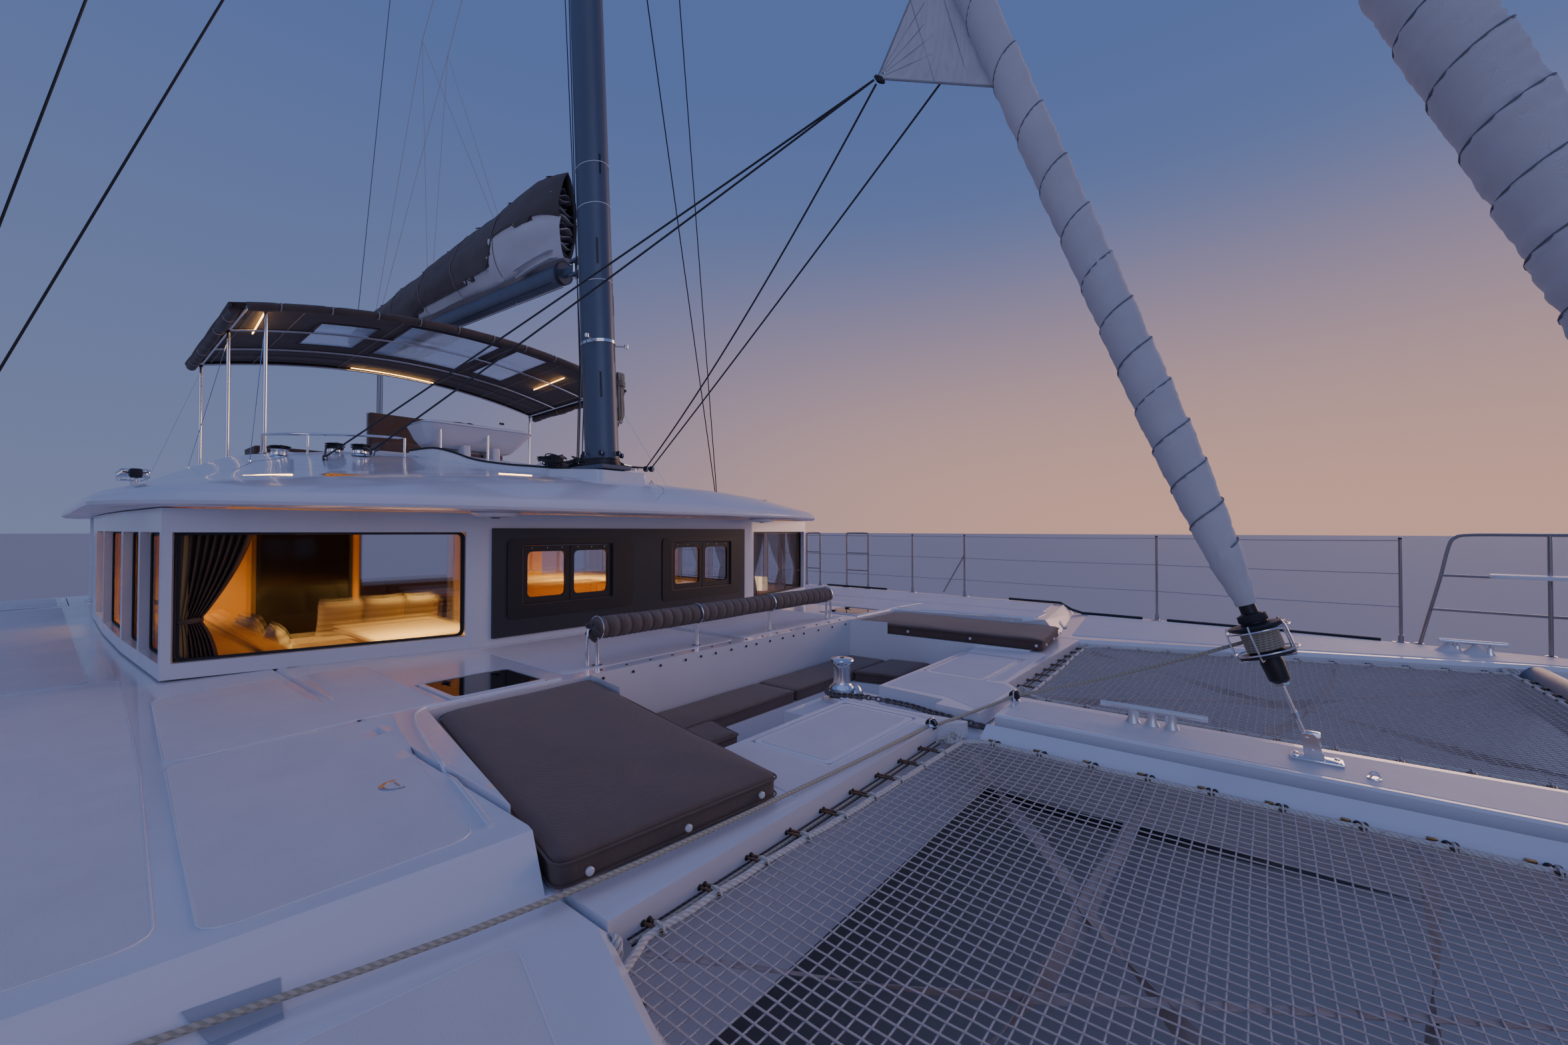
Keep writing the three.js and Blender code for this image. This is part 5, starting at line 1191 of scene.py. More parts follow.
def roof_ring(outline, inset, height, rise, crown):
    """One ring of the dome, drawn in from the eave."""
    middle = (ROOF["front"] + ROOF["aft"]) / 2
    long = (ROOF["front"] - ROOF["aft"]) / 2
    ring = []
    for x, y in outline:
        px, py = middle + (x - middle) * (1 - inset / long), y * (1 - inset / ROOF["half"])
        aft = (ROOF["rise_from"] - px) / (ROOF["rise_from"] - ROOF["rise_to"])
        aft = min(1.0, max(0.0, aft))
        aft = aft - 0.25 * math.sin(2 * math.pi * aft) / (2 * math.pi)
        middling = max(0.0, 1 - (py / ROOF["crown_half"]) ** 2)
        ring.append((px, py, height + rise * aft + crown * middling))
    return ring


# Upper edge of the coaming before the helm, from starboard round the front to port
COAMING = [
    (-2.15, -0.88, 3.85), (-1.6, -0.85, 3.835), (-1.4, -0.724, 3.786), (-1.2, -0.583, 3.705),
    (-0.9, -0.392, 3.652), (-0.6, -0.258, 3.622), (-0.3, -0.132, 3.592), (-0.3, 0.25, 3.592),
    (-0.6, 0.45, 3.612), (-0.9, 0.62, 3.64), (-1.2, 0.80, 3.68), (-1.6, 0.96, 3.73), (-2.15, 0.98, 3.79),
]
WINCHES = [(-1.80, -2.09, 3.60), (-1.95, -1.626, 3.69), (-1.55, -1.518, 3.655), (-1.5, 0.37, 3.715),
           (-1.8, 1.9, 3.64)]


# Where the raised parts of the roof end, inside its dome
RAISED_FOOT = 3.33


def raised_block(edge, ease=0.03):
    """A block whose foot is wider than its upper edge, which is eased."""
    form = Form()
    middle = Vector((sum(p[0] for p in edge), sum(p[1] for p in edge))) / len(edge)
    rings = []
    for reach, drop in ((0.07, None), (0.07 * 0.35, 0.085), (0.012, 0.02), (0.0, 0.004), (-ease, 0.0)):
        ring = []
        for x, y, z in edge:
            away = (Vector((x, y)) - middle).normalized() * reach
            ring.append((x + away.x, y + away.y, RAISED_FOOT if drop is None else z - drop))
        rings.append(ring)
    return form.rings(rings, "gelcoat")


def make_the_roof():
    """The dome with its hollows, raised parts, trim, posts, winches and eave lamps."""
    outline = roof_outline()
    dome = Form()
    dome.rings([roof_ring(outline, *row) for row in ROOF_RINGS], "gelcoat")
    room = Form().box((-3.52, 0.79), (-2.80, 2.80), (2.9, 3.15), "cream")
    coffer = Form().box((-3.50, 0.48), (-2.28, 2.28), (3.10, 3.34), "cream")
    shelter = Form().box((-6.05, -3.74), (-2.95, 2.95), (2.9, 3.19), "gelcoat")
    well_line = rounded(rectangle((-4.7, -1.9), (-1.95, 1.95)), 0.16, 6)
    well = Form().plate(well_line, 3.56, 4.4, "gelcoat")
    mesh = carve(dome, [room, coffer, shelter, well], "roof_shell")
    settle(bpy.data.objects.new("roof_shell", mesh), "boat", "roof", angle=30)

    raised = Form()
    smooth = curve(COAMING, 4)
    raised.join(raised_block(smooth))
    plinth = [(0.60, 0.28, 3.52), (0.60, -0.28, 3.52), (-0.25, -0.30, 3.575), (-0.25, 0.30, 3.575)]
    heights = {round(x, 3): z for x, _, z in plinth}
    line = rounded([(x, y) for x, y, _ in plinth], 0.07, 5)
    top = [(x, y, table(x, [(-0.25, heights[-0.25]), (0.60, heights[0.6])])) for x, y in line]
    raised.join(raised_block(top, ease=0.015))
    raised.piece("roof_raised_parts", replaces="roof", angle=38)

    trim = Form()
    trim.tube([(x, y, z + 0.004) for x, y, z in smooth], 0.011, "rubber", 8)
    # Grooves of the dome, drawn as thin raised lines whose darker grey is painted shade of the grooves. Each
    # row is a line of (x, y), drawn on the dome
    for groove in ([(1.02, -0.9), (0.85, -0.6), (0.55, -0.52), (0.2, -0.50)],
                   [(1.22, -0.1), (1.0, 0.16), (0.7, 0.32)],
                   [(1.0, 1.3), (0.6, 1.25), (0.1, 1.15)], [(-0.9, -2.55), (-1.4, -2.35), (-1.5, -2.15)]):
        line = spaced(curve([(x, y, 0) for x, y in groove], 6), 0.05)
        trim.tube([(x, y, roof_z(x, y) + 0.0005) for x, y, _ in line], 0.0028, "groove", 6)
    line = [(x, y, roof_z(x, y) + 0.002)
            for x, y, _ in spaced([(x, y, 0) for x, y in well_line + well_line[:1]], 0.12)]
    trim.tube(line[:-1], 0.012, "gelcoat", 8, closed=True)
    trim.piece("roof_trim", weighted=False)

    posts = Form()
    for side in SIDES.values():
        posts.tube([(-5.7, side * 3.06, ON_DECK), (-5.7, side * 3.06, 2.2), (-5.7, side * 3.06, 3.19)],
                   [0.05, 0.045, 0.045], "gelcoat", 20)
        posts.standing([(0, 0), (0.085, 0), (0.085, 0.008), (0.055, 0.02), (0, 0.02)],
                       (-5.7, side * 3.06, ON_DECK), "steel", 24)
    posts.piece("roof_posts", replaces="roof")

    for i, place in enumerate(WINCHES):
        winch(place).piece(f"winch_{i + 1}", replaces="roof")
    lights = Form()
    for side in SIDES.values():
        dish = Form().lathe([(0, 0), (0.085, 0), (0.092, 0.012), (0.075, 0.034), (0.04, 0.042), (0, 0.043)],
                            (0, 0, 0), (0, 0, -1), "gelcoat", 32)
        dish.lathe([(0, 0), (0.018, 0), (0.016, 0.006), (0, 0.007)], (0, 0, -0.042), (0, 0, -1), "black", 12)
        dish.points = [(x + 1.09, y * 1.9 + side * 1.45, z + 3.087) for x, y, z in dish.points]
        lights.join(dish)
    lights.piece("eave_lamps")


def roof_z(x, y):
    """Height of the dome at a place, by walking inward through its rings."""
    middle = (ROOF["front"] + ROOF["aft"]) / 2
    long = (ROOF["front"] - ROOF["aft"]) / 2
    low, high = 0.0, 3.2
    for _ in range(22):
        inset = (low + high) / 2
        ex = middle + (x - middle) / (1 - inset / long)
        ey = abs(y) / max(0.02, 1 - inset / ROOF["half"])
        if inside_eave(ex, ey):
            low = inset
        else:
            high = inset
    inset = (low + high) / 2
    columns = [[(row[0], row[k]) for row in ROOF_RINGS[3:]] for k in (1, 2, 3)]
    height, rise, crown = (table(inset, column) for column in columns)
    aft = min(1.0, max(0.0, (ROOF["rise_from"] - x) / (ROOF["rise_from"] - ROOF["rise_to"])))
    aft = aft - 0.25 * math.sin(2 * math.pi * aft) / (2 * math.pi)
    return height + rise * aft + crown * max(0.0, 1 - (y / ROOF["crown_half"]) ** 2)


def inside_eave(x, y):
    """Whether a place lies under the roof; y is positive."""
    if x > ROOF["front"] or x < ROOF["aft"]:
        return False
    reach = table(-x, [(-px, py) for px, py in EAVE])
    return y <= reach


def winch(place):
    """A self-tailing winch: foot, drum with ribs, jaws and the feeder arm."""
    x, y, z = place
    form = Form()
    at, up = (x, y, z), (x, y, z + 1)
    form.lathe([(0, -0.05), (0.098, -0.05), (0.10, 0.0), (0.096, 0.012), (0.084, 0.022), (0, 0.022)], at, up,
               "black", 32)
    form.lathe([(0, 0.022), (0.078, 0.022), (0.074, 0.034), (0.060, 0.05), (0.057, 0.075), (0.061, 0.095),
                (0.070, 0.104), (0, 0.104)], at, up, "steel", 36)
    form.lathe([(0, 0.104), (0.082, 0.104), (0.086, 0.109), (0.066, 0.116), (0.066, 0.121), (0.086, 0.127),
                (0.083, 0.133), (0.060, 0.140), (0.028, 0.143), (0, 0.143)], at, up, "black", 36)
    form.lathe([(0, 0.143), (0.024, 0.143), (0.022, 0.150), (0, 0.151)], at, up, "steel", 16)
    for k in range(12):
        turn = 2 * math.pi * k / 12
        form.tube([(x + math.cos(turn) * r, y + math.sin(turn) * r, z + h)
                   for r, h in ((0.060, 0.05), (0.0585, 0.075), (0.062, 0.095))], 0.003, "steel", 5)
    form.box((x + 0.05, x + 0.10), (y - 0.016, y + 0.016), (z + 0.108, z + 0.135), "black", 0.006)
    return form


# Cabin walls, windows and the front panel

CABIN = [(0.89, 1.5), (0.49, 3.05), (-0.87, 3.12), (-2.12, 3.15), (-3.6, 3.15)]
WINDOW = (2.19, 2.94)
# Columns: corner before, corner after, clear of the first, clear of the second
PANES = [(0, 1, 0.06, 0.045), (1, 2, 0.045, 0.70), (1, 2, 0.72, 0.04), (2, 3, 0.04, 0.04), (3, 4, 0.04, 0.50)]
PANEL = {"x": (0.845, 0.905), "half": 1.38, "z": (2.15, 2.97), "holes": ((-1.16, -0.33), (0.33, 1.16)),
         "hole_z": (2.37, 2.85), "plates": ((-1.27, -0.12), (0.22, 1.28)), "plate_z": (2.28, 2.885)}


def pane_corners(pane):
    """The two ends of a pane in plan and its outward direction, port side."""
    before, after, first, second = pane
    a, b = Vector(CABIN[before]), Vector(CABIN[after])
    run = (b - a).normalized()
    return a + run * first, b - run * second, Vector((run.y, -run.x))


def make_the_cabin():
    """Cabin walls and the gaskets round their panes."""
    dressed("cabin_walls", "gelcoat", ease=0.012)
    for name, side in SIDES.items():
        gaskets = Form()
        for pane in PANES:
            a, b, out = pane_corners(pane)
            low, high = WINDOW
            inset = 0.052
            run = (b - a).normalized()
            along = (b - a).length
            loop = rounded(rectangle((0, along), WINDOW, 0.006), 0.035, 5)
            path = [a + run * s for s, _ in loop]
            line = [(p.x - out.x * inset, side * (p.y - out.y * inset), z) for p, (_, z) in zip(path, loop)]
            gaskets.tube(line, 0.006, "rubber", 6, closed=True)
            # Dark rim of the glass
            for (s0, z0), (s1, z1) in zip(loop, loop[1:] + loop[:1]):
                middle = (along / 2, (low + high) / 2)
                quad = []
                for s, z, part in ((s0, z0, 0), (s1, z1, 0), (s1, z1, 1), (s0, z0, 1)):
                    pull = Vector((middle[0] - s, middle[1] - z)).normalized() * 0.022 * part
                    p = a + run * (s + pull.x)
                    quad.append((p.x - out.x * 0.0585, side * (p.y - out.y * 0.0585), z + pull.y))
                gaskets.add(quad, [(0, 1, 2, 3)], "black")
        gaskets.piece(f"window_gaskets_{name}", weighted=False, even=False)
    front_panel()


def front_panel():
    """The dark panel before the saloon with its two opening windows."""
    x0, x1 = PANEL["x"]
    panel = Form()
    line = rounded(rectangle((-PANEL["half"], PANEL["half"]), PANEL["z"]), 0.008, 2)
    panel.rings([[(x, y, z) for y, z in line] for x in (x0, x1 - 0.004)]
                + [[(x1, y * 0.997, z) for y, z in line]], "dark_panel")
    tools = []
    for limits in PANEL["holes"]:
        edge = rounded(rectangle(limits, PANEL["hole_z"]), 0.02, 3)
        tools.append(Form().rings([[(x, y, z) for y, z in edge] for x in (0.7, 1.1)], "dark_panel"))
    mesh = carve(panel, tools, "front_panel_finished")
    settle(bpy.data.objects.new("front_panel_finished", mesh), "boat", "front_panel", angle=30)
    for name, hole, plate_y in zip(SIDES, PANEL["holes"], PANEL["plates"]):
        frame_form = Form()
        y0, y1 = hole
        z0, z1 = PANEL["hole_z"]
        plate = rounded(rectangle(plate_y, PANEL["plate_z"]), 0.05, 5)
        opening = rounded(rectangle(hole, PANEL["hole_z"], 0.003), 0.03, 5)
        frame_form.rings([[(0.9052, y, z) for y, z in plate], [(0.9125, y, z) for y, z in plate],
                          [(0.9145, y * 0.999 + 0.001 * (y0 + y1) / 2, z) for y, z in opening],
                          [(0.9052, y, z) for y, z in opening]], "black", closed=True)
        rim = rounded(rectangle(hole, PANEL["hole_z"], 0.002), 0.02, 4)
        lip = rounded(rectangle(hole, PANEL["hole_z"], 0.014), 0.014, 4)
        frame_form.rings([[(0.862, y, z) for y, z in rim], [(0.911, y, z) for y, z in rim],
                          [(0.909, y, z) for y, z in lip], [(0.862, y, z) for y, z in lip]], "black",
                         closed=True)
        middle = (y0 + y1) / 2
        for a, b in ((y0 + 0.016, middle - 0.003), (middle + 0.003, y1 - 0.016)):
            outer = rounded(rectangle((a, b), (z0 + 0.016, z1 - 0.016)), 0.008, 6)
            inner = rounded(rectangle((a + 0.036, b - 0.036), (z0 + 0.062, z1 - 0.062)), 0.045, 6)
            frame_form.rings([[(0.872, y, z) for y, z in outer], [(0.900, y, z) for y, z in outer],
                              [(0.900, y, z) for y, z in inner], [(0.872, y, z) for y, z in inner]], "black",
                             closed=True)
            frame_form.rings([[(x, y, z) for y, z in inner] for x in (0.882, 0.888)], "cabin_glass")
            for y in (a + 0.07, b - 0.07, (a + b) / 2):
                frame_form.lathe([(0, 0), (0.0035, 0), (0.0035, 0.002), (0, 0.003)],
                                 (0.900, y, z1 - 0.034), (1.2, y, z1 - 0.034), "steel", 8)
            for y in (a + 0.022, b - 0.022):
                frame_form.box((0.866, 0.876), (y - 0.010, y + 0.010), (z0 + 0.15, z0 + 0.21), "black", 0.004)
        frame_form.piece(f"front_window_{name}_frame", replaces=f"front_window_{name}", weighted=False)


# Saloon, seen through the glass

def plank_floor(form, x, y, z):
    """Planks side by side, running along the boat."""
    step = 0.13
    count = round((y[1] - y[0]) / step)
    wide = (y[1] - y[0]) / count
    for k in range(count):
        a = y[0] + k * wide
        form.box(x, (a, a + wide - 0.004), (z - 0.006, z), "wood")


def make_the_saloon():
    """Floors, linings and ceiling of the saloon, and what stands in it."""
    floor = Form()
    plank_floor(floor, (-3.55, 0.60), (-2.52, 2.52), 1.288)
    plank_floor(floor, (-5.73, -3.72), (-2.45, 2.45), 1.288)
    floor.piece("saloon_floor", weighted=False)
    lining = Form()
    for side in SIDES.values():
        lining.box((-3.53, 0.61), (side * 2.530, side * 2.545), (1.29, 2.098), "amber_wall")
        lining.box((-3.53, 0.45), (side * 2.53, side * 3.05), (ON_DECK, 2.118), "wood", 0.004)
        for pane in PANES[2:]:
            a, _, _ = pane_corners(pane)
            lining.box((a.x - 0.02, a.x + 0.05), (side * 3.03, side * 3.055), (2.118, 3.07), "amber_wall",
                       0.004)
        lining.box((0.36, 0.44), (side * 2.93, side * 2.98), (2.118, 3.07), "amber_wall", 0.006)
        lining.box((0.79, 0.835), (side * 1.46, side * 1.52), (2.118, 3.07), "amber_wall", 0.006)
        lining.box((-3.53, 0.4), (side * 2.96, side * 3.04), (2.955, 3.075), "amber_wall", 0.004)
    lining.box((0.612, 0.632), (-2.53, 2.53), (1.29, 2.098), "amber_wall")
    lining.box((0.62, 0.82), (-1.5, 1.5), (ON_DECK, 2.118), "wood", 0.004)
    for side in SIDES.values():
        lining.prism([(0.62, side * 1.45), (0.82, side * 1.5), (0.43, side * 2.98), (0.30, side * 2.6),
                      (0.60, side * 2.5)], "z", ON_DECK, 2.118, "wood")
    lining.box((0.80, 0.84), (-1.4, 1.4), (2.96, 3.07), "amber_wall", 0.004)
    # Linings of the aft bulkhead. Columns: y limits, foot
    for y, foot in (((-3.04, -2.50), 2.12), ((-2.50, -1.99), 1.29), ((-1.03, -0.965), 1.29),
                    ((0.28, 1.48), 1.29), ((2.93, 3.04), 2.12)):
        lining.box((-3.535, -3.52), y, (foot, 3.07), "amber_wall", 0.004)
    # The glazed part of the bulkhead, starboard of the door
    lining.box((-3.535, -3.527), (-1.95, -1.07), (1.34, 2.93), "screen")
    for y, z in (((-1.99, -1.95), (1.30, 2.97)), ((-1.07, -1.03), (1.30, 2.97)),
                 ((-1.95, -1.07), (1.30, 1.34)), ((-1.95, -1.07), (2.93, 2.97))):
        lining.box((-3.535, -3.515), y, z, "dark_panel", 0.003)
    lining.box((-3.535, -3.52), (1.48, 2.93), (1.29, 2.24), "amber_wall", 0.004)
    lining.piece("saloon_lining", weighted=False)

    ceiling = Form()
    ceiling.box((-3.51, 0.47), (-2.27, 2.27), (3.335, 3.342), "cream")
    for x in (-3.0, -1.8, -0.6):
        for y in (-1.9, -0.7, 0.7, 1.9):
            ceiling.lathe([(0, 0), (0.04, 0), (0.042, 0.004), (0.03, 0.007), (0, 0.007)], (x, y, 3.334),
                          (x, y, 3), "amber_light", 16)
    ceiling.piece("saloon_ceiling", weighted=False)
    saloon_seats()
    curtains()
    galley()
    door()


def pillow(name, place, size, lean, turn, look, seed):
    """A soft square cushion standing on its edge."""
    form = Form()
    count = 14
    for face in (1, -1):
        grid = []
        for i in range(count + 1):
            row = []
            for j in range(count + 1):
                u, v = 2 * i / count - 1, 2 * j / count - 1
                full = max(0.0, (1 - abs(u) ** 2.6) * (1 - abs(v) ** 2.6)) ** 0.5
                pinch = 1 - 0.07 * (1 - abs(u) ** 2) * abs(v)
                puff = full * size[2] / 2 * (1 + 0.12 * noise.noise(Vector((u * 2, v * 2, seed + face))))
                row.append((u * size[0] / 2 * (1 - 0.05 * (1 - v * v)), face * puff, v * size[1] / 2 * pinch))
            grid.append(row)
        form.sheet(grid, look)
    matrix = Matrix.Translation(place) @ Matrix.Rotation(turn, 4, "Z") @ Matrix.Rotation(lean, 4, "X")
    form.placed(matrix)
    piece = form.piece(name, weighted=False, angle=80)


def saloon_seats():
    """Cushions, pillows and table of the saloon."""
    base = FLOOR + 0.43
    # Seat cushions: name, outline
    seats = {
        "side": [(-2.04, -2.39), (-2.04, -1.96), (-0.17, -1.96), (-0.17, -2.39)],
        "front": [(-0.15, -2.39), (-0.15, -0.31), (0.39, -0.31), (0.39, -2.39)],
        "aft": [(-2.46, -2.39), (-2.46, -0.31), (-2.06, -0.31), (-2.06, -2.39)],
    }
    for i, (name, outline) in enumerate(seats.items()):
        line = rounded(outline, 0.04, 3)
        form = cushion_form(line, base + 0.001, base + 0.12, "cream", 0.02, 0.05, seed=31 + i)
        seat = form.piece(f"saloon_cushion_{name}", weighted=False, angle=60)
    # Striped pillows: place, turn
    for i, (x, y, turn) in enumerate(((-2.36, -1.05, 1.5), (-2.37, -1.45, 1.65), (-2.34, -0.72, 1.35),
                                      (-1.6, -2.30, 0.1), (-0.7, -2.29, -0.1))):
        pillow(f"saloon_pillow_{i + 1}", (x, y, base + 0.30), (0.44, 0.40, 0.15), 0.22, turn, "striped",
               40 + i)
    top = Form()
    top.box((-1.74, -0.46), (-1.69, -0.81), (FLOOR + 0.69, FLOOR + 0.735), "cream", 0.012)
    top.box((-1.22, -0.98), (-1.37, -1.13), (FLOOR + 0.012, FLOOR + 0.69), "wood", 0.02)
    top.piece("saloon_table_finished", replaces="saloon_table")


def curtain(name, place, along, width, high, tie, seed):
    """A curtain gathered at its tie: folds hang from the rail and draw together."""
    along = Vector(along).normalized()
    out = Vector((-along.y, along.x, 0))
    rows = []
    count, steps = 72, 30
    low, top = high
    for r in range(steps + 1):
        z = top + (low - top) * r / steps
        if z > tie:
            draw = 1 - 0.72 * ((top - z) / (top - tie)) ** 1.6
        else:
            draw = 0.28 + 0.30 * (1 - math.exp(-(tie - z) / 0.16))
        row = []
        for c in range(count + 1):
            part = c / count
            across = (part * draw) * width
            depth = 0.026 * math.sin(part * 2 * math.pi * 9 + seed) * (0.6 + 0.4 * draw)
            depth += 0.006 * noise.noise(Vector((part * 14, z * 3, seed)))
            p = Vector(place) + along * across + out * depth
            row.append((p.x, p.y, z))
        rows.append(row)
    form = Form()
    form.sheet(rows, "curtain", 0.0015)
    piece = form.piece(name, weighted=False, angle=80)
    band = Form()
    middle = Vector(place) + along * (width * 0.14)
    ring = []
    for k in range(17):
        turn = 2 * math.pi * k / 16
        p = middle + along * (math.cos(turn) * width * 0.155) + out * (math.sin(turn) * 0.034)
        ring.append((p.x, p.y, tie + 0.004 * math.sin(k)))
    band.tube(ring, 0.010, "curtain", 6, flat=1.6)
    band_piece = band.piece(f"{name}_tie", weighted=False)


def curtains():
    """Seven curtains behind the saloon's windows."""
    low, top = 2.13, 3.05
    for name, side in SIDES.items():
        curtain(f"curtain_{name}_front", (0.42, side * 2.97, 0), (0.25, -side, 0), 0.34, (low, top), 2.42,
                3 + side)
        curtain(f"curtain_{name}_side", (0.22, side * 2.95, 0), (-1, 0, 0), 0.34, (low, top), 2.42, 6 + side)
        curtain(f"curtain_{name}_middle", (-0.95, side * 2.97, 0), (-1, 0, 0), 0.30, (low, top), 2.42,
                9 + side)
    curtain("curtain_port_inner", (0.66, 1.72, 0), (-0.25, 1, 0), 0.36, (low, top), 2.42, 15)


def galley():
    """Worktops, fronts and sink of the galley, and the lamp that stands beside it."""
    form = Form()
    top = FLOOR + 0.90
    form.box((-3.42, -0.58), (1.88, 2.525), (top + 0.0005, top + 0.03), "cream", 0.008)
    form.box((-3.42, -2.78), (0.68, 1.90), (top + 0.0005, top + 0.03), "cream", 0.008)
    for k in range(4):
        x = -3.3 + k * 0.68
        form.box((x, x + 0.64), (1.885, 1.899), (FLOOR + 0.10, top - 0.04), "wood", 0.004)
        form.box((x + 0.22, x + 0.42), (1.868, 1.876), (top - 0.12, top - 0.105), "steel", 0.003)
    form.box((-1.5, -1.05), (2.05, 2.42), (top + 0.03, top + 0.036), "steel", 0.004)
    form.piece("galley_tops")
    lamp = Form()
    lamp.standing([(0, 0), (0.06, 0), (0.06, 0.01), (0.012, 0.02), (0.012, 0.10), (0, 0.10)],
                  (0.35, 2.2, 2.118), "steel", 20)
    lamp.standing([(0, 0.0), (0.075, 0.0), (0.075, 0.17), (0, 0.17)], (0.35, 2.2, 2.20), "lamp_shade", 24)
    lamp.piece("saloon_lamp")


def door():
    """The sliding door's leaf: a frame round tinted glass, with its handle."""
    low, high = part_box("saloon_door")
    x0, x1 = low[0], high[0]
    form = Form()
    across, upright = (low[1], high[1]), (low[2], high[2])
    outer, inner = rectangle(across, upright), rectangle(across, upright, 0.05)
    form.rings([[(x0, y, z) for y, z in outer], [(x1, y, z) for y, z in outer],
                [(x1, y, z) for y, z in inner], [(x0, y, z) for y, z in inner]], "dark_panel", closed=True)
    form.rings([[(x, y, z) for y, z in inner] for x in (x0 + 0.014, x0 + 0.022)], "tinted_glass")
    form.box((x1 - 0.001, x1), (high[1] - 0.035, high[1] - 0.02), (2.0, 2.25), "steel")
    form.piece("saloon_door_leaf", "saloon_door", "saloon_door", weighted=False)


# Mast and boom

MAST = {"x": 0.25, "foot": 3.575, "top": 26.4, "rake": 0.0673, "long": 0.42, "wide": 0.27}
BOOM = {"z": 5.70, "front": -0.26, "end": -7.40, "high": 0.24, "wide": 0.19, "rise": 0.04, "pin": 0.026}
SPREADER = {"z": 14.9, "half": 1.65, "sweep": 0.52, "thick": 0.055, "chord": 0.19}
HOUNDS = 19.3


def mast_x(z):
    return MAST["x"] - (z - MAST["foot"]) * MAST["rake"]


def boom_z(x):
    return BOOM["z"] + (BOOM["front"] - x) * BOOM["rise"]


def boom_top(x):
    return boom_z(x) + BOOM["high"] / 2


def mast_point(z, turn, grow=0.0):
    """A place on the mast's skin at a height, turned from its port side."""
    share = table(z, [(0, 1), (21.0, 1), (MAST["top"], 0.72)])
    return (mast_x(z) + math.sin(turn) * (MAST["long"] / 2 * share + grow),
            math.cos(turn) * (MAST["wide"] / 2 * share + grow), z)


def mast_band(form, low, high, grow, look, start=0.0, end=2 * math.pi, sides=40):
    """A band round the mast, or a strip of it, between two heights."""
    whole = end - start > 6.2
    turns = [start + (end - start) * k / sides for k in range(sides + (0 if whole else 1))]
    outer = [[mast_point(z, turn, g) for turn in turns]
             for z, g in ((low, 0), (low, grow), (high, grow), (high, 0))]
    if whole:
        return form.rings(outer, look, closed=True)
    loops = [[ring[k] for ring in outer] for k in range(len(turns))]
    return form.rings(loops, look)


def make_the_mast():
    """The mast with its spreaders, gooseneck, track and fittings."""
    form = Form()
    heights = [3.55, 3.7] + [4.5 + k * 1.5 for k in range(15)] + [MAST["top"]]
    form.rings([[mast_point(z, 2 * math.pi * k / 40) for k in range(40)] for z in heights], "spar")
    form.box((MAST["x"] - 0.255, MAST["x"] + 0.245), (-0.17, 0.17), (3.545, 3.588), "spar", 0.01)
    for side in SIDES.values():
        root = mast_x(SPREADER["z"]) - 0.06
        rings = []
        for k in range(9):
            y = 0.06 + (SPREADER["half"] - 0.06) * k / 8
            x, chord = root - SPREADER["sweep"] * k / 8, SPREADER["chord"] - 0.08 * k / 8
            rings.append([(x + math.cos(t) * chord / 2, side * y,
                           SPREADER["z"] + math.sin(t) * SPREADER["thick"] / 2)
                          for t in around(20)])
        form.rings(rings, "spar")
    back = mast_x(BOOM["z"]) - MAST["long"] / 2
    for way in (-1, 1):
        z = BOOM["z"] + way * 0.072
        form.box((BOOM["front"] - 0.044, BOOM["front"] - 0.030), (-0.044, 0.044), (z - 0.015, z + 0.015),
                 "spar", 0.004)
        for y in (-0.0375, 0.0375):
            form.box((BOOM["front"] - 0.044, back + 0.05), (y - 0.0068, y + 0.0068), (z - 0.015, z + 0.015),
                     "spar", 0.003)
        form.box((BOOM["front"] + 0.031, back + 0.05), (-0.044, 0.044), (z - 0.015, z + 0.015), "spar", 0.004)
    form.box((back - 0.013, back + 0.05), (-0.044, 0.044), (BOOM["z"] - 0.15, BOOM["z"] + 0.15), "spar",
             0.006)
    form.piece("mast_finished", replaces="mast")

    trim = Form()
    track = [(mast_x(z) - MAST["long"] / 2 - 0.006, 0, z) for z in (6.0, 14.0, 21.0)]
    trim.tube(track, 0.014, "black", 8, flat=0.7)
    # Black patches where the halyards leave the mast: painted shade of the openings. Columns: lowest,
    # highest, place round the mast
    for low, high, turn in ((4.25, 4.50, 2.30), (5.58, 5.84, 2.25), (4.62, 4.80, 1.15), (5.1, 5.3, 0.95),
                            (6.5, 6.7, 1.9)):
        mast_band(trim, low, high, 0.002, "black", turn - 0.06, turn + 0.06, 3)
    for z, grow, look in ((3.592, 0.014, "black"), (3.63, 0.006, "black"), (4.80, 0.008, "steel"),
                          (6.62, 0.004, "pale_cap"), (6.20, 0.003, "pale_cap"), (5.42, 0.003, "pale_cap")):
        mast_band(trim, z, z + (0.03 if grow > 0.005 else 0.008), grow, look)
    for turn, reach in ((0.4, 0.13), (-0.3, 0.10), (2.7, 0.10)):
        a, b = mast_point(4.815, turn, 0.005), mast_point(4.83, turn, reach)
        trim.tube([a, lerp(a, b, 0.6), b], 0.009, "pale_cap", 8)
        trim.lathe([(0, -0.02), (0.02, -0.018), (0.022, 0), (0.02, 0.018), (0, 0.02)], b,
                   Vector(b) + Vector((0, 0, 1)), "steel", 14)
    # Rings and pad eyes at the mast's foot with their blocks
    for k in range(6):
        turn = 0.5 + k * 0.95
        eye = mast_point(3.70, turn, 0.035)
        trim.tube([mast_point(3.68, turn), eye, mast_point(3.72, turn)], 0.005, "steel", 6)
        block_at(trim, eye, 0.026)
    trim.piece("mast_fittings", weighted=False)
    mast_ropes()


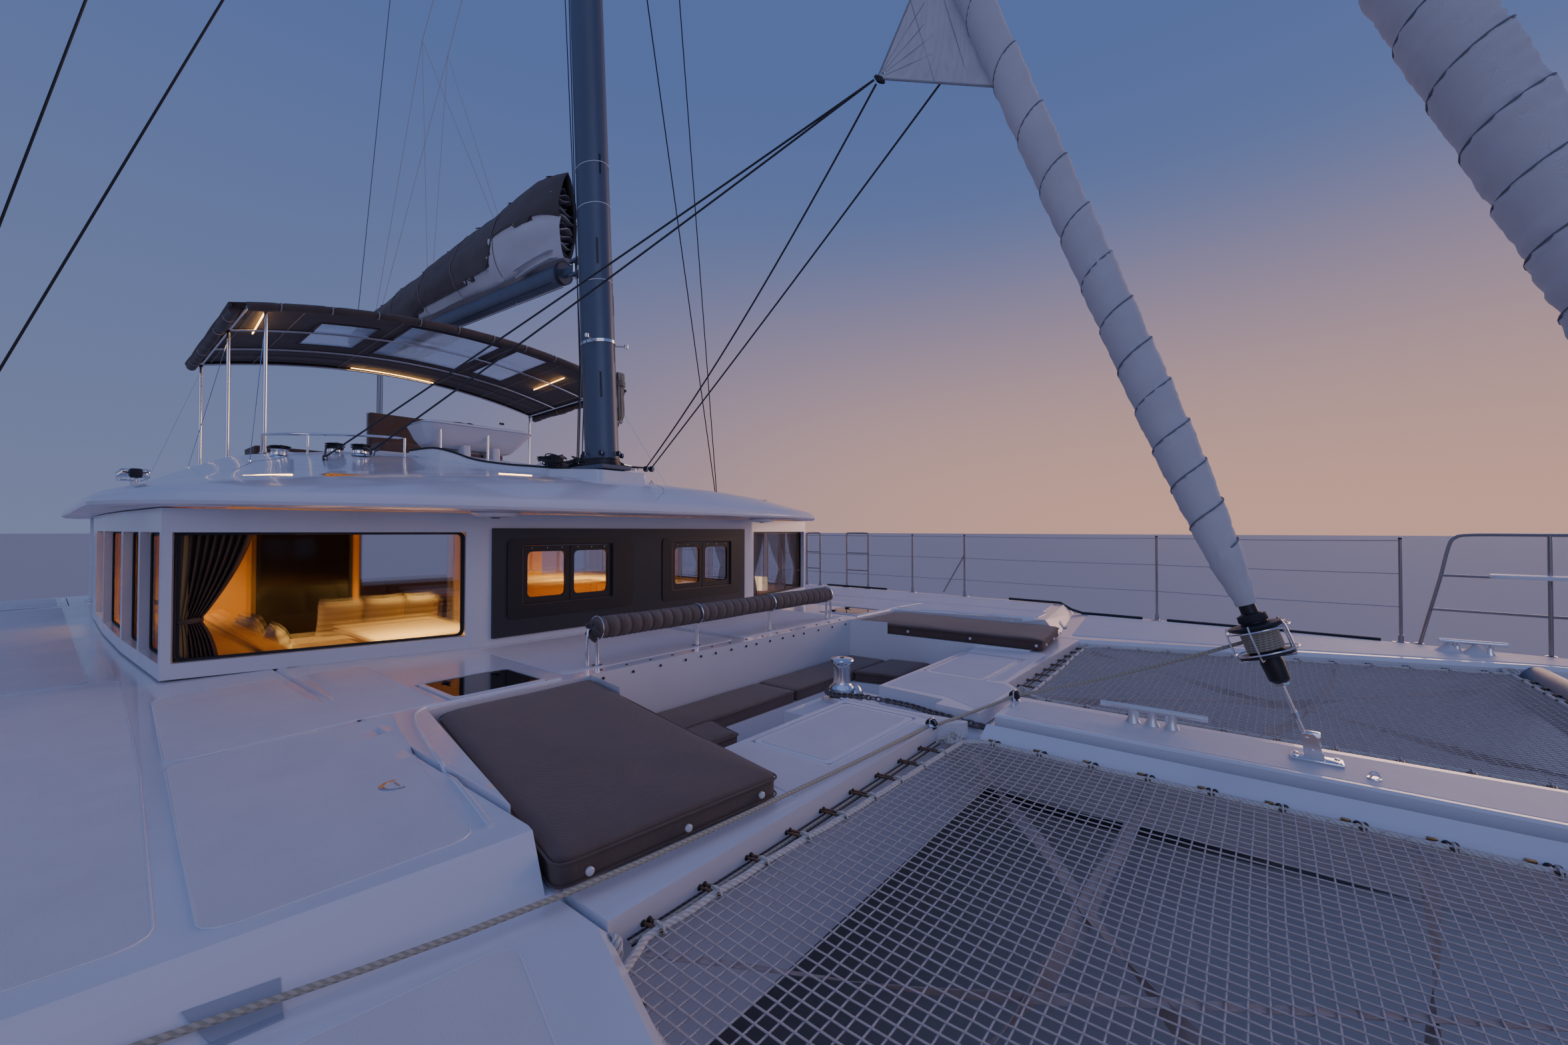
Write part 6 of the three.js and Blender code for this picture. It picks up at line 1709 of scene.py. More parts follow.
# Halyards at the mast's foot. Columns: x and y from the mast, look
FALLS = [
    (-0.06, -0.14, "dark_rope"), (-0.12, -0.09, "pale_rope"), (-0.17, -0.03, "dark_rope"),
    (-0.14, 0.06, "dark_rope"), (-0.07, 0.13, "rope"), (0.02, -0.17, "dark_rope"),
    (0.06, 0.17, "dark_rope"),
]


def mast_ropes():
    """Halyards before and behind the mast, their tails in heaps and a hank."""
    ropes = Form()
    for k, (dx, dy, look) in enumerate(FALLS):
        top = (mast_x(8.5) - 0.16 - 0.008 * k, dy * 0.7, 8.5)
        ropes.tube(spaced([(0.24 + dx - 0.12, dy * 1.15, 3.62), (0.14 + dx * 0.9, dy * 1.1, 4.6), top], 0.4),
                   0.0055, look, 6)
    for k, (y, look) in enumerate(((0.05, "dark_rope"), (-0.05, "pale_rope"), (0.0, "dark_rope"))):
        ropes.tube([(mast_x(8.5) - 0.19, y, 8.5), (mast_x(16.0) - 0.19, y, 16.0),
                    (mast_x(25.8) - 0.14, y * 0.5, 25.8)], 0.0045, look, 5)
    rope_heap(ropes, (-0.36, -0.17, 3.60), 0.13, 17, "dark_rope", 3)
    rope_heap(ropes, (-0.34, 0.14, 3.60), 0.14, 17, "dark_rope", 5)
    rope_heap(ropes, (-0.06, 0.42, 3.56), 0.10, 9, "dark_rope", 8)
    # A hank hung on the port side
    random.seed(12)
    for k in range(9):
        wide, low = random.uniform(0.022, 0.045), random.uniform(3.98, 4.12)
        y = 0.165 + 0.009 * k
        line = [(0.255 + wide * math.sin(2 * math.pi * n / 20) * 0.8, y + 0.008 * math.sin(n),
                 (4.56 + low) / 2 + (4.56 - low) / 2 * math.cos(2 * math.pi * n / 20)) for n in range(20)]
        ropes.tube(line, 0.0065, "rope", 6, closed=True)
    ropes.tube(coil((0.255, 0.20, 4.42), 0.052, 4, 0.014, "z", 12), 0.007, "rope", 6)
    ropes.piece("mast_ropes", weighted=False, even=False, angle=80)


def block_at(form, place, size):
    """A small block: two cheeks, a sheave and its pin."""
    x, y, z = place
    for way in (-1, 1):
        form.lathe([(0, 0), (size, 0), (size * 0.96, size * 0.16), (size * 0.5, size * 0.24),
                    (0, size * 0.24)], (x, y + way * size * 0.28, z), (x, y + way, z), "black", 18)
    form.lathe([(0, -size * 0.24), (size * 0.8, -size * 0.24), (size * 0.66, 0), (size * 0.8, size * 0.24),
                (0, size * 0.24)], (x, y, z), (x, y + 1, z), "steel", 16)


def rope_heap(form, place, size, count, look, seed):
    """A heap of loose loops of line."""
    random.seed(seed)
    for k in range(count):
        wide, turn = size * random.uniform(0.45, 1.0), random.uniform(0, 6.3)
        tilt = random.uniform(-0.35, 0.35)
        cx, cy = (random.uniform(-0.35, 0.35) * size for _ in range(2))
        rise = 0.008 + k * 0.10 / count
        ring = []
        for n in range(18):
            a = 2 * math.pi * n / 18
            px, py = math.cos(a) * wide, math.sin(a) * wide * 0.62
            ring.append((place[0] + cx + px * math.cos(turn) - py * math.sin(turn),
                         place[1] + cy + px * math.sin(turn) + py * math.cos(turn),
                         place[2] + rise + abs(math.sin(a + tilt)) * 0.03))
        form.tube(ring, 0.0058, look, 5, closed=True)


# Sail bag. Columns: x, height above the boom's top, half width at the widest
BAG = [(-0.40, 0.93, 0.13), (-0.62, 0.98, 0.24), (-0.9, 1.01, 0.285), (-3.5, 0.80, 0.25), (-6.0, 0.56, 0.20),
       (-7.2, 0.40, 0.15)]
BAG_FRONT = -0.40
# Hollow of the bag's open front. Columns: x, size against the bag there
BAG_HOLLOW = [(-1.30, 0.70), (-0.95, 0.80), (-0.62, 0.88), (-0.44, 0.93)]
# Share of the bag's height up to which the white sail shows, along the boom
BAG_OPEN = [(0.40, 0.50), (0.9, 0.46), (1.62, 0.50), (1.80, 0.17), (3.9, 0.15), (4.4, 0.02), (7.2, 0.0)]


def bag_high(x):
    """How far the bag stands above the boom's top."""
    return table(-x, [(-row[0], row[1]) for row in BAG])


def bag_ring(x):
    """The bag's skin at one station: full below, narrow above, creased, and sunk where the sail shows."""
    high = bag_high(x)
    half = table(-x, [(-row[0], row[2]) for row in BAG])
    base = boom_top(x) + 0.003
    corners = [(-0.35, 0), (0.35, 0), (1, 0.35), (0.8, 0.7), (0.2, 1), (-0.2, 1), (-0.8, 0.7), (-1, 0.35)]
    line = curve([(y * half * 0.97, h * high * 0.985, 0) for y, h in corners], 7, closed=True)
    ring = []
    for y, h, _ in line:
        h = max(0.0, h)
        crease = 0.030 * noise.noise(Vector((x * 1.3, y * 4.0, h * 5.0)))
        crease += 0.012 * noise.noise(Vector((x * 5, y * 9, h * 9)))
        open_to = table(-x, BAG_OPEN) * high
        sunk = 0.020 if h < open_to else 0.0
        centre = Vector((0, high * 0.45))
        spoke = Vector((y, h)) - centre
        pull = max(0.0, 0.012 + crease) + sunk
        place = centre + spoke * max(0.2, 1 - pull / max(0.05, spoke.length))
        ring.append((x, place.x, base + max(0.0, place.y)))
    return ring


def make_the_boom():
    """The boom with its pin, bands and eyes, and all that hangs on it."""
    form = Form()
    front = BOOM["front"] - 0.19
    stations = [front - (front - BOOM["end"]) * k / 14 for k in range(15)]
    rings = [[(x, math.cos(t) * BOOM["wide"] / 2, boom_z(x) + math.sin(t) * BOOM["high"] / 2)
              for t in around(32)] for x in stations]
    form.rings(rings, "spar")
    form.lathe([(0, -0.095), (BOOM["pin"], -0.095), (BOOM["pin"], 0.095), (0, 0.095)],
               (BOOM["front"], 0, BOOM["z"]), (BOOM["front"], 0, 9), "steel", 24)
    form.box((front - 0.02, BOOM["front"] + 0.005), (-0.03, 0.03), (BOOM["z"] - 0.04, BOOM["z"] + 0.04),
             "spar", 0.006)
    form.piece("boom_finished", "boom", "boom")
    trim = Form()
    for x in (front + 0.004, BOOM["end"] + 0.05):
        ring = [[(px, math.cos(t) * (BOOM["wide"] / 2 + g), boom_z(px) + math.sin(t) * (BOOM["high"] / 2 + g))
                 for t in around(32)]
                for px, g in ((x, 0.0), (x, 0.004), (x - 0.06, 0.004), (x - 0.06, 0.0))]
        trim.rings(ring, "black", closed=True)
    for x in (-1.5, -3.0, -4.5, -5.9, -6.1):
        z = boom_z(x) - BOOM["high"] / 2
        trim.tube([(x - 0.03, 0, z + 0.004), (x, 0, z - 0.03), (x + 0.03, 0, z + 0.004)], 0.005, "steel", 6)
    for y, look in ((-0.05, "dark_rope"), (0.05, "rope")):
        line = [(x, y * 1.45, boom_z(x) - BOOM["high"] / 2 * 0.80) for x in (-0.6, -3.5, -7.3)]
        trim.tube(line, 0.005, look, 6)
    trim.piece("boom_fittings", "boom", weighted=False)
    sail_bag()
    sail_folds()
    sail_bag_trim()
    boom_lines()


def sail_bag():
    """The bag on the boom, hollow at its open front, with the white sail showing in its mouth."""
    bag = Form()
    count = 80
    rings = []
    for x, size in BAG_HOLLOW:
        ring = bag_ring(x)
        middle = boom_top(x) + 0.48 * bag_high(x)
        rings.append([(x, y * size, middle + (z - middle) * size) for _, y, z in ring])
    rings += [bag_ring(BAG_FRONT - (7.2 + BAG_FRONT) * k / count) for k in range(count + 1)]
    bag.rings(rings, "canvas")
    inner = len(rings[0]) * len(BAG_HOLLOW)
    for i, face in enumerate(bag.faces):
        if len(face) > 4 or min(face) < inner:
            continue
        middle = sum((Vector(bag.points[k]) for k in face), Vector()) / 4
        share = (middle.z - boom_z(middle.x) - BOOM["high"] / 2) / bag_high(middle.x)
        if share < table(-middle.x, BAG_OPEN):
            bag.shades[i] = "sailcloth"
    bag.piece("sail_bag_cover", "boom", "sail_bag", weighted=False, angle=50)


def sail_folds():
    """Folds of the sail that show at the bag's open front."""
    stack = Form()
    for k in range(13):
        low = 0.05 + k * 0.062
        half = (0.125 + 0.035 * math.sin(k * 1.9)) * (1 - 0.35 * max(0, k - 7) / 6)
        rows = []
        for step in range(15):
            part = step / 14
            x = -0.47 - 0.03 * math.sin(k * 2.3) - 0.75 * part
            base = boom_top(x)
            rows.append([(x - 0.05 * (y / half) ** 2, y,
                          base + low + 0.020 * math.cos(3.4 * y / half + k) - 0.05 * part ** 2)
                         for y in (half * (2 * n / 12 - 1) for n in range(13))])
        # Above the sixth fold every other fold is darker grey: painted shade between the folds
        stack.sheet(rows, "sailcloth" if k < 6 or k % 2 else "grey_tape_and_fold_shade", 0.010)
    stack.piece("sail_folds", "boom", weighted=False, angle=70)


def sail_bag_trim():
    """Hems along the bag's mouth, straps round it and its seam on top."""
    trim = Form()
    for side in SIDES.values():
        line = []
        for k in range(81):
            x = BAG_FRONT - 0.01 - 4.0 * k / 80
            ring = bag_ring(x)
            share = table(-x, BAG_OPEN)
            base, high = boom_top(x), bag_high(x)
            near = min((p for p in ring if p[1] * side > 0.02), key=lambda p: abs(p[2] - base - share * high))
            line.append((x, near[1] + side * 0.008, near[2]))
        trim.tube(line, 0.009, "canvas", 6)
        for x in (-1.6, -2.7, -3.8, -4.9, -6.0):
            ring = [p for p in bag_ring(x) if p[1] * side > 0.0]
            strap = [(p[0], p[1] + side * 0.006, p[2]) for p in sorted(ring, key=lambda p: p[2])][2:]
            trim.tube(strap, 0.010, "webbing", 4, flat=0.3)
    for k in range(8):
        x = -0.75 - 0.85 * k
        top = max(p[2] for p in bag_ring(x))
        trim.tube([(x, -0.05, top - 0.01), (x + 0.02, 0, top + 0.012), (x, 0.05, top - 0.01)], 0.007,
                  "canvas", 6)
    ridge = [(x, 0.0, max(p[2] for p in bag_ring(x)) + 0.002)
             for x in (BAG_FRONT - 6.78 * k / 30 for k in range(31))]
    trim.tube(ridge, 0.010, "canvas", 8)
    trim.piece("sail_bag_trim", "boom", weighted=False)


def boom_lines():
    """Lines from the mast and the roof to the boom."""
    head = (mast_x(26.2) - 0.2, 0.0, 26.2)
    end = (BOOM["end"] + 0.06, 0.0, boom_top(BOOM["end"]))
    lift = Form().tube(spaced([head, end], 0.8), 0.005, "dark_rope", 6)
    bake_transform(lift.piece("topping_lift", None, weighted=False))
    for name, side in SIDES.items():
        upper = (mast_x(13.5) - 0.22, side * 0.09, 13.5)
        split = (-3.9, side * 0.17, 9.9)
        lazy = Form()
        lazy.tube(spaced([upper, split], 0.6), 0.0035, "rope", 5)
        for x in (-2.0, -4.0, -6.1):
            ring = bag_ring(x)
            foot = max((p for p in ring if p[1] * side > 0.01), key=lambda p: p[2] - abs(p[1]) * 0.2)
            lazy.tube(spaced([split, (foot[0], foot[1] + side * 0.02, foot[2])], 0.5), 0.003, "rope", 5)
        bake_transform(lazy.piece(f"lazy_jack_{name}", None, weighted=False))
    track_z = roof_z(-6.02, 0.0)
    track = Form()
    track.tube([(-6.02, y, roof_z(-6.02, y) + 0.012) for y in (-1.5, -0.75, 0, 0.75, 1.5)], 0.014, "black",
               8, flat=0.8)
    track.box((-6.08, -5.96), (-0.07, 0.07), (track_z + 0.018, track_z + 0.05), "steel", 0.01)
    block_at(track, (-6.02, -0.03, track_z + 0.09), 0.04)
    block_at(track, (-6.02, 0.03, track_z + 0.09), 0.04)
    track.piece("mainsheet_track", weighted=False)
    low, high = (-6.02, 0.0, track_z + 0.10), (-6.0, 0.0, boom_z(-6.0) - BOOM["high"] / 2 - 0.05)
    tackle = Form()
    for k in range(5):
        y = -0.036 + 0.018 * k
        tackle.tube(spaced([(low[0] + 0.01 * (k % 2), y, low[2]), (high[0] - 0.01 * (k % 2), y, high[2])],
                           0.3), 0.005, "dark_rope", 6)
    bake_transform(tackle.piece("mainsheet_tackle", None, weighted=False))
    upper_block = Form()
    block_at(upper_block, (high[0], -0.025, high[2] + 0.02), 0.038)
    block_at(upper_block, (high[0], 0.025, high[2] + 0.02), 0.038)
    upper_block.piece("mainsheet_upper_blocks", "boom", weighted=False)


# Furled headsails

STAYS = {
    "genoa": {"foot": (5.53, 1.96), "slope": -0.359, "top": 18.6, "low": 2.62, "radius": 0.10, "tip": 0.045,
              "drum": 0.11},
    "foresail": {"foot": (6.99, 1.96), "slope": -0.352, "top": 24.3, "low": 2.50, "radius": 0.145,
                 "tip": 0.045, "drum": 0.12},
}


def stay_at(stay, z):
    """A place on a stay by its height."""
    return Vector((stay["foot"][0] + (z - stay["foot"][1]) * stay["slope"], 0, z))


def stay_axes(stay):
    """Directions along a stay, to port of it and across both."""
    ahead = (stay_at(stay, 10) - stay_at(stay, 2)).normalized()
    right = Vector((0, 1, 0))
    return ahead, right, ahead.cross(right)


# How often the free edge goes round its sail. Columns: height, turns
TURNS = {
    "genoa": [(2.4, -6.8), (2.72, -5), (3.08, -3), (3.47, -1), (3.681, 0), (3.90, 1), (4.129, 2), (4.387, 3),
              (4.68, 4), (4.988, 5), (5.334, 6), (5.745, 7), (6.2, 8), (7.3, 10), (9.8, 14), (19.0, 28)],
    "foresail": [(2.3, -11.4), (3.5, -5.8), (4.13, -3), (4.361, -2), (4.593, -1), (4.858, 0), (5.12, 1),
                 (6.6, 6), (9.0, 12), (24.6, 40)],
}


def wrap_fold(wrap):
    """How far a layer stands out, as a share of the radius, from its start at 0 to the free edge at 1."""
    return 0.10 * wrap ** 2.2 + 0.05 * math.sin(wrap * math.pi) - 0.085


def furled_sail(name, seed):
    """Cloth rolled round its stay: the free edge runs up as a spiral step, with folds along it."""
    stay = STAYS[name]
    a, b = stay_at(stay, stay["low"]), stay_at(stay, stay["top"])
    long = (b - a).length
    ahead, right, up = stay_axes(stay)
    radii = [(0.0, 0.040), (0.004, 0.052), (0.012, stay["radius"] * 0.72), (0.03, stay["radius"] * 0.9),
             (0.05, stay["radius"]), (0.45, stay["radius"] * 0.95), (0.97, stay["tip"]), (1.0, 0.022)]
    sides = 48
    stations, s = [], 0.0
    while s < long:
        stations.append(s)
        s += 0.02 if s < 4.2 else 0.08
    rings = []
    for s in stations + [long]:
        size = table(s / long, radii)
        place = a + ahead * s
        turns = table(place.z, TURNS[name])
        ring = []
        for k in range(sides):
            turn = 2 * math.pi * k / sides
            wrap = (turns - k / sides + 0.75) % 1.0
            crease = 0.050 * noise.noise(Vector((wrap * 5.0, turns * 0.9 + wrap, seed)))
            crease += 0.035 * noise.noise(Vector((wrap * 9.0 + turns * 2.0, turns * 1.7, seed + 4)))
            crease += 0.016 * noise.noise(Vector((wrap * 16.0 - turns * 5.0, turns * 3.0, seed + 8))) * wrap
            reach = size * (1 + wrap_fold(wrap) + crease)
            ring.append(place + right * (math.cos(turn) * reach) + up * (math.sin(turn) * reach))
        rings.append(ring)
    form = Form().rings(rings, "sailcloth")
    heights = [(row[1], row[0]) for row in TURNS[name]]
    # A thin hem tube under the free edge's step; its dark grey is a painted shadow line
    shadow_hem, turns = [], table(a.z + 0.25, TURNS[name])
    while turns < table(min(b.z - 0.3, 12.0), TURNS[name]):
        s = (table(turns, heights) - a.z) / ahead.z
        reach = table(s / long, radii) * (1 + wrap_fold(0.97)) - 0.0015
        turn = 2 * math.pi * (turns + 0.755)
        shadow_hem.append(a + ahead * s + right * (math.cos(turn) * reach) + up * (math.sin(turn) * reach))
        turns += 1 / 26
    form.tube(shadow_hem, 0.0042, "hem_painted_shadow", 5)
    return form


def make_the_headsails():
    """Both furled sails with their stays, furlers, clew and sheets."""
    furled_sail("genoa", 2.0).piece("genoa_rolled", replaces="genoa", weighted=False, angle=60)
    furled_sail("foresail", 5.0).piece("foresail_rolled", replaces="foresail", weighted=False, angle=60)
    for name in STAYS:
        stay = STAYS[name]
        wire = Form()
        wire.tube([stay_at(stay, stay["top"] - 0.2), stay_at(stay, stay["top"] + 0.9)], 0.009, "steel", 8)
        wire.piece(f"{name}_stay")
        make_furler(name, stay)
    clew()
    sheets()


def clew():
    """The genoa's corner, which stands out from the roll, with its ring and the knots of the sheets."""
    low, high, tip = Vector((4.27, 0, 5.50)), Vector((3.90, 0, 6.87)), Vector((3.36, 0, 5.99))
    rows = []
    for r in range(15):
        part = r / 14
        start, end = low.lerp(tip, part), high.lerp(tip, part)
        row = []
        for c in range(15):
            p = start.lerp(end, c / 14)
            ripple = 0.0035 * math.sin(part * 16 + c * 0.5) * (1 - part)
            row.append((p + Vector((0, ripple, 0)))[:])
        rows.append(row)
    form = Form().sheet(rows, "sailcloth", 0.004)
    for a, b in ((low, tip), (high, tip)):
        form.tube([a.lerp(b, k / 10) for k in range(11)], 0.007, "grey_tape_and_fold_shade", 6)
    for k in range(1, 5):
        edge = low.lerp(high, 0.15 + k * 0.16)
        form.tube([tip.lerp(edge, 0.06), tip.lerp(edge, 0.55 - 0.05 * (k % 2))], 0.0022, "grey_tape_and_fold_shade", 4)
    for share in (0.30, 0.55):
        form.tube([low.lerp(tip, share), high.lerp(tip, share)], 0.0020, "grey_tape_and_fold_shade", 4)
    form.piece("genoa_clew", replaces="genoa", weighted=False, angle=60)
    ring = Form()
    at = tip + Vector((0.035, 0, 0))
    ring.tube([at + Vector((math.cos(t) * 0.022, 0, math.sin(t) * 0.022))
               for t in around(16)], 0.006, "steel", 8, closed=True)
    for k in range(3):
        ring.tube([at + Vector((-0.01 - math.cos(t) * 0.026 - 0.008 * k, math.sin(t) * 0.018,
                                -0.03 + 0.016 * k + math.cos(t) * 0.016))
                   for t in around(12)], 0.0075, "dark_rope", 6, closed=True)
    ring.piece("clew_ring", weighted=False)


# Sheets of the headsail. Columns: points from the clew to the winch, look
SHEETS = [
    ([(3.34, -0.01, 5.985), (-0.45, -1.75, 3.62), (-1.55, -1.44, 3.77)], "dark_rope"),
    ([(3.34, -0.02, 5.975), (-1.12, -1.91, 3.60), (-1.95, -1.70, 3.80)], "dark_rope"),
    ([(3.34, 0.02, 5.975), (0.40, 0.42, 3.60), (-1.5, 0.44, 3.81)], "dark_rope"),
    ([(3.88, 0.03, 5.84), (0.44, 0.46, 3.60), (-1.4, 0.52, 3.74)], "dark_rope"),
]


def sheets():
    """Sheets of the genoa, the blocks that turn them and their wraps on the winches."""
    form = Form()
    for k, (points, look) in enumerate(SHEETS):
        first = sagged(points[0], points[1], 0.02 + 0.10 * (k == 2), 14)
        form.tube(first + [points[2]], 0.0075, look, 6)
        x, y, _ = points[1]
        z = roof_z(x, y)
        form.tube([(x - 0.03, y, z), (x, y, z + 0.035), (x + 0.03, y, z)], 0.006, "steel", 6)
        block_at(form, (x, y, points[1][2] - 0.012), 0.030)
    for k in range(3):
        for x, y, z in ((-1.95, -1.626, 3.766), (-1.55, -1.518, 3.731), (-1.5, 0.37, 3.791)):
            form.tube(coil((x, y, z + 0.004 * k), 0.066, 2, 0.010, "z", 14), 0.005, "dark_rope", 6)
    form.piece("headsail_sheets", weighted=False, even=False, angle=80)


def make_furler(name, stay):
    """Drum, cage and line, the rod below them, and the plate it is pinned to."""
    foot = stay_at(stay, stay["foot"][1])
    ahead, right, up = stay_axes(stay)
    scale = math.hypot(1, stay["slope"])

    def along(z):
        return (z - stay["foot"][1]) * scale

    low, top, drum = along(stay["low"] - 0.23), along(stay["low"]), stay["drum"]
    form = Form()
    at, to = foot, foot + ahead
    form.lathe([(0, low), (0.05, low), (0.055, low + 0.006), (drum - 0.004, low + 0.010), (drum, low + 0.014),
                (drum - 0.002, low + 0.020), (0.064, low + 0.030), (0.062, low + 0.120),
                (drum - 0.012, low + 0.134), (drum, low + 0.144), (drum - 0.004, low + 0.152),
                (0.052, low + 0.160), (0.046, low + 0.20), (0.034, low + 0.205), (0.032, top + 0.02),
                (0, top + 0.02)], at, to, "black", 40)
    form.lathe([(0.034, low + 0.166), (0.056, low + 0.166), (0.058, low + 0.172), (0.056, low + 0.196),
                (0.034, low + 0.2)], at, to, "rubber", 32)
    form.lathe([(0, low - 0.115), (0.026, low - 0.115), (0.040, low - 0.10), (0.044, low - 0.02),
                (0.040, low), (0, low)], at, to, "black", 28)
    form.lathe([(0, low - 0.125), (0.030, low - 0.125), (0.030, low - 0.112), (0, low - 0.112)], at, to,
               "steel", 6)
    for way in (-1, 1):
        leg = right * (0.0155 * way)
        form.lathe([(0, 0.10), (0.0075, 0.10), (0.0075, low - 0.12), (0, low - 0.12)], at + leg, to + leg,
                   "steel", 12)
        form.lathe([(0, 0.19), (0.012, 0.19), (0.012, 0.215), (0, 0.215)], at + leg, to + leg, "steel", 6)
    form.box((foot.x - 0.088, foot.x + 0.088), (-0.043, 0.043), (foot.z + 0.001, foot.z + 0.015), "steel",
             0.005)
    for x in (-0.068, 0.068):
        for y in (-0.028, 0.028):
            form.standing([(0, 0), (0.010, 0), (0.009, 0.004), (0, 0.005)], (foot.x + x, y, foot.z + 0.015),
                          "steel", 14)
    for y in (-0.026, 0.026):
        outline = [(foot.x - 0.040, foot.z + 0.012), (foot.x + 0.030, foot.z + 0.012),
                   (foot.x - 0.006, foot.z + 0.12), (foot.x - 0.052, foot.z + 0.12)]
        form.prism(rounded(outline, 0.012, 3), "y", y - 0.005, y + 0.005, "steel")
    for z in (0.045, 0.095):
        p = stay_at(stay, foot.z + z)
        form.lathe([(0, -0.038), (0.011, -0.038), (0.011, 0.038), (0, 0.038)], p, p + Vector((0, 1, 0)),
                   "steel", 16)
    form.box((foot.x - 0.045, foot.x + 0.015), (-0.018, 0.018), (foot.z + 0.06, foot.z + 0.125), "steel",
             0.006)
    # The cage's bars. Columns: height above the drum's foot, distance out
    bar = ((0.004, 0.05), (0.002, drum + 0.004), (0.03, drum + 0.010), (0.13, drum + 0.010),
           (0.158, drum + 0.002))
    for k in range(5):
        turn = 2 * math.pi * k / 5 + 0.4
        out = right * math.cos(turn) + up * math.sin(turn)
        form.tube([at + ahead * (low + rise) + out * reach for rise, reach in bar], 0.0042, "steel", 8)
    for height in (low + 0.03, low + 0.13):
        ring = [at + ahead * height + (right * math.cos(t) + up * math.sin(t)) * (drum + 0.010)
                for t in around(36)]
        form.tube(ring, 0.0036, "steel", 6, closed=True)
    form.piece(f"{name}_furler_finished", replaces=f"{name}_furler", weighted=False)
    line = Form()
    wraps = []
    for k in range(16 * 8):
        turn = 2 * math.pi * k / 16
        out = right * math.cos(turn) + up * math.sin(turn)
        wraps.append(at + ahead * (low + 0.036 + 0.0105 * k / 16) + out * 0.070)
    line.tube(wraps, 0.0052, "rope", 6)
    line.piece(f"{name}_furler_turns", weighted=False)


# Windlass, chain and lines on the foredeck

WINDLASS = {"x": 3.12, "y": -0.06, "pad": 1.806,
            "hood": {"x": 0.072, "y": 0.036, "long": 0.068, "wide": 0.066, "high": 0.105,
                     "below_drum": 0.064, "drum": 0.097}}


def make_the_windlass():
    """Foot, hood and drum of the windlass."""
    x, y, pad = WINDLASS["x"], WINDLASS["y"], WINDLASS["pad"]
    at, up = (x, y, pad), (x, y, pad + 1)
    base = Form()
    base.plate(rounded(rectangle((x - 0.129, x + 0.129), (y - 0.094, y + 0.094)), 0.06, 6),
               pad + 0.001, pad + 0.014, "steel", 0.004)
    base.lathe([(0, 0.010), (0.092, 0.010), (0.0925, 0.018), (0.091, 0.034), (0.084, 0.042), (0.080, 0.048),
                (0.080, 0.068), (0.078, 0.0715), (0, 0.0715)], at, up, "steel", 48)
    for px in (-0.105, 0.105):
        for py in (-0.05, 0.05):
            base.standing([(0, 0), (0.008, 0), (0.007, 0.004), (0, 0.005)], (x + px, y + py, pad + 0.014),
                          "steel", 12)
    hood = WINDLASS["hood"]
    rings = []
    for share in (0.0, 0.25, 0.5, 0.7, 0.85, 0.95, 1.0):
        shrink = math.sqrt(max(0.0, 1 - (share * 0.985) ** 2))
        ring = []
        for n in range(40):
            t = 2 * math.pi * n / 40
            off_x = hood["x"] + hood["long"] * shrink * math.cos(t)
            off_y = hood["y"] + hood["wide"] * shrink * math.sin(t)
            high = hood["high"] * share
            if math.hypot(off_x, off_y) < hood["drum"]:
                high = min(high, hood["below_drum"] - 0.012)
            ring.append((x + off_x, y + off_y, pad + 0.012 + high))
        rings.append(ring)
    base.rings(rings, "steel")
    base.piece("windlass_base_finished", replaces="windlass_base")
    drum = Form()
    start = 0.0725
    drum.lathe([(0, start), (0.080, start), (0.086, start + 0.006), (0.088, start + 0.013),
                (0.083, start + 0.022), (0.070, start + 0.033), (0.062, start + 0.042),
                (0.057, start + 0.052), (0.0535, start + 0.095), (0.053, start + 0.128),
                (0.054, start + 0.158), (0.058, start + 0.172), (0.068, start + 0.182),
                (0.076, start + 0.190), (0.080, start + 0.200), (0.076, start + 0.208),
                (0.060, start + 0.213), (0.030, start + 0.216), (0, start + 0.216)], at, up, "steel", 56)
    drum.lathe([(0, start + 0.2155), (0.016, start + 0.2155), (0.015, start + 0.219), (0, start + 0.2195)],
               at, up, "black", 6)
    for k in range(8):
        turn = 2 * math.pi * k / 8
        drum.tube([(x + math.cos(turn) * r, y + math.sin(turn) * r, pad + start + h)
                   for r, h in ((0.0605, 0.047), (0.0560, 0.062), (0.0540, 0.095), (0.0535, 0.13),
                                (0.0540, 0.155))], 0.0032, "steel", 6)
    drum.piece("windlass_drum_finished", "windlass_drum", "windlass_drum")
    chain_and_deck_lines()


# The chain's way from the windlass to the bow
CHAIN_WAY = [
    (3.0185, -0.097, 1.866), (3.058, -0.1485, 1.866), (3.120, -0.168, 1.868), (3.200, -0.172, 1.876),
    (3.300, -0.176, 1.890), (3.380, -0.180, 1.898), (3.520, -0.172, 1.899), (3.610, -0.170, 1.899),
    (3.700, -0.180, 1.900), (3.780, -0.203, 1.901), (3.870, -0.230, 1.902), (3.950, -0.244, 1.902),
    (4.080, -0.263, 1.901), (4.200, -0.277, 1.898), (4.280, -0.281, 1.8965), (5.500, -0.281, 1.8965),
    (6.810, -0.281, 1.8965),
]


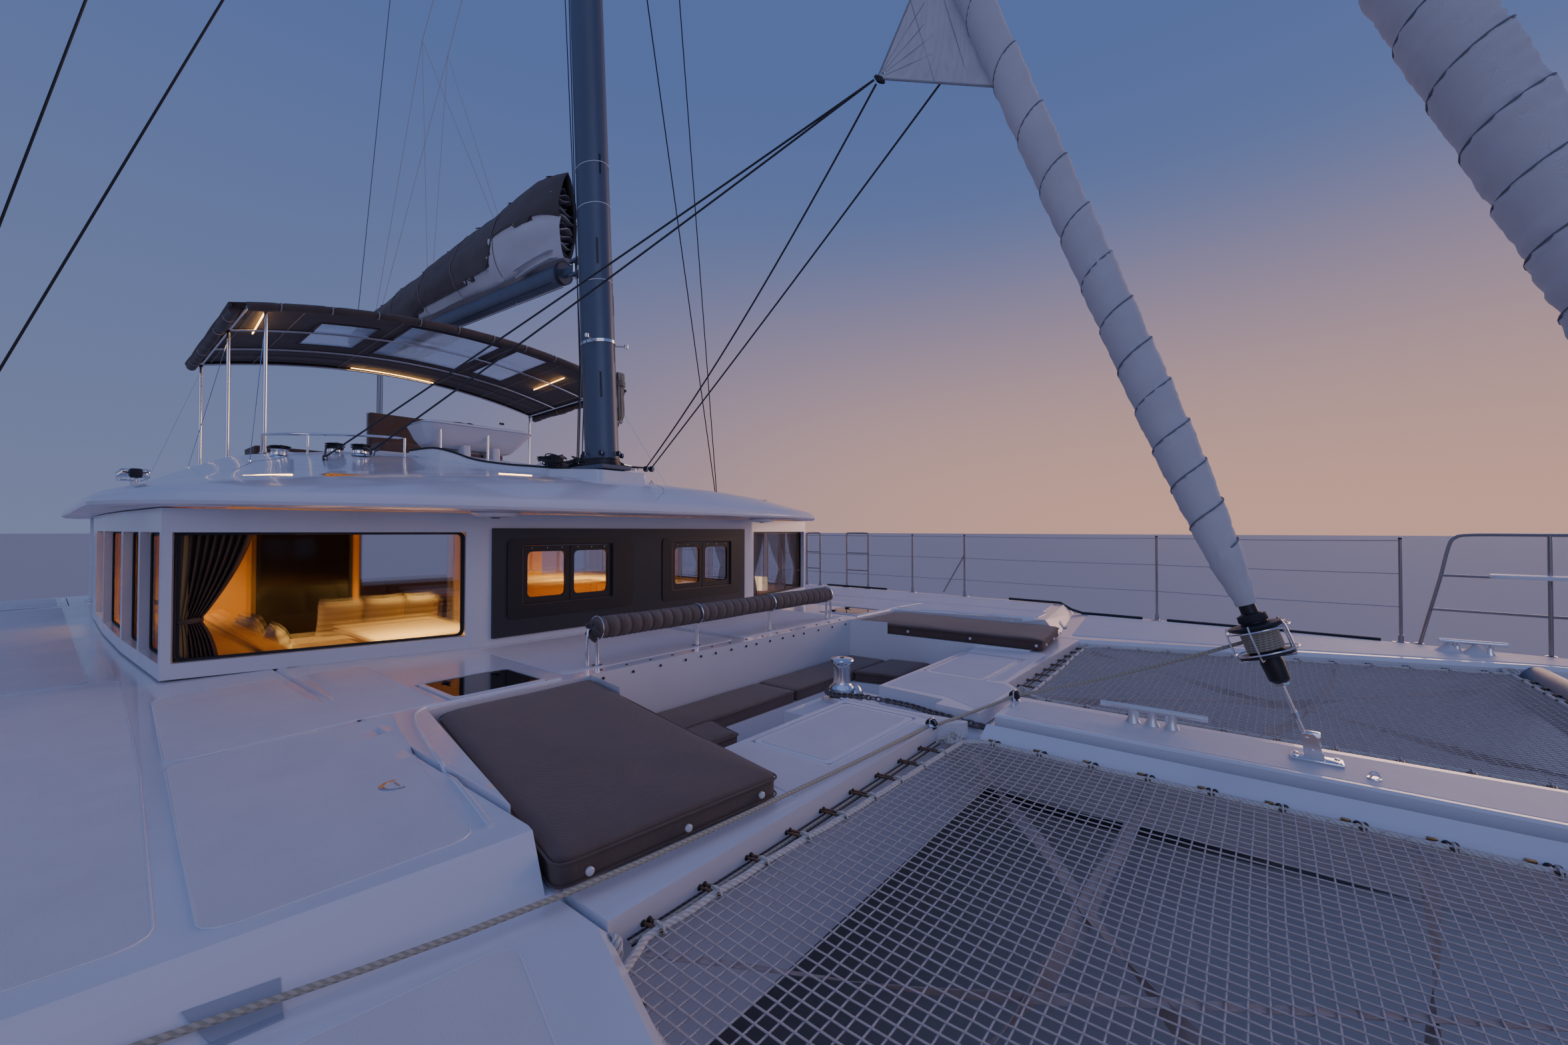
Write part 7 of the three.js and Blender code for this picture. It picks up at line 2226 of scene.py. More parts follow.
def chain_and_deck_lines():
    """The anchor chain in its gutter, and the furling line with its blocks."""
    chain = Form()
    way = spaced(curve(CHAIN_WAY, 4), 0.0335)
    for k, (a, b) in enumerate(zip(way, way[1:])):
        a, b = Vector(a), Vector(b)
        middle, ahead = (a + b) / 2, (b - a).normalized()
        side = Vector((0, 0, 1)).cross(ahead).normalized()
        over = ahead.cross(side)
        turn = 0.35 if k % 2 else 1.25
        across = side * math.cos(turn) + over * math.sin(turn)
        link = []
        for n in range(12):
            t = 2 * math.pi * n / 12
            long = math.copysign(abs(math.cos(t)) ** 0.6, math.cos(t)) * 0.0225
            link.append(middle + ahead * long + across * (math.sin(t) * 0.0125))
        chain.tube(link, 0.0052, "galvanised", 6, closed=True)
    chain.piece("anchor_chain", weighted=False, even=False, angle=70)

    line = Form()
    deck = [(-1.0, -4.40, 2.075), (1.8, -4.40, 2.085), (2.9, -4.30, 2.085), (3.35, -3.98, 2.075),
            (3.58, -3.72, 2.0), (3.703, -3.347, 1.99), (3.889, -2.602, 1.985), (3.985, -1.55, 1.978),
            (4.010, -0.62, 1.955)]
    line.tube(spaced(curve(deck, 4), 0.1), 0.0085, "rope", 8)
    line.tube(sagged((4.03, -0.575, 1.955), (4.205, 0.11, 1.985), 0.004, 6), 0.0085, "rope", 8)
    line.tube(sagged((4.215, 0.12, 1.99), tuple(stay_at(STAYS["genoa"], 2.46) + Vector((-0.02, 0.07, 0))),
                     0.02, 20), 0.0085, "rope", 8)
    line.piece("furling_line", weighted=False, even=False, angle=80)

    fittings = Form()
    for x, y, z in ((4.015, -0.59, 1.955), (4.21, 0.118, 1.985)):
        foot = 1.951 if x < 4.1 else 1.9605
        fittings.standing([(0, 0), (0.032, 0), (0.033, 0.004), (0.018, 0.012), (0.012, 0.020), (0, 0.020)],
                          (x, y, foot), "steel", 24)
        block_at(fittings, (x, y, z + 0.004), 0.030)
        fittings.tube([(x, y - 0.018, foot + 0.01), (x, y - 0.020, z + 0.03), (x, y + 0.020, z + 0.03),
                       (x, y + 0.018, foot + 0.01)], 0.0045, "steel", 6)
    fittings.standing([(0, 0), (0.024, 0), (0.022, 0.006), (0, 0.007)], (5.698, -0.107, 1.9605), "steel", 20)
    for y in (-0.125, -0.089):
        fittings.tube([(5.70 + math.cos(t) * 0.014, y, 1.972 + math.sin(t) * 0.012)
                       for t in (math.pi * n / 8 for n in range(9))], 0.0035, "steel", 6)
    # Hook blocks by the net's edge; their bronze colour is a painted warm reflection of the low sun on steel
    for k in range(9):
        hook_x = 4.272 + 0.219 * k
        fittings.box((hook_x - 0.014, hook_x + 0.014), (-0.448, -0.436), (1.878, 1.896), "bronze", 0.003)
    fittings.piece("foredeck_fittings", weighted=False)
    make_the_cleats()


def horn_cleat(form, place, long, bar, legs, rise, look="steel", taper=0.05):
    """A cleat: a bar whose horns thin out and lift a little, on legs at the given places along it."""
    x, y, z = place
    ahead = Vector((1, 0, 0))
    at = Vector((x, y, z))
    points, radii = [], []
    for k in range(17):
        part = 2 * k / 16 - 1
        points.append(at + ahead * (part * long / 2) + Vector((0, 0, rise + 0.004 * part * part)))
        radii.append(bar * (1.06 - taper * abs(part) ** 3))
    form.tube(points, radii, look, 14)
    for reach_along in legs:
        leg = at + ahead * reach_along
        rings = []
        for share, reach in ((0.0, 1.9), (0.12, 1.7), (0.35, 1.18), (0.8, 1.12), (1.0, 1.2)):
            rings.append([leg + ahead * (math.cos(t) * bar * reach * 1.15)
                          + ahead.cross(Vector((0, 0, 1))) * (math.sin(t) * bar * reach)
                          + Vector((0, 0, rise * share)) for t in around(16)])
        form.rings(rings, look)


def make_the_cleats():
    """The long cleat on the beam and three cleats on each side."""
    form = Form()
    horn_cleat(form, (4.905, 0.10, 1.9604), 0.472, 0.0165, (-0.085, 0.0, 0.085), 0.075, "pale_metal",
               taper=0.35)
    form.piece("beam_cleat", weighted=False)
    for name, side in SIDES.items():
        cleats = Form()
        for x, y, z in ((6.69, 3.85, 1.955), (-1.3, 4.47, 2.052), (-5.0, 4.45, 2.047)):
            horn_cleat(cleats, (x, side * y, z), 0.382, 0.0175, (-0.090, 0.090), 0.095, "steel", taper=0.25)
        cleats.piece(f"deck_cleats_{name}", weighted=False)


# Bimini

BIMINI = {"front": -2.55, "aft": -5.35, "half": 2.35, "edge": 5.06, "crown": 0.33, "rise": 0.11,
          "thick": 0.022, "tube": 0.017, "roll": 0.048}
BOWS = [-2.59, -3.5, -4.42, -5.31]
# Clear windows of the canopy. Columns: x limits, y limits
CLEAR = [(-4.20, -3.15, -1.47, -0.88), (-4.35, -2.85, -0.63, 0.48), (-4.25, -2.80, 0.68, 1.15)]


def bimini_z(x, y):
    """Height of the canopy over a place."""
    return (BIMINI["edge"] + BIMINI["crown"] * (1 - (y / BIMINI["half"]) ** 2)
            + BIMINI["rise"] * (x - BIMINI["aft"]) / (BIMINI["front"] - BIMINI["aft"]))


def bimini_cloth():
    """The canopy, sunk a little between its bows, with its clear windows."""
    rows = []
    xs = {BIMINI["aft"] + 2.8 * k / 40 for k in range(41)} | {x for row in CLEAR for x in row[:2]}
    ys = {BIMINI["half"] * (2 * k / 56 - 1) for k in range(57)} | {y for row in CLEAR for y in row[2:]}
    for x in sorted(xs):
        between = min(abs(x - bow) for bow in BOWS) / 0.45
        sink = 0.020 * min(1.0, between) ** 1.5
        rows.append([(x, y, bimini_z(x, y) + 0.020
                      - sink * (0.6 + 0.4 * noise.noise(Vector((x * 2, y * 1.4, 2))))) for y in sorted(ys)])
    form = Form().sheet(rows, "canvas", 0.003)
    for i, face in enumerate(form.faces):
        middle = sum((Vector(form.points[k]) for k in face), Vector()) / len(face)
        if any(x0 < middle.x < x1 and y0 < middle.y < y1 for x0, x1, y0, y1 in CLEAR):
            form.shades[i] = "clear_vinyl"
    return form.piece("bimini_canopy_cloth", replaces="bimini_canopy", weighted=False, angle=60)


def bimini_trim():
    """Seams, battens and hems of the canopy, and the side curtains rolled up under its edges."""
    trim = Form()
    for x0, x1, y0, y1 in CLEAR:
        loop = rectangle((x0, x1), (y0, y1))
        line = spaced([(x, y, 0) for x, y in loop + loop[:1]], 0.08)
        trim.tube([(x, y, bimini_z(x, y) + 0.006) for x, y, _ in line[:-1]], 0.016, "canvas", 6, closed=True,
                  flat=0.5)
    for x in (-2.72, -4.60, -4.85, -5.10):
        trim.tube([(x, y, bimini_z(x, y) + 0.001)
                   for y in (BIMINI["half"] * (2 * k / 24 - 1) for k in range(25))], 0.005, "canvas", 5,
                  flat=0.6)
    # Pale battens under the cloth
    for y in (-2.12, -1.70, -0.75, 0.58, 1.32, 1.75, 2.12):
        trim.tube([(x, y, bimini_z(x, y) + 0.002)
                   for x in (BIMINI["aft"] + 2.76 * k / 20 for k in range(21))], 0.0055, "batten", 6,
                  flat=0.6)
    # The side curtains, rolled up and tied below the edges
    for way in (-1, 1):
        rolled, thick, ties = [], [], []
        for k in range(101):
            x = BIMINI["aft"] + 0.06 + 2.70 * k / 100
            lump = 0.016 * noise.noise(Vector((x * 2.4, way, 3)))
            lump += 0.007 * noise.noise(Vector((x * 8, way, 5)))
            tied = abs((x * 1.9) % 1 - 0.5) < 0.05
            rolled.append((x, way * (BIMINI["half"] - 0.05),
                           bimini_z(x, BIMINI["half"]) - 0.030 - lump * 0.5))
            thick.append(0.047 + lump - (0.013 if tied else 0.0))
            if tied:
                ties.append(x)
        trim.tube(rolled, thick, "canvas", 14)
        for x in ties[::3]:
            middle_z = bimini_z(x, BIMINI["half"]) - 0.030
            trim.tube([(x, way * (BIMINI["half"] - 0.05) + math.cos(t) * 0.044,
                        middle_z + math.sin(t) * 0.044)
                       for t in around(14)], 0.006, "webbing", 5, closed=True)
    for way in (-1, 1):
        edge = [(x, way * (BIMINI["half"] - 0.012),
                 bimini_z(x, BIMINI["half"]) + 0.004 - 0.012 * abs(math.sin((x + 2.59) / 0.92 * math.pi)))
                for x in (BIMINI["aft"] + 2.8 * k / 40 for k in range(41))]
        trim.tube(edge, 0.016, "canvas", 8)
    trim.tube([(BIMINI["aft"] + 0.014, y, bimini_z(BIMINI["aft"], y) + 0.006)
               for y in (BIMINI["half"] * (2 * k / 30 - 1) for k in range(31))], 0.016, "canvas", 8)
    trim.piece("bimini_seams", weighted=False)


def bimini_roll():
    """The front curtain, rolled up and tied below the canopy's front edge."""
    roll = Form()
    line, radii = [], []
    for k in range(121):
        y = BIMINI["half"] * 0.94 * (2 * k / 120 - 1)
        lump = 0.008 * noise.noise(Vector((y * 3, 0, 1))) + 0.004 * noise.noise(Vector((y * 9, 0, 4)))
        tie = 0.010 if abs((y * 2.3) % 1 - 0.5) < 0.06 else 0.0
        line.append((BIMINI["front"] + 0.028, y, bimini_z(BIMINI["front"], y) - 0.025 - lump * 0.6))
        radii.append(0.043 + lump - tie)
    roll.tube(line, radii, "canvas", 16)
    for k in range(1, 11):
        y = (k - 5.5) / 2.3
        ring = [(BIMINI["front"] + 0.028 + math.cos(t) * 0.043, y,
                 bimini_z(BIMINI["front"], y) - 0.025 + math.sin(t) * 0.043)
                for t in around(16)]
        roll.tube(ring, 0.006, "webbing", 5, closed=True)
    roll.piece("bimini_curtain_roll", replaces="bimini_canopy", weighted=False)


def bimini_frame():
    """Bows, side tubes and posts with their feet."""
    frame_form = Form()
    stations = [BIMINI["half"] * 0.94 * (2 * k / 40 - 1) for k in range(41)]
    for x in BOWS:
        frame_form.tube([(x, y, bimini_z(x, y) - BIMINI["tube"] - 0.001) for y in stations], BIMINI["tube"],
                        "steel", 14)
    for way in (-1, 1):
        y = way * BIMINI["half"] * 0.94
        frame_form.tube([(x, y, bimini_z(x, y) - BIMINI["tube"] - 0.001) for x in BOWS], BIMINI["tube"],
                        "steel", 14)
        for x, half in ((-2.59, 2.06), (-3.5, 2.209), (-5.31, 2.209)):
            top = bimini_z(x, half) - BIMINI["tube"]
            ground = roof_z(x, half)
            frame_form.tube([(x, way * half, ground), (x, way * half, top)], BIMINI["tube"], "steel", 16)
            frame_form.standing([(0, 0), (0.042, 0), (0.042, 0.006), (0.022, 0.012), (0.020, 0.05),
                                 (0, 0.05)], (x, way * half, ground), "steel", 20)
            frame_form.standing([(0, -0.03), (0.021, -0.03), (0.021, 0.0), (0, 0.0)], (x, way * half, top),
                                "black", 14)
    frame_form.piece("bimini_frame_finished", replaces="bimini_frame", weighted=False)


def make_the_bimini():
    """The canopy on its frame, with lamps under it and guys to the roof."""
    canopy = bimini_cloth()
    bimini_trim()
    bimini_roll()
    bimini_frame()
    bpy.data.objects["bimini_seams"]
    lamps = Form()
    # Light strips under the canopy. Columns: start, end
    for a, b in (((-2.70, -2.04), (-3.69, -1.98)), ((-5.20, -0.62), (-5.24, 0.52)),
                 ((-4.03, 1.60), (-3.09, 1.58))):
        line = spaced([(*a, 0), (*b, 0)], 0.1)
        lamps.tube([(x, y, bimini_z(x, y) - 0.012) for x, y, _ in line], 0.007, "amber_light", 6)
    lamps.piece("bimini_lamps", weighted=False)
    guys = Form()
    for way in (-1, 1):
        for x, half, to_x, to_y in ((-2.59, 2.06, -1.5, 2.35), (-5.31, 2.209, -6.0, 2.7),
                                    (-3.5, 2.209, -2.7, 2.6)):
            guys.tube([(x, way * half, bimini_z(x, half) - 0.1), (to_x, way * to_y, roof_z(to_x, to_y))],
                      0.0028, "steel", 5)
            guys.standing([(0, 0), (0.012, 0), (0.010, 0.012), (0, 0.014)],
                          (to_x, way * to_y, roof_z(to_x, to_y)), "steel", 10)
    guys.piece("bimini_guys", weighted=False)


# Shrouds

CHAINPLATE = {"x": -2.35, "y": 4.33, "foot": 2.075}


def make_the_shrouds():
    """Shrouds over the spreaders' tips, their turnbuckles and chainplates."""
    for name, side in SIDES.items():
        form = Form()
        tip = (mast_x(SPREADER["z"]) - 0.06 - SPREADER["sweep"] - 0.01, side * (SPREADER["half"] + 0.026),
               SPREADER["z"])
        foot = Vector((CHAINPLATE["x"], side * CHAINPLATE["y"], CHAINPLATE["foot"] + 0.16))
        head = (mast_x(HOUNDS) - 0.20, side * 0.10, HOUNDS)
        root = (mast_x(SPREADER["z"]) - 0.04, side * 0.13, SPREADER["z"] - 0.25)
        form.box((CHAINPLATE["x"] - 0.128, CHAINPLATE["x"] + 0.128),
                 (side * (CHAINPLATE["y"] - 0.011), side * (CHAINPLATE["y"] + 0.011)),
                 (CHAINPLATE["foot"], CHAINPLATE["foot"] + 0.168), "steel", 0.004)
        for start, end in ((foot, Vector(tip)), (foot + Vector((0.09, 0, 0)), Vector(root))):
            ahead = (end - start).normalized()
            form.lathe([(0, 0), (0.014, 0), (0.014, 0.03), (0.008, 0.04), (0.008, 0.10), (0.016, 0.11),
                        (0.016, 0.33), (0.008, 0.34), (0.008, 0.42), (0.012, 0.43), (0.011, 0.52),
                        (0.006, 0.54), (0, 0.54)], start - ahead * 0.02, start + ahead, "steel", 16)
        form.tube(spaced([foot + (Vector(tip) - foot).normalized() * 0.5, tip, head], 2.0), 0.0085,
                  "dark_wire", 8)
        low = foot + Vector((0.09, 0, 0))
        form.tube(spaced([low + (Vector(root) - low).normalized() * 0.5, root], 2.0), 0.0085, "dark_wire", 8)
        form.piece(f"shrouds_{name}_finished", replaces=f"shrouds_{name}", weighted=False)


# Cover roller over the forward cockpit

COVER = {"x": 2.07, "half": 1.33, "z": 2.34, "radius": 0.075}


def make_the_cover_roller():
    """The rolled cockpit cover on its posts."""
    form = Form()
    line, radii = [], []
    count = 420
    for k in range(count + 1):
        y = COVER["half"] * (2 * k / count - 1) * 0.985
        groove = (y / 0.044) % 1
        ridge = 0.0045 * math.sin(groove * math.pi)
        lump = 0.003 * noise.noise(Vector((y * 4, 1, 2)))
        end = min(1.0, (COVER["half"] - abs(y)) / 0.09)
        line.append((COVER["x"], y, COVER["z"] + 0.003 * math.sin(y * 2.2)))
        radii.append((0.066 + ridge + lump) * (0.55 + 0.45 * max(0.0, end) ** 0.5))
    form.tube(line, radii, "canvas", 28)
    for i, face in enumerate(form.faces):
        if len(face) == 4:
            y = sum(form.points[k][1] for k in face) / 4
            if int(y / 0.044 + 1000) % 2:
                form.shades[i] = "cover_stripe"
    for k in range(5):
        turn = k * 1.25
        y = -COVER["half"] + 0.03
        tail = [(COVER["x"] + 0.03 * math.cos(turn), y, COVER["z"] + 0.03 * math.sin(turn)),
                (COVER["x"] + 0.045 * math.cos(turn), y - 0.018, COVER["z"] + 0.045 * math.sin(turn) - 0.01),
                (COVER["x"] + 0.05 * math.cos(turn), y + 0.01, COVER["z"] + 0.05 * math.sin(turn) - 0.03)]
        form.tube(curve(tail, 4), 0.014, "canvas", 7)
    form.piece("cockpit_cover_roll", replaces="cover_roller", weighted=False, angle=60)
    posts = Form()
    for y in (-1.27, -0.42, 0.42, 1.27):
        posts.tube([(COVER["x"], y, ON_DECK), (COVER["x"], y, COVER["z"] - 0.05)], 0.012, "steel", 14)
        posts.standing([(0, 0), (0.034, 0), (0.034, 0.005), (0.016, 0.010), (0.015, 0.03), (0, 0.03)],
                       (COVER["x"], y, ON_DECK), "steel", 20)
        ring = [(COVER["x"] + math.cos(t) * 0.074, y, COVER["z"] + math.sin(t) * 0.074)
                for t in around(24)]
        posts.tube(ring, 0.004, "steel", 6, closed=True)
    for way in (-1, 1):
        y = way * COVER["half"]
        bend = [(COVER["x"], y - way * 0.06, COVER["z"]), (COVER["x"], y + way * 0.004, COVER["z"] - 0.004),
                (COVER["x"], y + way * 0.012, COVER["z"] - 0.06), (COVER["x"], y + way * 0.012, ON_DECK)]
        posts.tube(bend, 0.0115, "steel", 14)
    posts.piece("cover_roller_posts", replaces="cover_roller", weighted=False)
    studs = Form()
    for k in range(15):
        y = -1.32 + k * 0.1886
        studs.standing([(0, 0), (0.010, 0), (0.009, 0.004), (0, 0.005)], (2.19, y, 2.1003), "black", 12)
    studs.piece("cover_studs", weighted=False)


# Lifelines and pulpits

RAIL_TOP = 2.875
STANCHIONS = [
    (6.33, 4.24), (4.42, 4.44), (2.125, 4.56), (1.32, 4.59), (0.56, 4.60), (0.16, 4.61),
    (-0.365, 4.615), (-0.64, 4.62), (-3.0, 4.62), (-4.7, 4.60), (-6.4, 4.56),
]
GATES = [(0.56, 0.16), (-0.365, -0.64)]


def rail_y(x):
    """How far out the stanchions stand at a place along the boat."""
    return table(-x, [(-px, py) for px, py in STANCHIONS])


def make_the_lifelines():
    """Stanchions, gates, wires and the low rails beside them."""
    for name, side in SIDES.items():
        form = Form()
        gated = [x for pair in GATES for x in pair]
        for x, y in STANCHIONS:
            deck = deck_z(x, y) - 0.002
            top = RAIL_TOP + (0.04 if x in gated else 0.012)
            form.tube([(x, side * y, deck), (x, side * y, top)], 0.0128, "rail_steel_painted_dark", 14)
            form.standing([(0, 0), (0.031, 0), (0.031, 0.006), (0.019, 0.014), (0.018, 0.07), (0, 0.07)],
                          (x, side * y, deck), "rail_steel_painted_dark", 20)
            if x not in gated:
                form.standing([(0, 0), (0.0135, 0), (0.0145, 0.008), (0.010, 0.016), (0, 0.017)],
                              (x, side * y, top), "black", 14)
            form.box((x - 0.055, x + 0.055), (side * (y - 0.028), side * (y + 0.028)),
                     (deck - 0.003, deck + 0.006), "rail_steel_painted_dark", 0.004)
        for a, b in GATES:
            ya, yb = side * rail_y(a), side * rail_y(b)
            top = RAIL_TOP + 0.04
            hoop = [(a, ya, top - 0.04), (a - 0.008, ya, top - 0.012), (a - 0.04, ya, top),
                    (b + 0.04, yb, top), (b + 0.008, yb, top - 0.012), (b, yb, top - 0.04)]
            form.tube(curve(hoop, 4), 0.0128, "rail_steel_painted_dark", 14)
            for z in (2.60, 2.33):
                form.tube([(a, ya, z), (b, yb, z)], 0.009, "rail_steel_painted_dark", 12)
        for z in (2.875, 2.575, 2.275):
            line = []
            for (x0, y0), (x1, y1) in zip(STANCHIONS, STANCHIONS[1:]):
                drop = 0.006 * min(1.0, (x0 - x1) / 2)
                line += sagged((x0, side * y0, z), (x1, side * y1, z), drop, 6)[:-1]
            line.append((STANCHIONS[-1][0], side * STANCHIONS[-1][1], z))
            form.tube(line, 0.0038, "rail_steel_painted_dark", 6)
        x, y = 2.125, 4.56
        form.tube([(x, side * y, 2.62), (x - 0.30, side * (y - 0.02), 2.09)], 0.010, "rail_steel_painted_dark", 12)
        form.piece(f"lifelines_{name}_finished", replaces=f"lifelines_{name}", weighted=False)
        rails = Form()
        # Low black rails near the deck's edge. Columns: start, end
        for start, end in ((6.20, 4.52), (4.28, 2.75), (0.9, -0.2), (-1.8, -2.9), (-3.3, -4.5)):
            xs = [start + (end - start) * k / 12 for k in range(13)]
            rails.tube([(x, side * (rail_y(x) - 0.015), deck_z(x, 4.4) + 0.014) for x in xs], 0.015, "black",
                       8)
        rails.piece(f"toe_rail_{name}", weighted=False)


def make_the_pulpits():
    """Bow rails, each with its seat."""
    top = RAIL_TOP + 0.055
    for name, side in SIDES.items():
        form = Form()
        rail = [(6.44, 4.225, 1.93), (6.50, 4.218, 2.22), (6.57, 4.21, 2.55), (6.62, 4.205, 2.82),
                (6.66, 4.198, 2.905), (6.76, 4.178, top), (7.15, 4.08, top), (8.0, 3.925, top),
                (8.26, 3.855, top), (8.318, 3.825, top), (8.328, 3.795, top), (8.315, 3.765, top),
                (8.26, 3.745, top), (8.0, 3.72, top), (7.6, 3.655, top), (7.52, 3.642, 2.90),
                (7.49, 3.638, 2.80), (7.38, 3.62, 1.93)]
        form.tube([(x, side * y, z) for x, y, z in curve(rail, 3)], 0.0138, "rail_steel_painted_dark", 16)
        for z in (2.575, 2.275):
            drop = (top - z) * 0.2
            line = [(6.65 - drop, 4.205, z), (7.15, 4.08, z), (8.0, 3.925, z), (8.27, 3.85, z),
                    (8.325, 3.795, z), (8.27, 3.745, z), (8.0, 3.72, z), (7.43, 3.63, z)]
            form.tube([(x, side * y, z) for x, y, z in curve(line, 3)], 0.0108, "rail_steel_painted_dark", 12)
        for x, y in ((7.15, 4.08), (8.0, 3.925), (8.0, 3.72)):
            form.tube([(x, side * y, 1.93), (x, side * y, top)], 0.0138, "rail_steel_painted_dark", 14)
            form.standing([(0, 0), (0.034, 0), (0.034, 0.006), (0.020, 0.012), (0, 0.012)],
                          (x, side * y, deck_z(x, y)), "rail_steel_painted_dark", 20)
        for x, y in ((6.44, 4.225), (7.38, 3.62)):
            form.standing([(0, 0), (0.034, 0), (0.034, 0.006), (0.020, 0.012), (0, 0.012)],
                          (x, side * y, deck_z(x, y)), "rail_steel_painted_dark", 20)
        seat = [(6.80, side * 3.86), (7.72, side * 3.68), (7.76, side * 3.97), (7.15, side * 4.06),
                (6.84, side * 4.15)]
        form.plate(rounded(seat, 0.05, 5), 2.578, 2.606, "seat_board", 0.008, 2)
        form.box((7.26, 7.44), (side * 3.84, side * 3.93), (2.50, 2.578), "dark_metal", 0.012)
        form.piece(f"pulpit_{name}_finished", replaces=f"pulpit_{name}", weighted=False)


# Hulls: paint by height, windows and rubbing strakes laid on their skin

WATERLINE = 0.0
BOOT_TOP = 0.10
# Dark windows in the outer sides. Columns: x limits, z limits
HULL_WINDOWS = [((4.5, 5.7), (1.18, 1.40)), ((2.2, 3.9), (1.14, 1.42)), ((-0.9, 0.9), (1.10, 1.42)),
                ((-3.6, -1.9), (1.10, 1.42)), ((-5.2, -4.4), (1.18, 1.40))]


def painted_hull(node, side):
    """The hull with its edges eased and its bottom painted up to the waterline."""
    shape = copy_of(node)
    edges = [e for e in shape.edges if len(e.link_faces) == 2 and e.calc_face_angle(0) > math.radians(40)]
    bmesh.ops.bevel(shape, geom=edges, offset=0.012, segments=2, profile=0.6, affect="EDGES",
                    clamp_overlap=True)
    for height in (WATERLINE, BOOT_TOP):
        everything = shape.verts[:] + shape.edges[:] + shape.faces[:]
        bmesh.ops.bisect_plane(shape, geom=everything, plane_co=(0, 0, height), plane_no=(0, 0, 1))
    bmesh.ops.triangulate(shape, faces=[f for f in shape.faces if len(f.verts) > 4])
    for face in shape.faces:
        middle = face.calc_center_median()
        outer = side * (middle.y - side * 3.755) > 0.2 or abs(face.normal.z) < 0.8
        face.material_index = 1 if middle.z < WATERLINE else 2 if middle.z < BOOT_TOP and outer else 0
    data = bpy.data.meshes.new(f"{node}_painted")
    shape.to_mesh(data)
    shape.free()
    for look in ("gelcoat", "antifouling", "boot_stripe"):
        data.materials.append(LOOKS[look])
    return settle(bpy.data.objects.new(f"{node}_painted", data), "boat", node, angle=32)


def finish_the_hulls():
    """Painted hulls with their windows, rubbing strakes and transom treads."""
    for name, side in SIDES.items():
        hull = painted_hull(f"hull_{name}", side)
        tree = BVHTree.FromPolygons([v.co[:] for v in hull.data.vertices],
                                    [p.vertices[:] for p in hull.data.polygons])

        def skin(x, z, lift=0.0, tree=tree, side=side):
            hit = tree.ray_cast(Vector((x, side * 8, z)), Vector((0, -side, 0)))[0]
            return hit + Vector((0, side * lift, 0))

        panes = Form()
        for (x0, x1), (z0, z1) in HULL_WINDOWS:
            rows = []
            for r in range(7):
                part = r / 6
                z = z0 + (z1 - z0) * part
                cut = 0.09 * (1 - math.cos(math.asin(min(1.0, abs(2 * part - 1) ** 3))))
                rows.append([skin(x0 + cut + (x1 - x0 - 2 * cut) * c / 24, z, 0.002) for c in range(25)])
            panes.sheet(rows, "screen", 0.0)
            rim = [rows[0][c] for c in range(25)] + [rows[r][24] for r in range(1, 7)]
            rim += [rows[6][c] for c in range(23, -1, -1)] + [rows[r][0] for r in range(5, 0, -1)]
            panes.tube(rim, 0.006, "rubber", 6, closed=True)
        panes.piece(f"hull_windows_{name}", weighted=False, even=False)
        strake = Form()
        line = [skin(8.2 - 14.8 * k / 120, 1.80) for k in range(121)]
        strake.tube(line, 0.012, "pale_cap", 8)
        for x, z in ((-6.0, 0.32), (-5.7, 0.32), (-4.9, 0.5), (0.4, 0.42)):
            at = skin(x, z)
            strake.lathe([(0.014, 0), (0.034, 0), (0.032, 0.006), (0.020, 0.008), (0.014, 0.004)], at,
                         at + Vector((0, side, 0)), "steel", 24)
        strake.piece(f"hull_strake_{name}", weighted=False)
        treads = Form()
        for k in range(5):
            front = -6.72 - 0.33 * k
            back = front - 0.29 if k < 4 else -8.46
            height = 1.79 - 0.29 * k
            outline = [(front - 0.035, side * 3.02), (back, side * (3.10 + 0.01 * k)), (back, side * 4.34),
                       (front - 0.035, side * 4.40)]
            treads.plate(rounded(outline, 0.04), height - 0.002, height + 0.002, "non_skid", 0.001, 1)
        treads.piece(f"transom_treads_{name}", weighted=False)


# Engines, drives, propellers and rudders

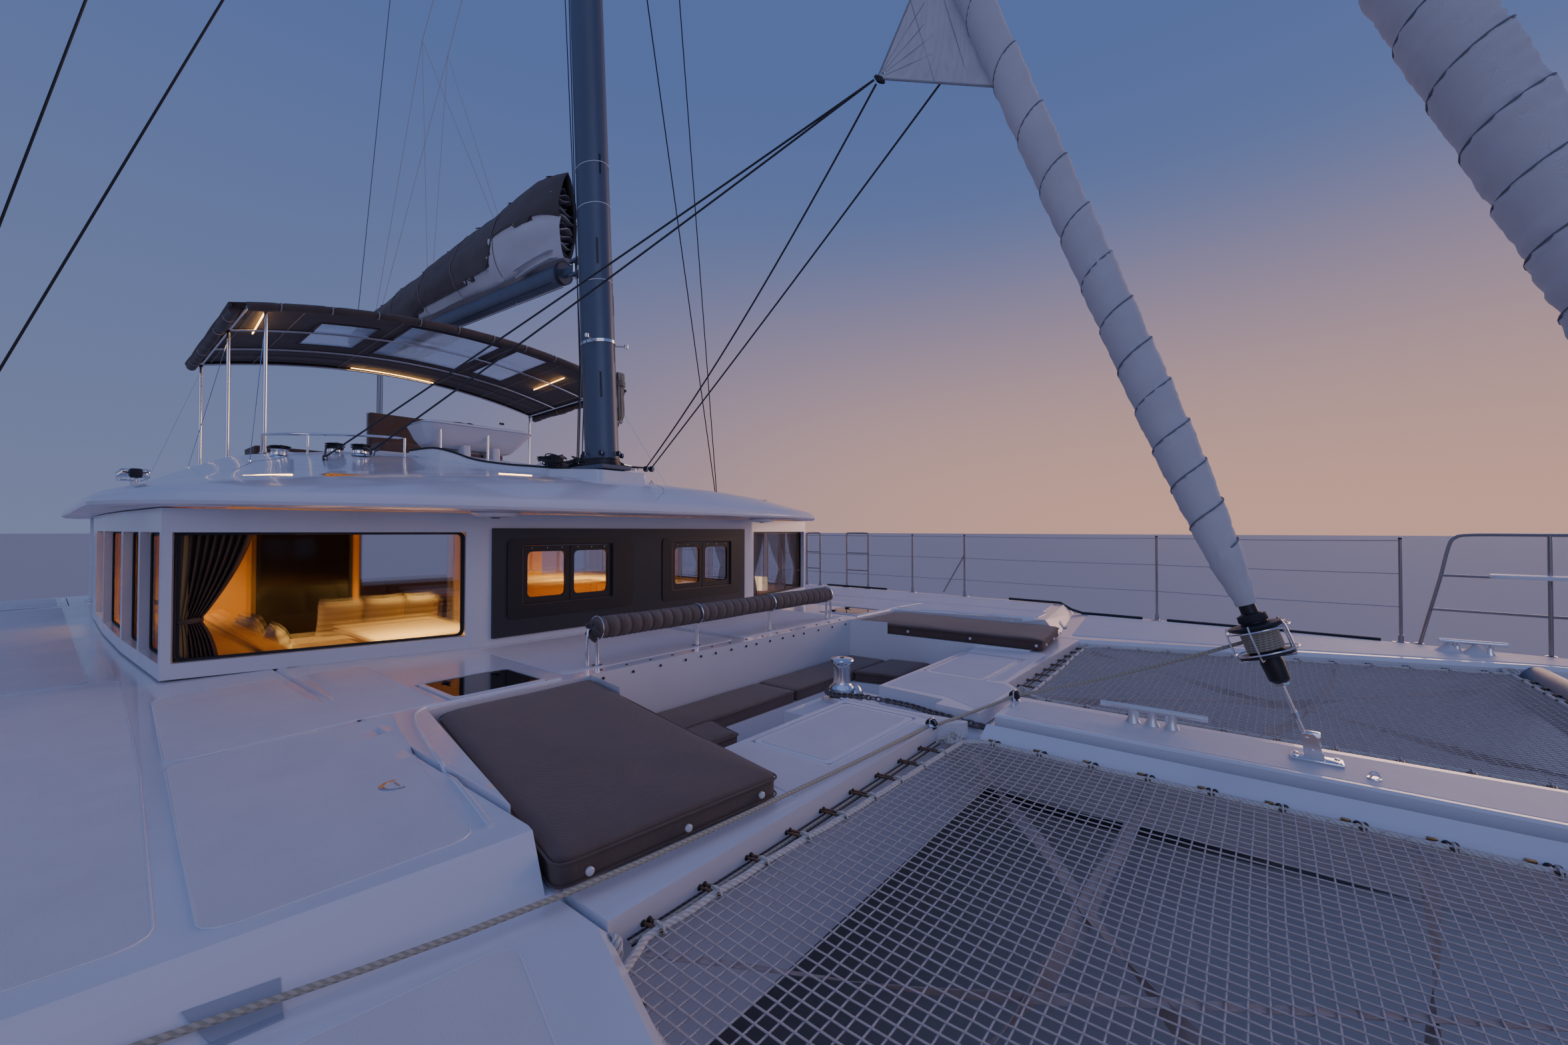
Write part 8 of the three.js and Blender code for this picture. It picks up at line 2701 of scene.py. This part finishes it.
def make_the_drives():
    """Engines, saildrives, propellers, rudders and the lids over the engines."""
    for name, side in SIDES.items():
        y = side * 3.75
        form = Form()
        form.box((-6.26, -5.62), (y - 0.20, y + 0.20), (-0.02, 0.30), "engine_paint", 0.03, 3)
        form.box((-6.22, -5.66), (y - 0.15, y + 0.15), (0.28, 0.50), "engine_paint", 0.04, 3)
        form.box((-6.18, -5.72), (y - 0.11, y + 0.11), (0.49, 0.556), "engine_paint", 0.02, 3)
        form.box((-6.20, -5.75), (y - 0.17, y + 0.17), (-0.135, 0.0), "engine_paint", 0.03, 3)
        for x in (-6.12, -5.76):
            for way in (-1, 1):
                form.box((x - 0.05, x + 0.05), (y + way * 0.19, y + way * 0.30), (0.02, 0.045),
                         "engine_paint", 0.006)
                form.standing([(0, 0), (0.036, 0), (0.030, 0.05), (0, 0.05)], (x, y + way * 0.25, -0.035),
                              "rubber", 20)
                form.standing([(0, 0), (0.013, 0), (0.013, 0.06), (0, 0.06)], (x, y + way * 0.25, 0.04),
                              "steel", 6)
        # Pulleys: y from the middle, z, radius
        for dy, z, radius in ((0.0, 0.06, 0.085), (0.0, 0.26, 0.06), (-0.15, 0.30, 0.04)):
            form.lathe([(0, 0), (radius, 0), (radius, 0.006), (radius - 0.008, 0.013), (radius, 0.020),
                        (radius, 0.026), (0, 0.026)], (-5.60, y + dy, z), (-5.0, y + dy, z), "black", 32)
        form.lathe([(0, 0), (0.062, 0), (0.065, 0.01), (0.065, 0.12), (0.05, 0.13), (0, 0.13)],
                   (-5.74, y - 0.17, 0.33), (-5.0, y - 0.17, 0.33), "pale_metal", 28)
        form.lathe([(0, 0), (0.048, 0), (0.048, 0.10), (0.04, 0.11), (0, 0.11)], (-5.95, y + 0.20, 0.10),
                   (-5.95, y + 9, 0.10), "pale_cap", 28)
        form.lathe([(0, 0), (0.07, 0), (0.07, 0.16), (0.06, 0.17), (0, 0.17)], (-6.02, y + 0.20, 0.38),
                   (-5.0, y + 0.20, 0.38), "black", 28)
        form.tube(curve([(-6.18, y - 0.16, 0.36), (-6.27, y - 0.20, 0.34), (-6.30, y - 0.24, 0.20),
                         (-6.26, y - 0.25, 0.05)], 6), 0.028, "rubber", 14)
        form.tube(curve([(-5.70, y + 0.10, 0.47), (-5.60, y + 0.16, 0.44), (-5.56, y + 0.20, 0.30),
                         (-5.60, y + 0.22, 0.14)], 6), 0.018, "rubber", 12)
        form.tube([(-6.20, y - 0.175, 0.40), (-5.70, y - 0.175, 0.40)], 0.030, "galvanised", 16)
        for k in range(4):
            x = -6.12 + 0.12 * k
            form.tube([(x, y - 0.14, 0.42), (x, y - 0.175, 0.40)], 0.018, "galvanised", 12)
            form.tube(curve([(x, y + 0.02, 0.552), (x + 0.01, y + 0.08, 0.555), (x + 0.02, y + 0.14, 0.50)],
                            4), 0.0035, "steel", 6)
        form.piece(f"engine_{name}_finished", replaces=f"engine_{name}")
        dressed(f"saildrive_{name}", "engine_paint", ease=0.008, angle=40)
        dressed(f"propeller_{name}", "bronze", f"propeller_{name}", ease=0.003)
        dressed(f"rudder_{name}", "antifouling", f"rudder_{name}", ease=0.010, angle=50)
        lid(f"engine_lid_{name}")


def lid(node):
    """An engine lid with its non-skid panel and two sunk rings."""
    low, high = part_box(node)
    dressed(node, "gelcoat", node, ease=0.006)
    panel = Form()
    outline = rectangle((low[0] + 0.05, high[0] - 0.05), (low[1] + 0.08, high[1] - 0.08))
    panel.plate(rounded(outline, 0.05), high[2] - 0.004, high[2] + 0.001, "non_skid", 0.001, 1)
    inner = (low[1] + 0.05) if abs(low[1]) < abs(high[1]) else (high[1] - 0.05)
    for share in (0.25, 0.75):
        x = low[0] + (high[0] - low[0]) * share
        panel.standing([(0, 0), (0.030, 0), (0.030, 0.002), (0.024, 0.003), (0.022, 0.001), (0, 0.001)],
                       (x, inner, high[2]), "steel", 24)
    panel.piece(f"{node}_panel", node, weighted=False)


CROSSBEAM = {"x": 6.95, "z": 1.78, "half": 3.516, "wide": 0.115, "high": 0.17}


def make_the_crossbeam():
    """The forward crossbeam with its striker."""
    form = Form()
    rings = []
    for k in range(13):
        y = -CROSSBEAM["half"] + 2 * CROSSBEAM["half"] * k / 12
        rings.append([(CROSSBEAM["x"] + math.cos(t) * CROSSBEAM["wide"], y,
                       CROSSBEAM["z"] + math.sin(t) * CROSSBEAM["high"]) for t in around(40)])
    form.rings(rings, "spar")
    form.box((6.872, 7.278), (-0.148, 0.148), (1.842, 1.958), "spar", 0.012)
    form.box((6.892, 7.008), (-0.029, 0.029), (1.081, 1.78), "spar", 0.008)
    for side in SIDES.values():
        form.tube([(CROSSBEAM["x"], 0, 1.10), (CROSSBEAM["x"], side * 3.3, CROSSBEAM["z"])], 0.0138, "steel",
                  12)
    form.piece("crossbeam_finished", replaces="crossbeam")


# Flybridge: console, wheel, seats and rails

# Rings of the console's bowl. Columns: height, x limits, y limits, corner
CONSOLE = [
    (3.861, (-1.99, -1.69), (-0.81, 0.05), 0.07), (3.865, (-2.0, -1.68), (-0.82, 0.06), 0.07),
    (3.90, (-2.025, -1.64), (-0.853, 0.093), 0.08), (3.96, (-2.06, -1.58), (-0.90, 0.14), 0.10),
    (4.04, (-2.085, -1.535), (-0.938, 0.20), 0.12), (4.085, (-2.098, -1.505), (-0.962, 0.24), 0.13),
    (4.098, (-2.10, -1.50), (-0.965, 0.245), 0.13), (4.108, (-2.094, -1.507), (-0.957, 0.236), 0.13),
    (4.112, (-2.088, -1.514), (-0.948, 0.226), 0.125), (4.130, (-2.082, -1.522), (-0.940, 0.216), 0.125),
    (4.138, (-2.06, -1.545), (-0.915, 0.19), 0.12), (4.140, (-2.03, -1.57), (-0.88, 0.16), 0.11),
]
WHEEL = {"x": -2.235, "y": -0.36, "z": 3.915, "radius": 0.33, "rim": 0.017, "tilt": 0.3}


def make_the_helm():
    """The helm's console and what is mounted on it."""
    form = Form()
    rings = []
    for z, limits_x, limits_y, corner in CONSOLE:
        rings.append([(x, y, z) for x, y in rounded(rectangle(limits_x, limits_y), corner, 8)])
    form.rings(rings, "gelcoat")
    for low, high in ((-0.56, -0.45), (-0.24, -0.12)):
        middle, half = (low + high) / 2, (high - low) / 2
        legs = []
        for z, front, back, share in ((3.62, -1.53, -1.80, 1.0), (3.75, -1.55, -1.80, 0.95),
                                      (3.90, -1.57, -1.795, 0.9)):
            section = [(back, middle - half * share), (front, middle - half * share * 0.7),
                       (front, middle + half * share * 0.7), (back, middle + half * share)]
            legs.append([(x, y, z) for x, y in rounded(section, 0.02, 4)])
        form.rings(legs, "gelcoat")
    form.piece("helm_console_finished", replaces="helm_console")
    trim = Form()
    edge = rounded(rectangle((-2.101, -1.499), (-0.966, 0.246)), 0.13, 8)
    # A darker grey line round the bowl's rim: painted shade of the seam there
    trim.tube([(x, y, 4.104) for x, y in edge], 0.004, "groove", 6, closed=True)
    trim.tube([(-1.55, -0.29, 3.70), (-1.55, -0.29, 4.10)], 0.014, "steel", 14)
    trim.tube([(-1.52, -0.80, 3.72), (-1.53, -0.80, 4.04)], 0.010, "steel", 12)
    # Instruments on the helm's side. Columns: y, half width
    trim.box((-2.098, -2.088), (-0.86, 0.12), (3.985, 4.085), "dark_panel", 0.004)
    for y, half in ((-0.70, 0.085), (-0.46, 0.12), (-0.18, 0.085), (0.02, 0.05)):
        trim.box((-2.106, -2.094), (y - half, y + half), (3.995, 4.075), "screen", 0.004)
    trim.standing([(0, 0), (0.055, 0), (0.058, 0.02), (0.045, 0.05), (0.02, 0.062), (0, 0.064)],
                  (-1.86, -0.36, 4.139), "black", 32)
    trim.box((-1.94, -1.88), (0.03, 0.09), (4.138, 4.17), "black", 0.01)
    for y in (0.045, 0.075):
        trim.tube([(-1.91, y, 4.165), (-1.94, y, 4.25)], 0.006, "steel", 10)
        trim.lathe([(0, -0.016), (0.012, -0.012), (0.015, 0), (0.012, 0.012), (0, 0.016)],
                   (-1.944, y, 4.262), (-1.95, y, 4.29), "black", 16)
    trim.piece("helm_instruments", weighted=False)


def make_the_wheel():
    """The wheel, tilted on its shaft."""
    wheel = Form()
    axis = Vector((-math.cos(WHEEL["tilt"]), 0, math.sin(WHEEL["tilt"])))
    across = Vector((0, 1, 0))
    up = axis.cross(across)
    centre = Vector((WHEEL["x"], WHEEL["y"], WHEEL["z"]))

    def rim_at(turn, radius):
        return centre + across * (math.cos(turn) * radius) + up * (math.sin(turn) * radius)

    wheel.tube([rim_at(2 * math.pi * k / 72, WHEEL["radius"]) for k in range(72)], WHEEL["rim"], "black", 14,
               closed=True)
    for k in range(5):
        turn = 2 * math.pi * k / 5
        wheel.tube([centre + axis * 0.01, rim_at(turn, 0.16) + axis * 0.012, rim_at(turn, WHEEL["radius"])],
                   0.0088, "steel", 12)
    wheel.lathe([(0, -0.055), (0.038, -0.055), (0.040, -0.045), (0.040, 0.022), (0.034, 0.032), (0, 0.035)],
                centre, centre + axis, "steel", 32)
    wheel.lathe([(0, -0.26), (0.020, -0.26), (0.020, 0), (0, 0)], centre, centre + axis, "steel", 20)
    wheel.piece("steering_wheel_finished", "wheel", "steering_wheel", weighted=False)


# Seats. Columns: name, node, x limits, y limits, foot, top of the cushion
SEATS = [
    ("helm", "fly_seats", (-3.12, -2.755), (-0.99, 0.49), 3.56, 4.01),
    ("lounge_aft", "fly_lounge", (-4.68, -4.105), (-1.89, 1.89), 3.56, 3.98),
    ("lounge_side", "fly_lounge", (-4.09, -2.01), (1.305, 1.89), 3.56, 3.98),
    ("cockpit_aft", "aft_seats", (-5.59, -5.155), (-2.39, 2.39), ON_FLOOR, 1.72),
    ("cockpit_side", "aft_seats", (-5.14, -4.305), (1.855, 2.39), ON_FLOOR, 1.72),
]
# Backs. Columns: name, node, x limits, y limits, heights
BACKS = [
    ("helm", "fly_seats", (-3.249, -3.131), (-0.99, 0.49), (3.58, 4.405)),
    ("cockpit_aft", "aft_seats", (-5.739, -5.602), (-2.39, 2.39), (1.30, 2.135)),
]
# Length that one cushion of a seat may have, at most about
CUSHION_LENGTH = 1.3


def make_the_seats():
    """Seats and backs of the flybridge and the aft cockpit, each cushion a piece of its own."""
    for name, node, x, y, low, top in SEATS:
        base = Form()
        base.box(x, y, (low + 0.001, top - 0.115), "gelcoat", 0.02, 3)
        base.piece(f"seat_base_{name}", replaces=node)
        parts = max(1, round((y[1] - y[0]) / CUSHION_LENGTH))
        for k in range(parts):
            a = y[0] + (y[1] - y[0]) * k / parts
            b = y[0] + (y[1] - y[0]) * (k + 1) / parts
            line = rounded(rectangle(x, (a, b), 0.006), 0.035, 4)
            cushion = cushion_form(line, top - 0.112, top - 0.008, "cushion", 0.020, seed=51 + k)
            piece = cushion.piece(f"seat_cushion_{name}_{k + 1}", replaces=node, weighted=False, angle=60)
    for name, node, x, y, z in BACKS:
        parts = max(1, round((y[1] - y[0]) / CUSHION_LENGTH))
        frame_form = Form()
        frame_form.box((x[0], x[0] + 0.03), y, z, "gelcoat", 0.012)
        frame_form.piece(f"seat_back_{name}", replaces=node)
        for k in range(parts):
            a = y[0] + (y[1] - y[0]) * k / parts + 0.006
            b = y[0] + (y[1] - y[0]) * (k + 1) / parts - 0.006
            # Made lying down, and then stood on its edge
            line = rounded(rectangle((-z[1] + 0.01, -z[0] - 0.40), (a, b)), 0.03, 4)
            cushion = cushion_form(line, 0.0, x[1] - x[0] - 0.034, "cushion", 0.018, seed=71 + k)
            cushion.placed(Matrix(((0, 0, 1, x[0] + 0.031), (0, 1, 0, 0), (-1, 0, 0, 0), (0, 0, 0, 1))))
            piece = cushion.piece(f"back_cushion_{name}_{k + 1}", replaces=node, weighted=False, angle=60)


def make_the_aft_table():
    """The table of the aft cockpit on its leg."""
    form = Form()
    form.plate(rounded(rectangle((-4.995, -4.105), (0.005, 1.595)), 0.09, 6), 1.972, 2.014, "wood", 0.010, 3)
    form.standing([(0, 0), (0.088, 0), (0.088, 0.012), (0.045, 0.05), (0.040, 0.60), (0.086, 0.68),
                   (0.086, 0.70), (0, 0.70)], (-4.55, 0.8, ON_FLOOR), "steel", 36)
    form.piece("aft_table_finished", replaces="aft_table")


def rails_on_the_roof():
    """A folding rack, hand rails and lamp strips on the roof."""
    form = Form()
    # A folding rack lying on the starboard eave
    x0, x1, y0, y1 = -0.62, -0.20, -3.165, -3.045
    z = roof_z(-0.4, -3.10) + 0.045
    corners = rounded(rectangle((x0, x1), (y0, y1)), 0.03, 4)
    for lift in (0.0, 0.045):
        form.tube([(x, y, z + lift) for x, y in corners], 0.0065, "steel", 10, closed=True)
    for k in range(3):
        a, b = x0 + 0.14 * k, x0 + 0.14 * (k + 1)
        form.tube([(a, y0, z + 0.02), (b, y1, z + 0.03)], 0.005, "steel", 8)
        form.tube([(a, y1, z + 0.02), (b, y0, z + 0.03)], 0.005, "steel", 8)
    for x in (x0 + 0.05, x1 - 0.05):
        form.tube([(x, -3.10, roof_z(x, -3.10)), (x, -3.10, z + 0.03)], 0.008, "steel", 10)
    form.box((x1 - 0.05, x1 + 0.03), (-3.135, -3.075), (z - 0.006, z + 0.052), "black", 0.012)
    # Hand rails before the flybridge
    for way in (-1, 1):
        points = [(-2.35, way * 2.12), (-1.98, way * 2.10), (-1.72, way * 1.9), (-1.62, way * 1.45),
                  (-1.60, way * 1.12)]
        top = [(x, y, roof_z(x, y) + 0.20) for x, y in points]
        first, last = points[0], points[-1]
        line = [(first[0] - 0.02, first[1], roof_z(*first))] + curve(top, 6) + [(*last, roof_z(*last))]
        form.tube(line, 0.0125, "steel", 14)
        x, y = points[2]
        form.tube([(x, y, roof_z(x, y)), (x, y, roof_z(x, y) + 0.20)], 0.0105, "steel", 12)
    form.piece("roof_rails", weighted=False)
    lamps = Form()
    # Warm strips along the dome. Columns: start, end
    for a, b in (((-0.05, -2.62), (0.25, -2.42)), ((0.30, -1.05), (0.42, -0.82))):
        line = spaced([(*a, 0), (*b, 0)], 0.06)
        lamps.tube([(x, y, roof_z(x, y) + 0.004) for x, y, _ in line], 0.005, "amber_light", 6)
    lamps.piece("roof_lamps", weighted=False)


WITHOUT_PIECE = {
    "gelcoat": "hull_ bridge_deck forward_deck centre_beam cabin_walls roof helm_console rudder_",
    "non_skid": "engine_lid_ locker_lid_",
    "engine_paint": "engine_starboard engine_port saildrive_",
    "bronze": "propeller_",
    "cushion": "forward_cushions sun_pad_ aft_seats fly_seats fly_lounge",
    "canvas": "bimini_canopy sail_bag cover_roller",
    "sailcloth": "genoa foresail",
    "netting": "net_",
    "steel": "windlass_ genoa_furler foresail_furler shrouds_ bimini_frame lifelines_ pulpit_ steering_wheel",
    "spar": "mast boom crossbeam",
    "dark_panel": "front_panel",
    "tinted_glass": "deck_hatch_ saloon_door",
    "cabin_glass": "window_band_ front_window_",
    "wood": "saloon_sofa galley aft_table",
}


def finish_shown_nodes():
    """Every node that is still shown gets its finish on its own slots."""
    for node, piece in NODES.items():
        for look, names in WITHOUT_PIECE.items():
            if any(node == n or (n.endswith("_") and node.startswith(n)) for n in names.split()):
                chosen = look
        piece.data.materials.clear()
        piece.data.materials.append(LOOKS[chosen])


# Camera, light and floor

CAMERA = {"place": (5.35, -3.475, 2.9576), "yaw": 38.72, "pitch": 0.76, "roll": 0.105, "lens": 13.672}


def make_camera():
    """The camera that stands where the photograph was taken."""
    yaw, pitch, roll = (math.radians(CAMERA[k]) for k in ("yaw", "pitch", "roll"))
    ahead = Vector((-math.sin(yaw) * math.cos(pitch), math.cos(yaw) * math.cos(pitch), math.sin(pitch)))
    right = Vector((math.cos(yaw), math.sin(yaw), 0))
    up = right.cross(ahead)
    rolled = right * math.cos(roll) + up * math.sin(roll)
    upright = up * math.cos(roll) - right * math.sin(roll)
    data = bpy.data.cameras.new("camera")
    data.lens = CAMERA["lens"]
    data.sensor_width = 36
    data.sensor_fit = "HORIZONTAL"
    data.clip_start = 0.05
    data.clip_end = 2000
    camera = bpy.data.objects.new("camera", data)
    turn = Matrix((rolled, upright, -ahead)).transposed()
    camera.matrix_world = Matrix.Translation(CAMERA["place"]) @ turn.to_4x4()
    bpy.context.scene.collection.objects.link(camera)
    bpy.context.scene.camera = camera


# Broad, far lamps. Columns: name, where it shines from, how wide it looks in degrees, strength, colour
LAMPS = [
    ("sky", (0.12, -0.06, 1.0), 70, 0.20, (0.58, 0.62, 1.0)),
    ("evening", (9, 26, 4.4), 36, 1.16, (1.0, 0.62, 0.44)),
    ("near_side", (12, -26, 11), 44, 0.30, (0.74, 0.74, 1.0)),
]
# Warm lamps under the saloon's ceiling. Columns: place, power
SALOON_LAMPS = [((-0.3, -1.4, 3.0), 34), ((-0.6, 1.3, 3.0), 30), ((-2.5, -0.6, 3.0), 30),
                ((-2.6, 1.6, 3.0), 26), ((-2.7, -2.3, 3.0), 16)]
WARM = (1.0, 0.60, 0.17)
SALOON_SPREAD = 118
# Sky of the studio: colour at the horizon, overhead, and the glow low on the port side
DUSK = {"horizon": (0.20, 0.235, 0.40), "overhead": (0.105, 0.162, 0.40), "glow": (0.74, 0.42, 0.33),
        "towards": (0.10, 0.99, 0.05), "strength": 0.94}


def add_lamp(name, kind, towards, power, colour, place=(0, 0, 40)):
    """A lamp that shines towards a direction and isn't itself seen."""
    data = bpy.data.lights.new(name, kind)
    data.energy = power
    data.color = colour
    lamp = bpy.data.objects.new(name, data)
    lamp.location = place
    lamp.rotation_euler = Vector(towards).to_track_quat("-Z", "Y").to_euler()
    lamp.visible_camera = False
    lamp.visible_transmission = False
    bpy.context.scene.collection.objects.link(lamp)
    return data


def dusk_world():
    """A soft sky: blue overhead, paler low down, with a warm glow towards one side."""
    world = bpy.data.worlds.new("studio")
    world.use_nodes = True
    tree = world.node_tree
    new, link = tree.nodes.new, tree.links.new
    direction = new("ShaderNodeTexCoord").outputs["Generated"]
    height = new("ShaderNodeSeparateXYZ")
    link(direction, height.inputs[0])
    sky = new("ShaderNodeMapRange")
    sky.inputs["From Max"].default_value = 0.6
    link(height.outputs["Z"], sky.inputs["Value"])
    blue = new("ShaderNodeMixRGB")
    blue.inputs[1].default_value = (*DUSK["horizon"], 1)
    blue.inputs[2].default_value = (*DUSK["overhead"], 1)
    link(sky.outputs[0], blue.inputs[0])
    facing = new("ShaderNodeVectorMath")
    facing.operation = "DOT_PRODUCT"
    facing.inputs[1].default_value = DUSK["towards"]
    link(direction, facing.inputs[0])
    side = new("ShaderNodeMapRange")
    side.interpolation_type = "SMOOTHSTEP"
    side.inputs["From Min"].default_value = 0.1
    side.inputs["From Max"].default_value = 1.05
    link(facing.outputs["Value"], side.inputs["Value"])
    low = new("ShaderNodeMapRange")
    low.interpolation_type = "SMOOTHSTEP"
    low.inputs["From Min"].default_value = 0.50
    low.inputs["From Max"].default_value = 0.0
    link(height.outputs["Z"], low.inputs["Value"])
    share = new("ShaderNodeMath")
    share.operation = "MULTIPLY"
    link(side.outputs[0], share.inputs[0])
    link(low.outputs[0], share.inputs[1])
    sunset = new("ShaderNodeMixRGB")
    sunset.inputs[2].default_value = (*DUSK["glow"], 1)
    link(share.outputs[0], sunset.inputs[0])
    link(blue.outputs[0], sunset.inputs[1])
    background = tree.nodes["Background"]
    link(sunset.outputs[0], background.inputs[0])
    background.inputs[1].default_value = DUSK["strength"]
    bpy.context.scene.world = world


def light_the_studio():
    """Wide outer lamps, warm inner lamps and the sky."""
    for name, source, wide, strength, colour in LAMPS:
        add_lamp(name, "SUN", -Vector(source), strength, colour).angle = math.radians(wide)
    for i, (place, power) in enumerate(SALOON_LAMPS):
        lamp = add_lamp(f"saloon_lamp_{i}", "AREA", (0, 0, -1), power, WARM, place)
        lamp.size = 0.7
        lamp.spread = math.radians(SALOON_SPREAD)
    dusk_world()


def lay_floor():
    """A wide plain floor at the waterline."""
    far = 600
    mesh = bpy.data.meshes.new("floor")
    mesh.from_pydata([(-far, -far, 0), (far, -far, 0), (far, far, 0), (-far, far, 0)], [], [(0, 1, 2, 3)])
    floor = bpy.data.objects.new("floor", mesh)
    LOOKS.add("pale_floor", colour=(0.50, 0.48, 0.47), rough=0.9)
    mesh.materials.append(LOOKS["pale_floor"])
    bpy.context.scene.collection.objects.link(floor)


make_camera()
light_the_studio()
lay_floor()
locker_tops()
hatches()
sun_pads()
cockpit_cushions()
rig_the_nets()
make_the_roof()
make_the_cabin()
make_the_saloon()
make_the_mast()
make_the_boom()
make_the_headsails()
make_the_windlass()
make_the_bimini()
make_the_shrouds()
make_the_cover_roller()
make_the_lifelines()
make_the_pulpits()
finish_the_hulls()
finish_the_deck()
make_the_drives()
make_the_crossbeam()
make_the_helm()
make_the_wheel()
make_the_seats()
make_the_aft_table()
rails_on_the_roof()
finish_shown_nodes()
